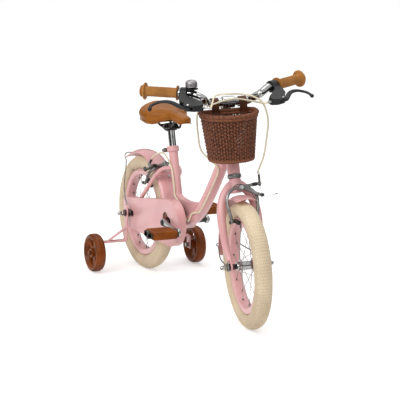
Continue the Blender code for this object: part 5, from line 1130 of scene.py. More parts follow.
def pedal_shape(centre, side):
    shape = bmesh.new()
    block(shape, centre, (PEDAL_SIZE.x, PEDAL_SIZE.y - 2 * PEDAL_CAP, PEDAL_SIZE.z - 0.0016), None, 0.0042)
    shape = bored(shape, (centre - Y * side * 0.007, Y * side * (PEDAL_SIZE.y / 2 + 0.003), 0.0102, 32))
    profile = [(0.0052, -PEDAL_CAP / 2), (0.0120, -PEDAL_CAP / 2), (0.0128, 0.0), (0.0120, PEDAL_CAP / 2),
               (0.0052, PEDAL_CAP / 2)]
    for end, _ in SIDES:
        at = centre + Y * end * (PEDAL_SIZE.y - PEDAL_CAP) / 2
        turned(shape, profile, at, Y, 40, 1)
        if end == side:
            block(shape, at, (PEDAL_SIZE.x * 0.90, PEDAL_CAP, PEDAL_SIZE.z * 0.62), None, 0.0024, 1)
        for front in (-1, 1):
            cheek = at + X * front * PEDAL_SIZE.x * 0.31
            block(shape, cheek, (PEDAL_SIZE.x * 0.30, PEDAL_CAP, PEDAL_SIZE.z * 0.62), None, 0.0024, 1)
    rib = (0.0026, PEDAL_SIZE.y - 2 * PEDAL_CAP - 0.010, 0.0024)
    for level in (-1, 1):
        for count in range(-3, 4):
            at = centre + X * count * 0.0072 + Z * level * (PEDAL_SIZE.z / 2 - 0.0012)
            block(shape, at, rib, None, 0.0007)
    return shape


def drive_side(side, label):
    reach = heading(CRANK_DROP) * -side
    piece(f"crank_arm_{label}", crank_shape(side, reach), [chrome, black_plastic, steel], "crank",
          [f"crank_{label}"], 32)
    centre = BB + Y * side * (CRANK_Y + CRANK_FACE + 0.004 + PEDAL_SIZE.y / 2) + reach * CRANK_LENGTH
    piece(f"pedal_block_{label}", pedal_shape(centre, side), [pedal_plastic, cap_plastic], f"pedal_{label}",
          [f"pedal_{label}"], 32)


both_sides(drive_side)
axle = [(0, -0.0700), (0.0085, -0.0700), (0.0085, -0.0641), (0.0095, -0.0641), (0.0095, -0.0310),
        (0.0085, -0.0300), (0.0085, 0.0700), (0, 0.0700)]
piece("crank_axle", ring_of(axle, BB, 40), dark_steel, "crank", ["crank_spindle"])

# %% [markdown]
# Fenders are rolled from sheet. Their section is a shallow arch whose edges curl into a small round bead, and
# their corners are rounded off. The section is swept about the axle, and narrows at both ends.
# A wire stay runs from the axle over each fender and ends in a flat eye on each side.

# %% Roll the fenders and bend their stays
FENDER_RADIUS = WHEEL_RADIUS + 0.017
FENDER_HALF = 0.029
FENDER_WALL = 0.0018
FENDER_CORNER = 0.014
CURL = 0.016
ARCH = 24


def fender_line(width, wall):
    """The arch from edge to edge, as (across, drop)."""
    shares = [index / ARCH * 2 - 1 for index in range(ARCH + 1)]
    return [(share * width, wall + CURL * (1 - math.sqrt(max(0.0, 1 - (share * width / FENDER_HALF * 0.97) ** 2))))
            for share in shares]


def fender_shape(centre, start, end, steps=72):
    shape = bmesh.new()
    rings = []
    corner = FENDER_CORNER / FENDER_RADIUS
    a0, a1 = math.radians(start), math.radians(end)
    for step in range(steps + 1):
        angle = a0 + (a1 - a0) * (0.5 - 0.5 * math.cos(math.pi * step / steps))
        edge = min(angle - a0, a1 - angle)
        narrow = 0.012 * (1 - math.sqrt(max(0.0, 1 - max(0.0, 1 - edge / corner) ** 2)))
        width = FENDER_HALF - 0.0010 - narrow
        way = Vector((math.cos(angle), 0, math.sin(angle)))
        line = fender_line(width, 0.0) + fender_line(width - 0.0004, FENDER_WALL)[::-1]
        rings.append([centre + way * (FENDER_RADIUS - drop) + Y * across for across, drop in line])
    skin(shape, rings)
    for index in (0, ARCH):
        tube(shape, [ring[index] for ring in rings], 0.0013, 10)
    return shape


def wire_shape(centre, angle, tip_y):
    """A stay from eye to eye over the fender, at an angle above straight ahead."""
    out, side_y = heading(angle), FENDER_HALF + 0.0055
    half = [centre + out * reach + Y * y for reach, y in (
        (FENDER_RADIUS + 0.0018, 0), (FENDER_RADIUS + 0.0026, FENDER_HALF - 0.004),
        (FENDER_RADIUS - 0.009, side_y), (FENDER_RADIUS - 0.030, side_y), (0.075, tip_y - 0.001),
        (0.0125, tip_y))]
    shape = bmesh.new()
    tube(shape, smooth_route(mirrored(half), 90), 0.0017, 12)
    eye = [(0.0090, -0.00125), (0.0126, -0.00125), (0.0130, -0.0009), (0.0130, 0.0009), (0.0126, 0.00125),
           (0.0090, 0.00125)]
    for side, _ in SIDES:
        turned(shape, eye, centre + Y * side * (tip_y - 0.00005), Y, 40)
    return shape


def fender(label, body, centre, ends, steps, stay_angle, tip_y):
    strip = fender_shape(centre, *ends, steps)
    piece(f"{label}_fender_strip", strip, enamel, body, [f"{label}_fender"], 50)
    wire = wire_shape(centre, stay_angle, tip_y)
    piece(f"{label}_stay_wire", wire, steel, body, [f"{label}_fender_stay"])


fender("rear", "frame", REAR, (18, 128), 72, 122, 0.0605)
fender("front", "steering", FRONT, (84, 186), 84, 176, 0.0555)

# %% [markdown]
# A bolted axle has a thread, cone and lock nuts inside the dropouts, washers and domed nuts outside.
# The domed nuts are a six-sided base under a round cap, and the cap is what shows at both ends of the bike.

# %% Turn the axles and their domed nuts
WASHER_RADIUS = 0.010
THREADS = 90
REAR_BANDS = ((0.008, 0.04095, 0.04245), (0.008, 0.04755, 0.0530), (0.008, 0.0535, 0.0588),
              (WASHER_RADIUS, 0.0620, 0.0662), (WASHER_RADIUS, 0.0708, 0.0748))
FRONT_BANDS = ((0.008, 0.0306, 0.0434), (WASHER_RADIUS, 0.0486, 0.0504), (WASHER_RADIUS, 0.0510, 0.0541))


def domed_nut(shape, centre, out, tip):
    base, cap = tip - 0.022, 0.0064
    low, rise = base + 0.0125, tip - base - 0.0125
    hexagon(shape, centre + out * base, centre + out * (base + 0.0085), 0.0138, 1)
    dome = [(cap * math.cos(a), low + rise * math.sin(a)) for a in [math.radians(15 * k) for k in range(1, 6)]]
    profile = [(0, base + 0.008), (cap, base + 0.008), (cap, low)] + dome + [(0, tip)]
    turned(shape, profile, centre, out, 40, 1)


def axle_shape(centre, bands, tip):
    """The thread with nuts and washers, each a band of (radius, start, end) on both sides."""
    shape = bmesh.new()
    for side, _ in SIDES:
        out = Y * side
        for radius, start, end in bands:
            if radius == WASHER_RADIUS:
                rod(shape, centre + out * start, centre + out * end, radius * 2, 40, 0.0006, 2)
            else:
                hexagon(shape, centre + out * start, centre + out * end, radius * 2 * 0.866, 2)
        domed_nut(shape, centre, out, tip)
    thread = [(0.00475 - 0.0004 * (index % 2), (index / THREADS - 1) * (tip - 0.021))
              for index in range(2 * THREADS + 1)]
    turned(shape, [(0, thread[0][1])] + thread + [(0, thread[-1][1])], centre, Y, 20)
    return shape


for label, body, centre, bands, tip in (("rear", "frame", REAR, REAR_BANDS, 0.0979),
                                        ("front", "steering", FRONT, FRONT_BANDS, 0.0774)):
    piece(f"{label}_axle_set", axle_shape(centre, bands, tip), [steel, chrome, dark_steel], body,
          [f"{label}_axle"], 32)

# %% [markdown]
# A training wheel hangs on a bar of flat steel, bent out over the ground and held to the rear axle, with a thin
# brace in the bend. The wheel is one plastic moulding: a hub, five spokes, a lipped rim and a ribbed tread.
# The ribs repeat round its axle, so they come from the first tree.

# %% Bend the brackets and mould the training wheels
TRAINER_Y, TRAINER_RADIUS, TRAINER_WIDTH, PLATE_Y = 0.1702, 0.059, 0.031, 0.0685
TRAINER_TREAD, TRAINER_HALF = TRAINER_RADIUS - 0.0010, TRAINER_WIDTH / 2
TRAINER_RIBS = 72


def bracket_shape(side):
    inner, outer = PLATE_Y - 0.002, PLATE_Y + 0.002
    wheel_side, end = TRAINER_Y - TRAINER_HALF - 0.0035, TRAINER_Y + TRAINER_HALF
    arm_top = TRAINER_RADIUS + 0.033
    arm_low, foot, top = arm_top - 0.004, TRAINER_RADIUS - 0.011, REAR.z + 0.025
    leg = [(inner, top), (outer, top), (outer, arm_top + 0.003), (outer + 0.003, arm_top),
           (wheel_side - 0.003, arm_top), (wheel_side, arm_top - 0.003), (wheel_side, foot),
           (wheel_side - 0.004, foot), (wheel_side - 0.004, arm_low - 0.001), (wheel_side - 0.005, arm_low),
           (inner + 0.003, arm_low), (inner, arm_low + 0.003)]
    brace = [(outer - 0.002, arm_top + 0.040), (outer - 0.002, arm_top + 0.035),
             (wheel_side - 0.024, arm_top - 0.002), (wheel_side - 0.018, arm_top - 0.002)]
    out, hub = Y * side, Z * TRAINER_RADIUS
    shape = bmesh.new()
    plate(shape, [(side * y, z) for y, z in leg], Vector(), X, Y, 0.023, 0.0011)
    shape = bored(shape, (REAR + out * PLATE_Y, out * 0.012, DROPOUT_BORE, 32))
    plate(shape, [(side * y, z) for y, z in brace], Vector(), X, Y, 0.010, 0.0008)
    rod(shape, hub + out * (wheel_side - 0.002), hub + out * (end + 0.004), 0.009, 24, finish=1)
    hexagon(shape, hub + out * (wheel_side - 0.013), hub + out * (wheel_side - 0.002), 0.0130, 1)
    rod(shape, hub + out * (end + 0.0004), hub + out * (end + 0.0022), 0.0150, 32, finish=2)
    hexagon(shape, hub + out * (end + 0.0020), hub + out * (end + 0.0060), 0.0130, 2)
    return shape


def trainer_shape():
    """The moulding about Z, its tread left smooth."""
    tread, half, web = TRAINER_TREAD, TRAINER_HALF, 0.005
    left = [(0.0048, half - 0.001), (0.0125, half - 0.001), (0.0140, half - 0.0025), (0.0142, web + 0.001),
            (0.0155, web), (tread - 0.0160, web), (tread - 0.0148, web + 0.001), (tread - 0.0120, half - 0.001),
            (tread - 0.0110, half), (tread - 0.0070, half), (tread - 0.0056, half - 0.0006),
            (tread - 0.0012, half - 0.0056), (tread, half - 0.0075), (tread, 0.0)]
    window = [(0.0175, 0.0050), (0.0175, -0.0050), (0.0215, -0.0090), (0.0350, -0.0145), (0.0385, -0.0115),
              (0.0385, 0.0115), (0.0350, 0.0145), (0.0215, 0.0090)]
    shape, holes = bmesh.new(), bmesh.new()
    turned(shape, left + [(r, -h) for r, h in left[-2::-1]], Vector(), Z, 80)
    for index in range(5):
        angle = math.tau * (index + 0.5) / 5
        way = Vector((math.cos(angle), math.sin(angle), 0))
        outline = [way * r + Vector((-way.y, way.x, 0)) * w for r, w in window]
        skin(holes, [[point + Z * level for point in outline] for level in (-half, half)])
    return softened(cut(shape, holes), 0.0008, 2, 40)


def rib_item():
    """One rib across the tread and down over both shoulders."""
    shape = bmesh.new()
    line = [(0.0044, 0.0012 - TRAINER_HALF), (0.0011, 0.0064 - TRAINER_HALF), (0.0004, 0.0),
            (0.0011, TRAINER_HALF - 0.0064), (0.0044, TRAINER_HALF - 0.0012)]
    tube(shape, [Vector((TRAINER_TREAD - drop, 0, height)) for drop, height in line], 0.0010, 6, side=Y)
    return shape


def trainer(side, label):
    turn, body = on_axle(Vector((0, side * TRAINER_Y, TRAINER_RADIUS))), f"trainer_wheel_{label}"
    piece(f"trainer_bar_{label}", bracket_shape(side), [enamel, steel, trainer_plastic], "frame",
          [f"trainer_bracket_{label}"], 32)
    piece(f"trainer_moulding_{label}", trainer_shape(), trainer_plastic, body, [body], 32, turn)
    ribs = repeated(rib_item(), TRAINER_RIBS, trainer_plastic)
    piece(f"trainer_ribs_{label}", ribs, trainer_plastic, body, (), 60, turn)


both_sides(trainer)

# %% [markdown]
# The fork has a steel crown and two legs that bow out from it and taper to the front axle's dropouts.
# Crown and legs are melted together as a weld would join them. The steerer and the dropouts are separate shells.

# %% Build the fork
BRAKE_HEIGHT = WHEEL_RADIUS + 0.0335
LEG_SPREAD = 0.046
LEG_STEPS = 50
LEG = ((FORK_LENGTH - 0.014, 0, 0.004), (FORK_LENGTH - 0.021, 0, 0.018), (FORK_LENGTH - 0.038, 0, 0.0325),
       (FORK_LENGTH - 0.058, 0, 0.0428), (FORK_LENGTH - 0.078, 0, 0.0484), (FORK_LENGTH - 0.100, 0, 0.0514),
       (0.110, 0, 0.0520), (0.060, 0, 0.0496), (0.030, 0.0066, 0.0472), (0.016, 0.0096, LEG_SPREAD))


def fork_shape():
    shape = bmesh.new()
    rod(shape, steer_point(FORK_LENGTH - 0.040), steer_point(FORK_LENGTH), 0.034, 64, 0.0012)
    radii = [0.0125 * (1 - 0.32 * max(0.0, index / LEG_STEPS * 2 - 1)) for index in range(LEG_STEPS + 1)]
    for side, _ in SIDES:
        points = [steer_point(up, ahead, side * y) for up, ahead, y in LEG]
        tube(shape, smooth_route(points, LEG_STEPS + 1), radii, 40)
    shape = bored(melted(shape, 0.0015), (steer_point(BRAKE_HEIGHT), STEER_AHEAD * 0.05, 0.0066, 24), edge=0.0004)
    steerer = [(0.0114, FORK_LENGTH - 0.001), (0.0127, FORK_LENGTH - 0.001), (0.0127, STEM_TOP - 0.002),
               (0.0114, STEM_TOP - 0.002)]
    turned(shape, steerer, AXIS_FOOT, STEER_UP, 48)
    outline = arc((0, 0), 0.014, 180, 360, 24) + [(0.0105, 0.012), (0.0075, 0.032), (-0.0075, 0.032),
                                                  (-0.0105, 0.012)]
    added(shape, dropout_plates(outline, FRONT, LEG_SPREAD, STEER_AHEAD))
    return shape


piece("fork_weldment", fork_shape(), enamel, "steering", ["fork"], 60)

# %% [markdown]
# The stem is a chromed quill with a short neck and a clamp that grips the bar, and a recessed bolt on top.
# The bar is one bent tube that rises and sweeps back to the grips. It is swept along the model's own route.

# %% Bend the bar and turn the stem
BAR_RADIUS = 0.0111
BAR_CENTRE = steer_point(0.453, 0.033)
GRIP_LENGTH = 0.098


def grip_frame(side):
    """The grip's inner end, its direction outwards and the direction from it to the lever."""
    sweep, climb = math.radians(29.9), math.radians(2.5)
    along = Vector((-math.sin(sweep) * math.cos(climb), side * math.cos(sweep) * math.cos(climb), math.sin(climb)))
    ahead = heading(-22)
    start = BAR_CENTRE + Vector((0.0005, side * 0.1414, 0.0365))
    return start, along, (ahead - along * ahead.dot(along)).normalized()


def bar_points(count=90):
    start, along, _ = grip_frame(1)
    half = [BAR_CENTRE, BAR_CENTRE + Y * 0.026, BAR_CENTRE + Y * 0.052, BAR_CENTRE + Vector((0.003, 0.064, 0.004)),
            start - along * 0.066 - Z * 0.011 - Y * 0.001, start - along * 0.038, start - along * 0.022,
            start + along * (GRIP_LENGTH - 0.012)]
    return mirrored(smooth_route(half, count))


def stem_shape():
    shape = bmesh.new()
    rod(shape, steer_point(0.432), steer_point(0.461), 0.030, 56, 0.0030)
    rod(shape, steer_point(0.448, -0.004), BAR_CENTRE, 0.024, 40)
    rod(shape, BAR_CENTRE - Y * 0.018, BAR_CENTRE + Y * 0.018, 0.033, 56, 0.0020)
    recess = (steer_point(0.4635), STEER_UP * 0.0065, 0.012, 32)
    shape = bored(melted(shape, 0.0010, 8), (BAR_CENTRE, Y * 0.05, 0.0232, 56), recess, edge=0.0004)
    rod(shape, steer_point(HEAD_TOP - 0.035), steer_point(0.440), 0.0222, 48)
    hexagon(shape, steer_point(0.4565), steer_point(0.4606), 0.0092, 1)
    pinch = BAR_CENTRE - Z * 0.0135 - X * 0.003
    hexagon(shape, pinch - Y * 0.0115, pinch - Y * 0.0085, 0.0070, 1)
    return shape


bar = bmesh.new()
tube(bar, bar_points(), BAR_RADIUS, 40)
piece("bar_tube", bar, chrome, "steering", ["handlebar"], 60)
piece("stem_quill", stem_shape(), [chrome, dark_steel], "steering", ["stem"], 60)

# %% [markdown]
# A child's grip is soft rubber with fine ridges along it, a bulb at its end for safety, and rings round the bulb.
# Its profile is turned, and each ring of points is fluted by a small cosine, which needs no Boolean.

# %% Turn the grips
FLUTES, FLUTE_DEPTH, GRIP_STEPS = 36, 0.00035, 144
GRIP_BODY, GRIP_FLANGE, GRIP_DOME = 0.01375, 0.0238, 0.0158


def grip_shape(side):
    """The sleeve as rings of (radius, height, fluted), from its bore over the flange and the bulb."""
    start, along, _ = grip_frame(side)
    place = matrix_for(start, along)
    body, flange, dome, length = GRIP_BODY, GRIP_FLANGE, GRIP_DOME, GRIP_LENGTH
    bore, floor = BAR_RADIUS + 0.0006, length - 0.0115
    line = [(bore, floor, 0), (bore, 0.0, 0), (body + 0.0030, 0.0, 0), (0.0200, 0.0, 0), (0.0208, 0.0006, 0),
            (0.0208, 0.0022, 0), (0.0200, 0.0028, 0), (body + 0.0010, 0.0032, 0), (body, 0.0046, 1),
            (body + 0.0004, 0.030, 1), (body + 0.0002, length - 0.018, 1), (body + 0.0004, length - 0.0110, 0),
            (body + 0.0016, length - 0.0078, 0), (flange - 0.0016, length - 0.0068, 0),
            (flange, length - 0.0056, 0), (flange, length - 0.0036, 0), (flange - 0.0030, length - 0.0010, 0),
            (dome + 0.0010, length + 0.0002, 0)]
    for ring in range(3):
        at = length + 0.0004 + ring * 0.0022
        line += [(dome, at, 0), (dome, at + 0.0012, 0), (dome - 0.0010, at + 0.0015, 0),
                 (dome - 0.0010, at + 0.0019, 0)]
    line += [(dome * share, length + rise, 0) for share, rise in
             ((0.90, 0.0072), (0.78, 0.0086), (0.48, 0.0096), (0.22, 0.0099))]
    rings = [[place @ Vector((0, 0, floor))]]
    for radius, height, fluted in line:
        ring = []
        for a in [math.tau * k / GRIP_STEPS for k in range(GRIP_STEPS)]:
            r = radius - FLUTE_DEPTH * fluted * (1 - math.cos(a * FLUTES))
            ring.append(place @ Vector((r * math.cos(a), r * math.sin(a), height)))
        rings.append(ring)
    rings.append([place @ Vector((0, 0, length + 0.0100))])
    shape = bmesh.new()
    skin(shape, rings)
    return shape


for side, label in SIDES:
    piece(f"grip_sleeve_{label}", grip_shape(side), grip_rubber, "steering", [f"grip_{label}"], 50)

# %% [markdown]
# A brake lever is a curved blade that ends in a ball, on a pivot screw in a bracket clamped to the bar.
# The cable leaves the bracket through a knurled steel adjuster. The blade is flatter than it is wide, so it is
# a tube narrowed across one direction.

# %% Make the levers and their brackets
LEVER_ROUTE = ((-0.0450, 0.0660), (-0.0330, 0.0685), (-0.0220, 0.0630), (-0.0060, 0.0530), (0.0100, 0.0455),
               (0.0260, 0.0440), (0.0400, 0.0480), (0.0530, 0.0590), (0.0590, 0.0700), (0.0580, 0.0840))
BRACKET = ((-0.0285, 0.0), (-0.0060, 0.0), (-0.0080, 0.0250), (-0.0170, 0.0500), (-0.0330, 0.0600),
           (-0.0330, 0.0708), (-0.0640, 0.0712), (-0.0860, 0.0630), (-0.0840, 0.0480), (-0.0580, 0.0350),
           (-0.0290, 0.0200))
SLOT = ((-0.0330, 0.0460), (-0.0200, 0.0340), (-0.0020, 0.0300), (-0.0020, 0.0900), (-0.0450, 0.0900),
        (-0.0590, 0.0740), (-0.0600, 0.0560), (-0.0500, 0.0500))


def lever_point(side, along_out):
    start, along, reach = grip_frame(side)
    return start + along * along_out[0] + reach * along_out[1]


def rounded(outline, radius, steps=4):
    """The outline with its corners rounded off."""
    made = []
    count = len(outline)
    for index, corner in enumerate(outline):
        corner = Vector(corner).to_2d()
        back = Vector(outline[index - 1]).to_2d() - corner
        ahead = Vector(outline[(index + 1) % count]).to_2d() - corner
        reach = min(radius, back.length * 0.45, ahead.length * 0.45)
        start, end = corner + back.normalized() * reach, corner + ahead.normalized() * reach
        for s in [step / steps for step in range(steps + 1)]:
            made.append(tuple(start * (1 - s) ** 2 + corner * 2 * s * (1 - s) + end * s**2))
    return made


def bracket_and_clamp(side):
    start, along, reach = grip_frame(side)
    normal = along.cross(reach)
    shape, slot = bmesh.new(), bmesh.new()
    plate(shape, rounded(BRACKET, 0.008), start, normal, along, 0.0196)
    rod(shape, start - along * 0.0278, start - along * 0.0072, 0.0336, 56, 0.0010)
    plate(slot, SLOT, start, normal, along, 0.0096)
    shape = cut(melted(shape, 0.0009, 5), slot)
    shape = bored(shape, (start - along * 0.0205, along * 0.0245, 0.0232, 48))
    low, high = lever_point(side, (-0.0790, 0.0569)), lever_point(side, (-0.0960, 0.0585))
    run = high - low
    profile = [(0, 0)]
    for at in [0.0014 * index for index in range(7)]:
        profile += [(0.0040, 0.0045 + at), (0.0040, 0.0052 + at), (0.0035, 0.0054 + at)]
    profile += [(0.0034, run.length - 0.0004), (0.0030, run.length), (0, run.length)]
    turned(shape, profile, low, run, 32, 1)
    rod(shape, low + run * 0.12, low + run * 0.24, 0.0086, 32, 0.0006, 1)
    pivot = lever_point(side, LEVER_ROUTE[0])
    rod(shape, pivot - normal * 0.0106, pivot + normal * 0.0106, 0.0064, 32, 0.0006, 1)
    screw = start - along * 0.0175
    rod(shape, screw - reach * 0.0185, screw - reach * 0.0150, 0.0060, 24, 0.0006, 1)
    return shape


def lever_shape(side):
    _, along, reach = grip_frame(side)
    normal = along.cross(reach)
    points = smooth_route([lever_point(side, point) for point in LEVER_ROUTE], 60)
    radii = [0.0056 + 0.0014 * math.sin(math.pi * min(1.0, index / 40)) - 0.0008 * index / 59
             for index in range(60)]
    shape = bmesh.new()
    tube(shape, points, radii, 28, 0.66, along.cross(normal))
    pivot = lever_point(side, LEVER_ROUTE[0])
    rod(shape, pivot - normal * 0.0041, pivot + normal * 0.0041, 0.019, 40, 0.0010)
    ball = [(0, -0.0056)] + arc((0, 0), 0.0056, -75, 75, 10) + [(0, 0.0056)]
    turned(shape, ball, points[-1] + reach * 0.0004, reach, 32)
    return shape


def brake_hand(side, label):
    piece(f"lever_clamp_{label}", bracket_and_clamp(side), [black_plastic, bright_steel], "steering",
          [f"lever_bracket_{label}"], 40)
    body = f"brake_lever_{label}"
    piece(f"lever_blade_{label}", lever_shape(side), black_plastic, body, [body], 50)


both_sides(brake_hand)

# %% [markdown]
# A bicycle bell is a thin domed cup on a pillar, held by one screw, with a thumb striker under its rim.
# The dome is one turned profile with a rolled rim. The band, the pillar and the striker are black.

# %% Spin the bell
BELL_Y = -0.1080
BELL_RADIUS, BELL_HEIGHT, BELL_WALL = 0.0164, 0.0196, 0.0014
THUMB = Vector((-0.8, 0.6, 0))


def bell_origin():
    for first, second in zip(bar_points(), bar_points()[1:]):
        if first.y <= BELL_Y <= second.y:
            return first.lerp(second, (BELL_Y - first.y) / (second.y - first.y))


def cup_shape(base):
    radius, height, wall = BELL_RADIUS, BELL_HEIGHT, BELL_WALL
    arch = [(radius * math.cos(a) ** 0.62, height * 0.44 + height * 0.56 * math.sin(a)) for a in
            [math.radians(6 * k) for k in range(15)]]
    inner = [(max(r - wall, 0.0012), h - wall * 0.9) for r, h in arch[::-1]]
    profile = [(0, height - wall)] + inner + [(radius - wall, 0.0), (radius - 0.0003, 0.0),
                                              (radius + 0.0003, 0.0008), (radius, 0.0016), (radius, height * 0.42)]
    shape = bmesh.new()
    turned(shape, profile + arch[1:] + [(0, height + 0.0003)], base + Z * 0.0192, Z, 64)
    return shape


def stand_shape(base, pivot):
    band, bar, shape = bmesh.new(), bmesh.new(), bmesh.new()
    rod(band, base - Y * 0.005, base + Y * 0.005, 0.0292, 48, 0.0010)
    tube(bar, [point for point in bar_points() if abs(point.y - base.y) < 0.035], BAR_RADIUS + 0.0006, 40)
    added(shape, cut(band, bar))
    pillar = [(0, 0.0114), (0.0100, 0.0120), (0.0180, 0.0126), (0.0186, 0.0132), (0.0186, 0.0144),
              (0.0180, 0.0150), (0.0044, 0.0152), (0.0026, 0.0156), (0.0026, 0.0365), (0, 0.0365)]
    turned(shape, pillar, base, Z, 48)
    block(shape, base + THUMB * 0.0059 + Z * 0.0150, (0.0185, 0.0085, 0.002), matrix_for(Vector(), Z, THUMB),
          0.0006)
    rod(shape, pivot - Z * 0.001, pivot + Z * 0.0048, 0.0030, 20)
    return shape


def striker_shape(pivot):
    shape = bmesh.new()
    turned(shape, [(0.0018, 0.0003), (0.0035, 0.0003), (0.0035, 0.0026), (0.0018, 0.0026)], pivot, Z, 28)
    tube(shape, [pivot + Z * 0.0014 + THUMB * s for s in (0.0030, 0.0080, 0.0140, 0.0190)], 0.0012, 16)
    tip = pivot + THUMB * 0.0190
    rod(shape, tip - Z * 0.0002, tip + Z * 0.0060, 0.0065, 28, 0.0012)
    return shape


base = bell_origin()
pivot = base + THUMB * 0.0105 + Z * 0.0160
piece("bell_cup", cup_shape(base), bell_metal, "steering", ["bell_dome"], 50)
piece("bell_mount", stand_shape(base, pivot), black_plastic, "steering", ["bell_base"])
piece("bell_thumb_striker", striker_shape(pivot), black_plastic, "bell_striker", ["bell_striker"])

# %% [markdown]
# A side-pull brake has two arms on one bolt, one over the other. The cable's housing pushes on the barrel of one,
# and its inner wire pulls the pinch bolt of the other, so both pads close on the rim. A bent spring opens them.
# The arms follow the solid model's routes, with a flattened section, and each carries a shoe on a threaded stud.

# %% Lay out the brakes
LAYER = 0.0048
BOW = 0.044
PINCH = (0.0565, -0.026)
RIM_TRACK = BEAD - 0.00275


class Caliper:
    """A brake's pivot, the bolt's direction, the way down to the rim and the cable's side."""

    def __init__(self, pivot, ahead, down, side, axle):
        self.pivot, self.ahead, self.down, self.side = pivot, ahead, down, side
        offset = (pivot - axle).dot(ahead)
        drop = math.sqrt(RIM_TRACK**2 - offset**2)
        self.reach = (axle - pivot).dot(down) - drop
        self.tangent = Y.cross(ahead * offset - down * drop)

    def point(self, across, up, layer=0.0):
        return self.pivot + Y * self.side * across - self.down * up + self.ahead * layer

    def route(self, layer, count, *places):
        """A smooth route through places of (across, up), in one layer."""
        return smooth_route([self.point(*place, layer) for place in places], count)

    def arm(self, shape, layer, *routes):
        """Flat arms along the routes, clear of the bolt's hole, and the eye round the bolt."""
        hub, thick = self.point(0, 0, layer), LAYER - 0.00015
        for route in routes:
            clear = [point for point in route if (point - hub).length > 0.0060]
            tube(shape, clear, 0.0044, 20, 0.86, self.ahead.cross(Y))
        eye = [(0.0034, -thick), (0.0072, -thick), (0.0080, -thick + 0.0008), (0.0080, thick - 0.0008),
               (0.0072, thick), (0.0034, thick)]
        turned(shape, eye, hub, self.ahead, 40)

    def arm_down(self, sign, layer):
        return self.route(layer, 44, *[(sign * across, up) for across, up in (
            (0, 0), (0.018, 0.000), (0.032, -0.008), (BOW - 0.001, -0.024), (BOW, -0.045), (BOW - 0.003, -0.066),
            (BOW - 0.006, -self.reach))])

    def barrel(self):
        """The two ends of the barrel that the cable's cover pushes on."""
        return self.point(0.0535, 0.000, LAYER - 0.001), self.point(0.0545, 0.030, LAYER - 0.001)


front_caliper = Caliper(steer_point(BRAKE_HEIGHT, 0.050), STEER_AHEAD, -STEER_UP, 1, FRONT)
rear_caliper = Caliper(BRIDGE + STAY_BEHIND * 0.030, STAY_BEHIND, -STAY_UP, -1, REAR)
print("Reach", [round(caliper.reach * 1000, 1) for caliper in (front_caliper, rear_caliper)], "mm")

# %% [markdown]
# Each arm is a flattened tube that stops short of the bolt, and a turned eye closes it there. The barrel's lug is
# bored first, so that the inner wire runs free in it.

# %% Forge the brake calipers
def add_shoe(shape, caliper, sign, layer):
    """The rubber block in its holder, its stud and nut."""
    def at(across, layer=0.0):
        return caliper.point(sign * across, -caliper.reach, layer)

    turn = matrix_for(Vector(), Y, caliper.tangent)
    block(shape, at(0.0222), (0.042, 0.009, 0.0084), turn, 0.0012, 1)
    block(shape, at(0.0264), (0.036, 0.0094, 0.0034), turn, 0.0010, 2)
    rod(shape, at(0.027), at(BOW + 0.0015), 0.0058, 24, finish=2)
    rod(shape, at(BOW - 0.006, layer), at(BOW - 0.006), 0.0084, 24, 0.0010)
    hexagon(shape, at(BOW - 0.0028), at(BOW + 0.0008), 0.0096, 2)


def pinch_arm(caliper):
    """The near arm: down to its shoe, and up to the bolt that pinches the inner wire."""
    shape, ahead = bmesh.new(), caliper.ahead
    up = caliper.route(LAYER, 30, PINCH, (0.040, -0.019), (0.018, -0.009), (0, 0))
    caliper.arm(shape, LAYER, up, caliper.arm_down(-1, LAYER))
    bolt = caliper.point(*PINCH, LAYER)
    hexagon(shape, bolt + ahead * 0.0022, bolt + ahead * 0.0078, 0.0086, 2)
    rod(shape, bolt - ahead * 0.0048, bolt + ahead * 0.0024, 0.0094, 28, 0.0008, 2)
    add_shoe(shape, caliper, -1, LAYER)
    return shape


def barrel_arm(caliper):
    """The far arm: down to its shoe, and out to a lug that holds the bored barrel."""
    far, shape = -LAYER, bmesh.new()
    low, high = caliper.barrel()
    run = high - low
    rod(shape, caliper.point(0.0537, 0.0068, far - 0.0031), caliper.point(0.0537, 0.0068, LAYER + 0.0024), 0.0096,
        32, 0.001)
    shape = bored(shape, (low + run * 0.35, run * 0.65, 0.0046, 24))
    out = caliper.route(far, 30, (0.001, 0.0022), (0.022, 0.0046), (0.040, 0.0066), (0.0535, 0.0080))
    caliper.arm(shape, far, caliper.arm_down(1, far), out)
    rod(shape, caliper.point(0.0340, 0.0059, far), caliper.point(0.0480, 0.0074, far), 0.0104, 28, 0.0008, 1)
    profile = [(0.0023, 0), (0.0033, 0), (0.0035, 0.0006 / run.length), (0.0035, 0.42), (0.0029, 0.44),
               (0.0029, 0.56), (0.0035, 0.58)]
    for at in [0.60 + 0.07 * index for index in range(5)]:
        profile += [(0.0035, at), (0.0032, at + 0.02), (0.0032, at + 0.04), (0.0035, at + 0.06)]
    profile += [(0.0033, 1), (0.0023, 1)]
    turned(shape, [(radius, share * run.length) for radius, share in profile], low, run, 32, 2)
    add_shoe(shape, caliper, 1, far)
    return shape


def centre_bolt(caliper, back):
    front = 2 * LAYER
    profile = [(0, -back), (0.0046, -back), (0.0055, -back + 0.0008), (0.0055, -back + 0.0050),
               (0.003, -back + 0.0050), (0.003, -front - 0.0060), (0.0060, -front - 0.0060), (0.0060, -front),
               (0.003, -front), (0.003, front), (0.0058, front), (0.0058, front + 0.0006),
               (0.0030, front + 0.0008), (0.0028, front + 0.0034), (0, front + 0.0035)]
    shape = bmesh.new()
    turned(shape, profile, caliper.pivot, caliper.ahead, 36)
    hexagon(shape, caliper.point(0, 0, front + 0.0005), caliper.point(0, 0, front + 0.0028), 0.0094)
    return shape


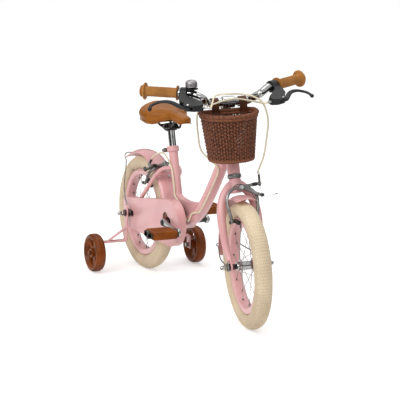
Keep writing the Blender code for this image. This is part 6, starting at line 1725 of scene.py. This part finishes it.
def spring_shape(caliper):
    """The return spring: a wire over the bolt that reaches down behind both arms."""
    half = ((0.014, 0.0075), (0.036, -0.022), (0.0415, -0.044))
    places = [(-across, up) for across, up in half[::-1]] + [(0, 0.0102), *half]
    shape = bmesh.new()
    tube(shape, caliper.route(-2 * LAYER - 0.0030, 50, *places), 0.0010, 10)
    return shape


def brake(prefix, caliper, back, body):
    for kind, name, shape in (("pinch", "pinch_bolt", pinch_arm(caliper)),
                              ("barrel", "barrel", barrel_arm(caliper))):
        piece(f"{prefix}_arm_with_{name}", shape, [steel, black_rubber, dark_steel], f"{prefix}_arm_{kind}",
              [f"{prefix}_brake_arm_{kind}"])
    piece(f"{prefix}_brake_centre_bolt", centre_bolt(caliper, back), bright_steel, body, [f"{prefix}_brake_bolt"])
    piece(f"{prefix}_brake_spring", spring_shape(caliper), dark_steel, body, ())


brake("front", front_caliper, 0.050 + 0.017 + 0.008, "steering")
brake("rear", rear_caliper, 0.030 + 0.0065 + 0.008, "frame")

# %% [markdown]
# The seat post is a plain chromed tube. Its clamp holds two bent rails, and the saddle's base sits on them.
# All of these slide together in the seat tube when the seat height is set.

# %% Make the seat post, the clamp and the rails
SADDLE_LENGTH, SADDLE_WIDTH, SADDLE_NOSE, SADDLE_DEPTH = 0.222, 0.152, 0.044, 0.040
SADDLE_TIP = 0.009
saddle_base = seat_point(POST_TOP) + Z * 0.008
saddle_start = saddle_base.x - 0.106


def saddle_half_width(share):
    tail = math.sqrt(max(0.0, 1 - (1 - min(share / 0.20, 1.0)) ** 2))
    blend = min(max((share - 0.26) / 0.44, 0.0), 1.0)
    blend = blend * blend * (3 - 2 * blend)
    nose = math.sqrt(max(0.0, 1 - max(0.0, (share - 0.90) / 0.10) ** 2))
    return (SADDLE_WIDTH / 2 * (1 - blend) + SADDLE_NOSE / 2 * blend) * tail * nose


def saddle_levels(share):
    """The saddle's half width, underside and crown at a share of its length."""
    half = max(saddle_half_width(share), 0.004)
    depth = SADDLE_DEPTH * min(1.0, 0.30 + 0.85 * half / (SADDLE_WIDTH / 2))
    lift = SADDLE_TIP * (max(0.0, 1 - share / 0.35) ** 2 - max(0.0, (share - 0.45) / 0.55) ** 2)
    top = saddle_base.z + SADDLE_DEPTH + lift
    return half, max(top - depth, saddle_base.z), top


def rail_end(share, level_share, y):
    """A point of a rail just under the saddle's underside."""
    return Vector((saddle_start + SADDLE_LENGTH * share, y, saddle_levels(level_share)[1] - 0.0038))


def clamp_shape():
    shape = bmesh.new()
    centre = seat_point(POST_TOP - 0.008)
    sleeve = [(0, 0.0227), (0.0147, 0.0227), (0.0155, 0.0219), (0.0155, 0.0008), (0.0147, 0), (0.0114, 0),
              (0.0114, 0.0203), (0, 0.0203)]
    turned(shape, sleeve, seat_point(POST_TOP - 0.020), SEAT_UP, 48)
    for side, _ in SIDES:
        out = Y * side
        rod(shape, centre + out * 0.0150, centre + out * 0.0190, 0.0220, 40, 0.0010)
        hexagon(shape, centre + out * 0.0190, centre + out * 0.0238, 0.0120, 1)
        points = [rail_end(0.17, 0.21, side * 0.024), rail_end(0.21, 0.21, side * 0.022),
                  centre - X * 0.030 + out * 0.0195, centre + X * 0.022 + out * 0.0185,
                  rail_end(0.72, 0.72, side * 0.0085), rail_end(0.75, 0.72, side * 0.0070)]
        tube(shape, smooth_route(points, 60), 0.0034, 20, finish=1)
    for x, width in ((-0.032, 0.038), (0.022, 0.036)):
        block(shape, centre + X * x, (0.008, width, 0.006), None, 0.0012)
    return shape


post = bmesh.new()
rod(post, seat_point(SEAT_TUBE - 0.085), seat_point(POST_TOP), 0.0222, 64, 0.0008)
piece("seat_post_tube", post, chrome, "seat", ["seat_post"])
piece("saddle_clamp_and_rails", clamp_shape(), [black_plastic, dark_steel], "seat", ["saddle_clamp"])

# %% [markdown]
# A child's saddle is foam under coated cloth, wide behind and narrow in front, with a skirt pulled in under its
# edge. The foam makes it crown and swell a little between its edges.
# The form is a loft of cross sections, then cloth with air pressure swells it by at most two millimetres, and a
# line of piping runs round the skirt.

# %% Stuff the saddle
HALF_SECTION = ((0.28, 0.985), (0.55, 0.95), (0.76, 0.87), (0.91, 0.72), (0.985, 0.52), (0.995, 0.30),
                (0.93, 0.02), (0.80, -0.9))
SECTION = [(-across, height) for across, height in HALF_SECTION[::-1]] + [(0.0, 0.98), *HALF_SECTION]
SECTION += [(0.45, -0.3), (0.0, -0.2), (-0.45, -0.3)]
SKIRT = 0.016 / (SADDLE_WIDTH / 2)
INSET = 0.0015
SWELL = 0.0018


def eased(first, steps):
    """Shares of the saddle's length, closer together at its ends."""
    return [first + (1 - 2 * first) * (0.5 - 0.5 * math.cos(math.pi * k / steps)) for k in range(steps + 1)]


def saddle_form():
    rings = []
    for share in eased(0.006, 40):
        half, floor, top = saddle_levels(share)
        x, rise = saddle_start + SADDLE_LENGTH * share, top - INSET - floor
        levels = [floor + height * (rise if height >= 0 else SKIRT * half) for _, height in SECTION]
        rings.append([Vector((x, across * (half - INSET), z)) for (across, _), z in zip(SECTION, levels)])
    shape = bmesh.new()
    skin(shape, rings)
    return shape


def swollen(shape, voxel, pressure, cap):
    """Cloth under pressure for a few frames, with each point's travel capped."""
    shape = taken(modified(loose_object(shape), "REMESH", mode="VOXEL", voxel_size=voxel))
    start = [vert.co.copy() for vert in shape.verts]
    item = loose_object(shape)
    settings = item.modifiers.new("cloth", "CLOTH").settings
    settings.use_pressure = True
    settings.uniform_pressure_force = pressure
    settings.effector_weights.gravity = 0
    settings.quality = 6
    scene = bpy.context.scene
    for number in range(1, 13):
        scene.frame_set(number)
    shape = taken(item)
    scene.frame_set(1)
    for vert, home in zip(shape.verts, start):
        travel = vert.co - home
        if travel.length > cap:
            vert.co = home + travel * (cap / travel.length)
    return shape


cushion = saddle_form()
cushion = swollen(cushion, 0.0035, 3.0, SWELL)
cushion = modified(modified(loose_object(cushion), "SMOOTH", iterations=4), "SUBSURF", levels=1, render_levels=1)
saddle = piece("saddle_cushion", taken(cushion), saddle_cover, "seat", ["saddle"], 70)


def saddle_edge(drop, out):
    """A closed line round the skirt's lower edge."""
    line = []
    for side, shares in ((1, eased(0.012, 120)), (-1, eased(0.012, 120)[::-1])):
        for share in shares:
            half, floor, _ = saddle_levels(share)
            x = saddle_start + SADDLE_LENGTH * share
            line.append(Vector((x, side * half * out, floor - SKIRT * half * drop)))
    return line + line[:1]


piping = bmesh.new()
tube(piping, saddle_edge(0.30, 0.905), 0.0014, 12)
piece("saddle_piping", piping, saddle_cover, "seat", (), 70)

# %% [markdown]
# Real baskets are woven from cane: upright stakes, and weavers that pass in front of one stake and behind the
# next, with every row the other way round. The rim and the foot are bands of canes twisted round each other.
# A third tree turns any set of lines into cane: it pushes each line in and out by a wave, from the phase that
# each point carries, and sweeps a flattened section along it. It makes the weave, the stakes and the braids.

# %% Build the tree that turns lines into cane
CANE_SIDES = 8
cane_tree, given = tree_with("lines_to_cane", "Geometry", "Wave", "Thickness", "Stretch", "Finish")
phase = node(cane_tree, "GeometryNodeInputNamedAttribute", {"Name": "phase"}, data_type="FLOAT")
outward = node(cane_tree, "GeometryNodeInputNamedAttribute", {"Name": "outward"}, data_type="FLOAT_VECTOR")
push = maths(cane_tree, "MULTIPLY", maths(cane_tree, "COSINE", phase.outputs["Attribute"]), given["Wave"])
offset = node(cane_tree, "ShaderNodeVectorMath", {0: outward.outputs["Attribute"], "Scale": push},
              operation="SCALE")
waved = node(cane_tree, "GeometryNodeSetPosition", {"Geometry": given["Geometry"], "Offset": offset.outputs[0]})
lines = node(cane_tree, "GeometryNodeMeshToCurve", {"Mesh": waved.outputs[0]})
upright = node(cane_tree, "GeometryNodeSetCurveNormal", {"Curve": lines.outputs[0]}, mode="Z_UP")
section = node(cane_tree, "GeometryNodeCurvePrimitiveCircle", {
    "Resolution": CANE_SIDES, "Radius": maths(cane_tree, "MULTIPLY", given["Thickness"], 0.5)})
tall = node(cane_tree, "ShaderNodeCombineXYZ", {"X": 1.0, "Y": given["Stretch"], "Z": 1.0})
oval = node(cane_tree, "GeometryNodeTransform", {"Geometry": section.outputs[0], "Scale": tall.outputs[0]})
swept = node(cane_tree, "GeometryNodeCurveToMesh", {
    "Curve": upright.outputs[0], "Profile Curve": oval.outputs[0], "Fill Caps": True})
ended(cane_tree, swept.outputs[0], given["Finish"])


def caned(strands, wave, thickness, stretch=1.0):
    """Strands are (points, outward directions, phases, closed, tone). Each point's tone also gains painted
    highlight and shade from its phase: lighter where the cane bows out, darker where it dives in.
    """
    verts, edges, ways, phases, tones_with_painted_shade = [], [], [], [], []
    for points, outwards, turns, closed, tone in strands:
        first = len(verts)
        verts += points
        ways += outwards
        phases += turns
        # Painted light and shade: a weaver is lighter where its wave pushes it out and darker where it dives
        # behind a stake.
        tones_with_painted_shade += [tone + 0.34 * math.cos(turn) for turn in turns]
        edges += [(first + k, first + k + 1) for k in range(len(points) - 1)]
        if closed:
            edges.append((first + len(points) - 1, first))
    mesh = bpy.data.meshes.new("strands")
    mesh.from_pydata(verts, edges, [])
    for name, kind, field, values in (("phase", "FLOAT", "value", phases), ("tone", "FLOAT", "value", tones_with_painted_shade),
                                      ("outward", "FLOAT_VECTOR", "vector", [v for way in ways for v in way])):
        mesh.attributes.new(name, kind, "POINT").data.foreach_set(field, values)
    return through_tree(cane_tree, placed("strands", mesh), {
        "Wave": wave, "Thickness": thickness, "Stretch": stretch, "Finish": cane})


# %% [markdown]
# The wall's outline grows and leans with its height. Every weaver, stake and braid is laid on that one outline,
# and a weaver's phase gains half a turn from stake to stake and from row to row, which makes the weave.

# %% Weave the basket
BASKET_HEIGHT = 0.129
BASKET_TOP = BAR_CENTRE.z - 0.0165 - 0.0012
STAKES, ROWS, FLOOR_ROWS, FLOOR_COLUMNS = 48, 25, 26, 11
AROUND = STAKES * 4
CANE = 0.0025
UNBENT = math.pi / 2


def basket_outline(share, inset):
    """The wall's outline at a share of the height: evenly spread points and the way out of each."""
    width = 0.128 + 0.032 * share - 2 * inset
    depth = 0.080 + 0.026 * share - 2 * inset
    back = BAR_CENTRE.x + 0.003 + 0.045 * (1 - share) + inset
    corner, half = min(0.017, width * 0.14), width / 2
    line = arc((back + corner, half - corner), corner, 180, 90, 9)
    for a in [math.radians(90 - 180 * step / 40) for step in range(1, 40)]:
        line.append((back + corner + (depth - corner) * abs(math.cos(a)) ** 0.80, half * math.sin(a)))
    line += arc((back + corner, corner - half), corner, 270, 180, 9)
    level, lean = BASKET_TOP - BASKET_HEIGHT * (1 - share), 0.0085 + 0.0070 * (1 - share)
    line = [Vector((x, y - lean, level)) for x, y in line]
    points = spread_evenly(line + line[:1], [k / AROUND for k in range(AROUND)])
    runs = [points[(k + 1) % AROUND] - points[k - 1] for k in range(AROUND)]
    return points, [run.cross(Z).normalized() * -1 for run in runs]


def weavers():
    strands = []
    for row in range(ROWS):
        points, ways = basket_outline(0.035 + 0.85 * row / (ROWS - 1), CANE)
        turns = [math.pi * (k * STAKES / AROUND + row) for k in range(AROUND)]
        strands.append((points, ways, turns, True, 0.14 + 0.12 * math.sin(row * 2.4)))
    return strands


def stakes():
    levels = [0.0, 0.03] + [0.06 * k for k in range(1, 17)]
    outlines = [basket_outline(share, CANE * 1.1) for share in levels]
    straight = [0.0] * len(levels)
    return [([points[k] for points, _ in outlines], [ways[k] for _, ways in outlines], straight, False, 0.0)
            for k in range(0, AROUND, AROUND // STAKES)]


def braid(share, radius, twists, inset, lift=0.0):
    """Canes twisted round a level line, each a third of a turn behind the next."""
    points, ways = basket_outline(share, inset)
    strands = []
    for strand in range(3):
        line = []
        for k, (point, way) in enumerate(zip(points, ways)):
            a = math.tau * (twists * k / AROUND + strand / 3)
            line.append(point + way * radius * math.cos(a) + Z * (radius * math.sin(a) + lift))
        strands.append((line, ways, [UNBENT] * AROUND, True, 0.35 + 0.3 * strand))
    return strands


def floor_canes():
    """The bottom: canes across, over and under canes along."""
    points, _ = basket_outline(0.02, 0.008)
    low_x, high_x = min(p.x for p in points), max(p.x for p in points)
    z = BASKET_TOP - BASKET_HEIGHT * 0.97 + 0.0008
    strands = []
    for row in range(FLOOR_ROWS):
        x = low_x + (high_x - low_x) * (row + 0.5) / FLOOR_ROWS
        ys = sorted(p.y for p in points if abs(p.x - x) < 0.004)
        if len(ys) > 1:
            line = [Vector((x, ys[0] + (ys[-1] - ys[0]) * k / 40, z)) for k in range(41)]
            turns = [math.pi * (FLOOR_COLUMNS * k / 40 + row) for k in range(41)]
            strands.append((line, [Z] * 41, turns, False, 0.5 + 0.4 * math.sin(row * 1.9)))
    for column in range(FLOOR_COLUMNS):
        y = -0.0155 + (column - FLOOR_COLUMNS // 2) * 0.0100
        xs = sorted(p.x for p in points if abs(p.y - y) < 0.004)
        line = [Vector((xs[0] + (xs[-1] - xs[0]) * k / 12, y, z)) for k in range(13)]
        strands.append((line, [Z] * 13, [UNBENT] * 13, False, 0.4))
    return strands


rims = braid(0.965, 0.0034, 30, 0.0010) + braid(0.905, 0.0022, 34, 0.0016)
rims += braid(0.030, 0.0022, 30, 0.0044, 0.001)
weave = caned(weavers(), 0.0021, CANE, 1.75)
for more in (caned(stakes(), 0.0, CANE * 1.6), caned(rims, 0.0, 0.0054), caned(floor_canes(), 0.0008, 0.0026)):
    added(weave, more)
piece("basket_weave", weave, cane, "steering", ["basket"], 60)

# %% [markdown]
# Two leather straps hold the basket to the bar. Each goes over the bar and down inside the basket's back wall,
# where a stud closes it. The leather has cut, rounded edges and a line of stitches along both sides.
# The stitches are laid by the tree that lays links on a route.

# %% Cut and stitch the straps
STRAP_WIDTH, STRAP_THICK = 0.022, 0.0024
STUD = [(0, 0), (0.0036, 0), (0.0034, 0.0010), (0.0020, 0.0017), (0, 0.0019)]


def strap_line(y):
    centre = BAR_CENTRE + Y * y
    radius = BAR_RADIUS + 0.0006
    back = BAR_CENTRE.x + 0.003 + 0.005 + 0.0022
    tail = [Vector((back + 0.0125, y, BASKET_TOP - 0.034)), Vector((back + 0.0048, y, BASKET_TOP - 0.010)),
            Vector((max(back + 0.0045, centre.x + radius - 0.001), y, BASKET_TOP + 0.0040))]
    loop = [centre + heading(20 + 30 * k) * (radius + STRAP_THICK / 2) for k in range(8)]
    return smooth_route(tail + loop + [centre + Vector((-radius * 0.62, 0, -radius - 0.0045))], 90)


def strap_shape(y):
    """The strap with its stud, and the places of its stitches."""
    line = strap_line(y)
    half, edge = STRAP_THICK / 2, STRAP_WIDTH / 2
    section = rounded([(-half, -edge), (half, -edge), (half, edge), (-half, edge)], 0.0009, 3)
    rings, places = [], []
    for index, point in enumerate(line):
        run = (line[min(index + 1, len(line) - 1)] - line[max(index - 1, 0)]).normalized()
        out = run.cross(Y).normalized()
        rings.append([point + out * a + Y * b for a, b in section])
        if index % 3 == 1:
            places += [matrix_for(point + out * half + Y * side * (edge - 0.0022), out, run) for side, _ in SIDES]
    shape = bmesh.new()
    skin(shape, rings)
    out = (line[9] - line[7]).normalized().cross(Y).normalized()
    turned(shape, STUD, line[8] + out * half, out, 28, 1)
    return shape, places


def stitch_item():
    shape = bmesh.new()
    ends = ((-0.0011, -0.0002), (-0.0007, 0.0002), (0.0007, 0.0002), (0.0011, -0.0002))
    tube(shape, [Vector((x, 0, z)) for x, z in ends], 0.00028, 6)
    return shape


def strap(side, label):
    shape, places = strap_shape(side * 0.040)
    piece(f"strap_leather_{label}", shape, [strap_leather, steel], "steering", [f"strap_{label}"],
          45)
    stitches = laid_on(places, stitch_item(), stitch_item(), thread)
    piece(f"strap_stitches_{label}", stitches, thread, "steering", (), 60)


both_sides(strap)

# %% [markdown]
# A brake cable is a steel wire in a plastic cover. The cover is stiff, so it leaves the lever straight and swings
# to the brake in wide curves. The front one is wholly on the steering, and the rear one crosses to the frame; its
# part on the bar is laid at the bar's set turn and stays there. Metal ferrules end the front cover, and the bare
# inner wire goes on to each brake's pinch bolt.

# %% Run the cables
CABLE_RADIUS = 0.0025
CABLE_GAP = CABLE_RADIUS + 0.0009
CABLE_END = (-0.0970, 0.0586)


def barrel_top(caliper):
    low, high = caliper.barrel()
    run = (high - low).normalized()
    return high + run * 0.0003, run


def front_route():
    _, along, _ = grip_frame(-1)
    start = lever_point(-1, CABLE_END)
    top, run = barrel_top(front_caliper)
    bends = ((0.07174, -0.056, 0.03356), (0.07374, -0.02, 0.03656), (0.06874, 0.015, 0.03306),
             (0.07174, 0.05, 0.02456), (0.06774, 0.08, 0.00156), (0.05434, 0.0975, -0.04864),
             (0.06574, 0.088, -0.10144), (0.08574, 0.072, -0.14444))
    middle = [BAR_CENTRE + Vector(bend) for bend in bends]
    return smooth_route([start, start - along * 0.010] + middle + [top + run * 0.012, top], 150)


def clip_points(line):
    """Where four clips hold the rear cable beside the down tube."""
    front, beside = Vector((0.78, -0.62, 0)), Vector((0.38, -0.92, 0))
    clips = []
    for index, out in ((12, front), (10, front), (7, front), (6, beside)):
        way = (line[index + 1] - line[index - 1]).normalized()
        clips.append(line[index] + (out - way * out.dot(way)).normalized() * (0.018 + CABLE_GAP))
    return clips


def rear_route():
    """The rear cable's points where it lies at rest, in the frame's coordinates."""
    _, along, _ = grip_frame(1)
    start = lever_point(1, CABLE_END)
    top, run = barrel_top(rear_caliper)
    bends = ((0.03774, 0.062, 0.00356), (0.03174, 0.02, 0.01256), (0.03474, -0.01, 0.01256),
             (0.03674, -0.04, 0.00756), (0.01574, -0.068, -0.00744), (-0.01226, -0.08, -0.01844),
             (-0.03926, -0.08, -0.04744))
    steered = [start, start - along * 0.012] + [BAR_CENTRE + Vector(bend) for bend in bends]
    points = [turn_bar @ point for point in steered]
    head, line = steer_point(HEAD_TOP), down_tube_points(15)
    clips = clip_points(line)
    points += [head + Vector((-0.05228, -0.07, -0.00462)), head + Vector((-0.06228, -0.052, -0.05532)),
               clips[0] + Vector((-0.002, -0.008, 0.020))] + clips
    web = -0.010 - CABLE_GAP
    points += [line[5] - Y * (0.0185 + CABLE_GAP) + Z * 0.001, BB + Vector((0.062, web - 0.0075, 0.014)),
               BB + Vector((0.040, web - 0.0075, 0.024)), BB + Vector((0.006, web - 0.001, 0.044))]
    ahead = Vector((SEAT_UP.z, 0, -SEAT_UP.x))
    for up, degrees in ((0.066, -54), (0.088, -54), (0.110, -54), (0.148, -60), (0.161, -76), (0.172, -92)):
        a = math.radians(degrees)
        points.append(seat_point(up) + (ahead * math.cos(a) + Y * math.sin(a)) * (0.0148 + CABLE_RADIUS))
    points += [top + run * 0.024 + Vector((0.012, 0.024, 0.006)), top + run * 0.020 + Y * 0.003, top]
    return smooth_route(points, 260)


def ferrules(line):
    """A metal cap on both ends of the front cable's cover."""
    profile = [(0, 0), (0.0026, 0), (0.0030, 0.0006), (0.0030, 0.0080), (0.0026, 0.0086), (0, 0.0086)]
    shape = bmesh.new()
    for end, inner, gap in ((line[0], line[1], 0.0009), (line[-1], line[-2], 0.0002)):
        turned(shape, profile, end + (end - inner).normalized() * gap, inner - end, 28)
    return shape


def inner_wire(caliper):
    """The bare wire from the barrel to the pinch bolt, with its free tail and crimped cap."""
    tail = [(*PINCH, 0.0002), (0.0620, -0.0300, 0.001), (0.0760, -0.0300, 0.002), (0.0930, -0.0270, 0.002)]
    places = [caliper.point(across, up, LAYER + lift) for across, up, lift in tail]
    points = smooth_route([caliper.barrel()[0]] + places, 30)
    shape = bmesh.new()
    tube(shape, points, 0.0008, 10)
    run = (points[-1] - points[-2]).normalized()
    rod(shape, points[-1] - run * 0.001, points[-1] + run * 0.008, 0.0026, 16, 0.0003, 1)
    return shape


def declared(cover, path):
    print(cover.name, round(length_of(path), 3), "m")


front_line, rear_line = front_route(), rear_route()
cover = bmesh.new()
tube(cover, front_line, CABLE_RADIUS, 16)
front_cover = piece("front_cable_cover", cover, cable_cover, "steering", ["front_cable"], 60)
declared(front_cover, [STEERED @ point for point in front_line])
piece("front_cable_ferrules", ferrules(front_line), bright_steel, "steering", ())
piece("front_inner_wire", inner_wire(front_caliper), [bright_steel, dark_steel], "front_arm_pinch", ())

cover = bmesh.new()
tube(cover, rear_line, CABLE_RADIUS, 16)
rear_cover = loose_object(cover, "rear_cable_cover")
rear_cover.data.transform(REST)
rear_cover.data.shade_smooth()
rear_cover.data.materials.append(cable_cover)
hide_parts("rear_cable")
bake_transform(rear_cover)
declared(rear_cover, [REST @ point for point in rear_line])
piece("rear_inner_wire", inner_wire(rear_caliper), [bright_steel, dark_steel], "rear_arm_pinch", ())
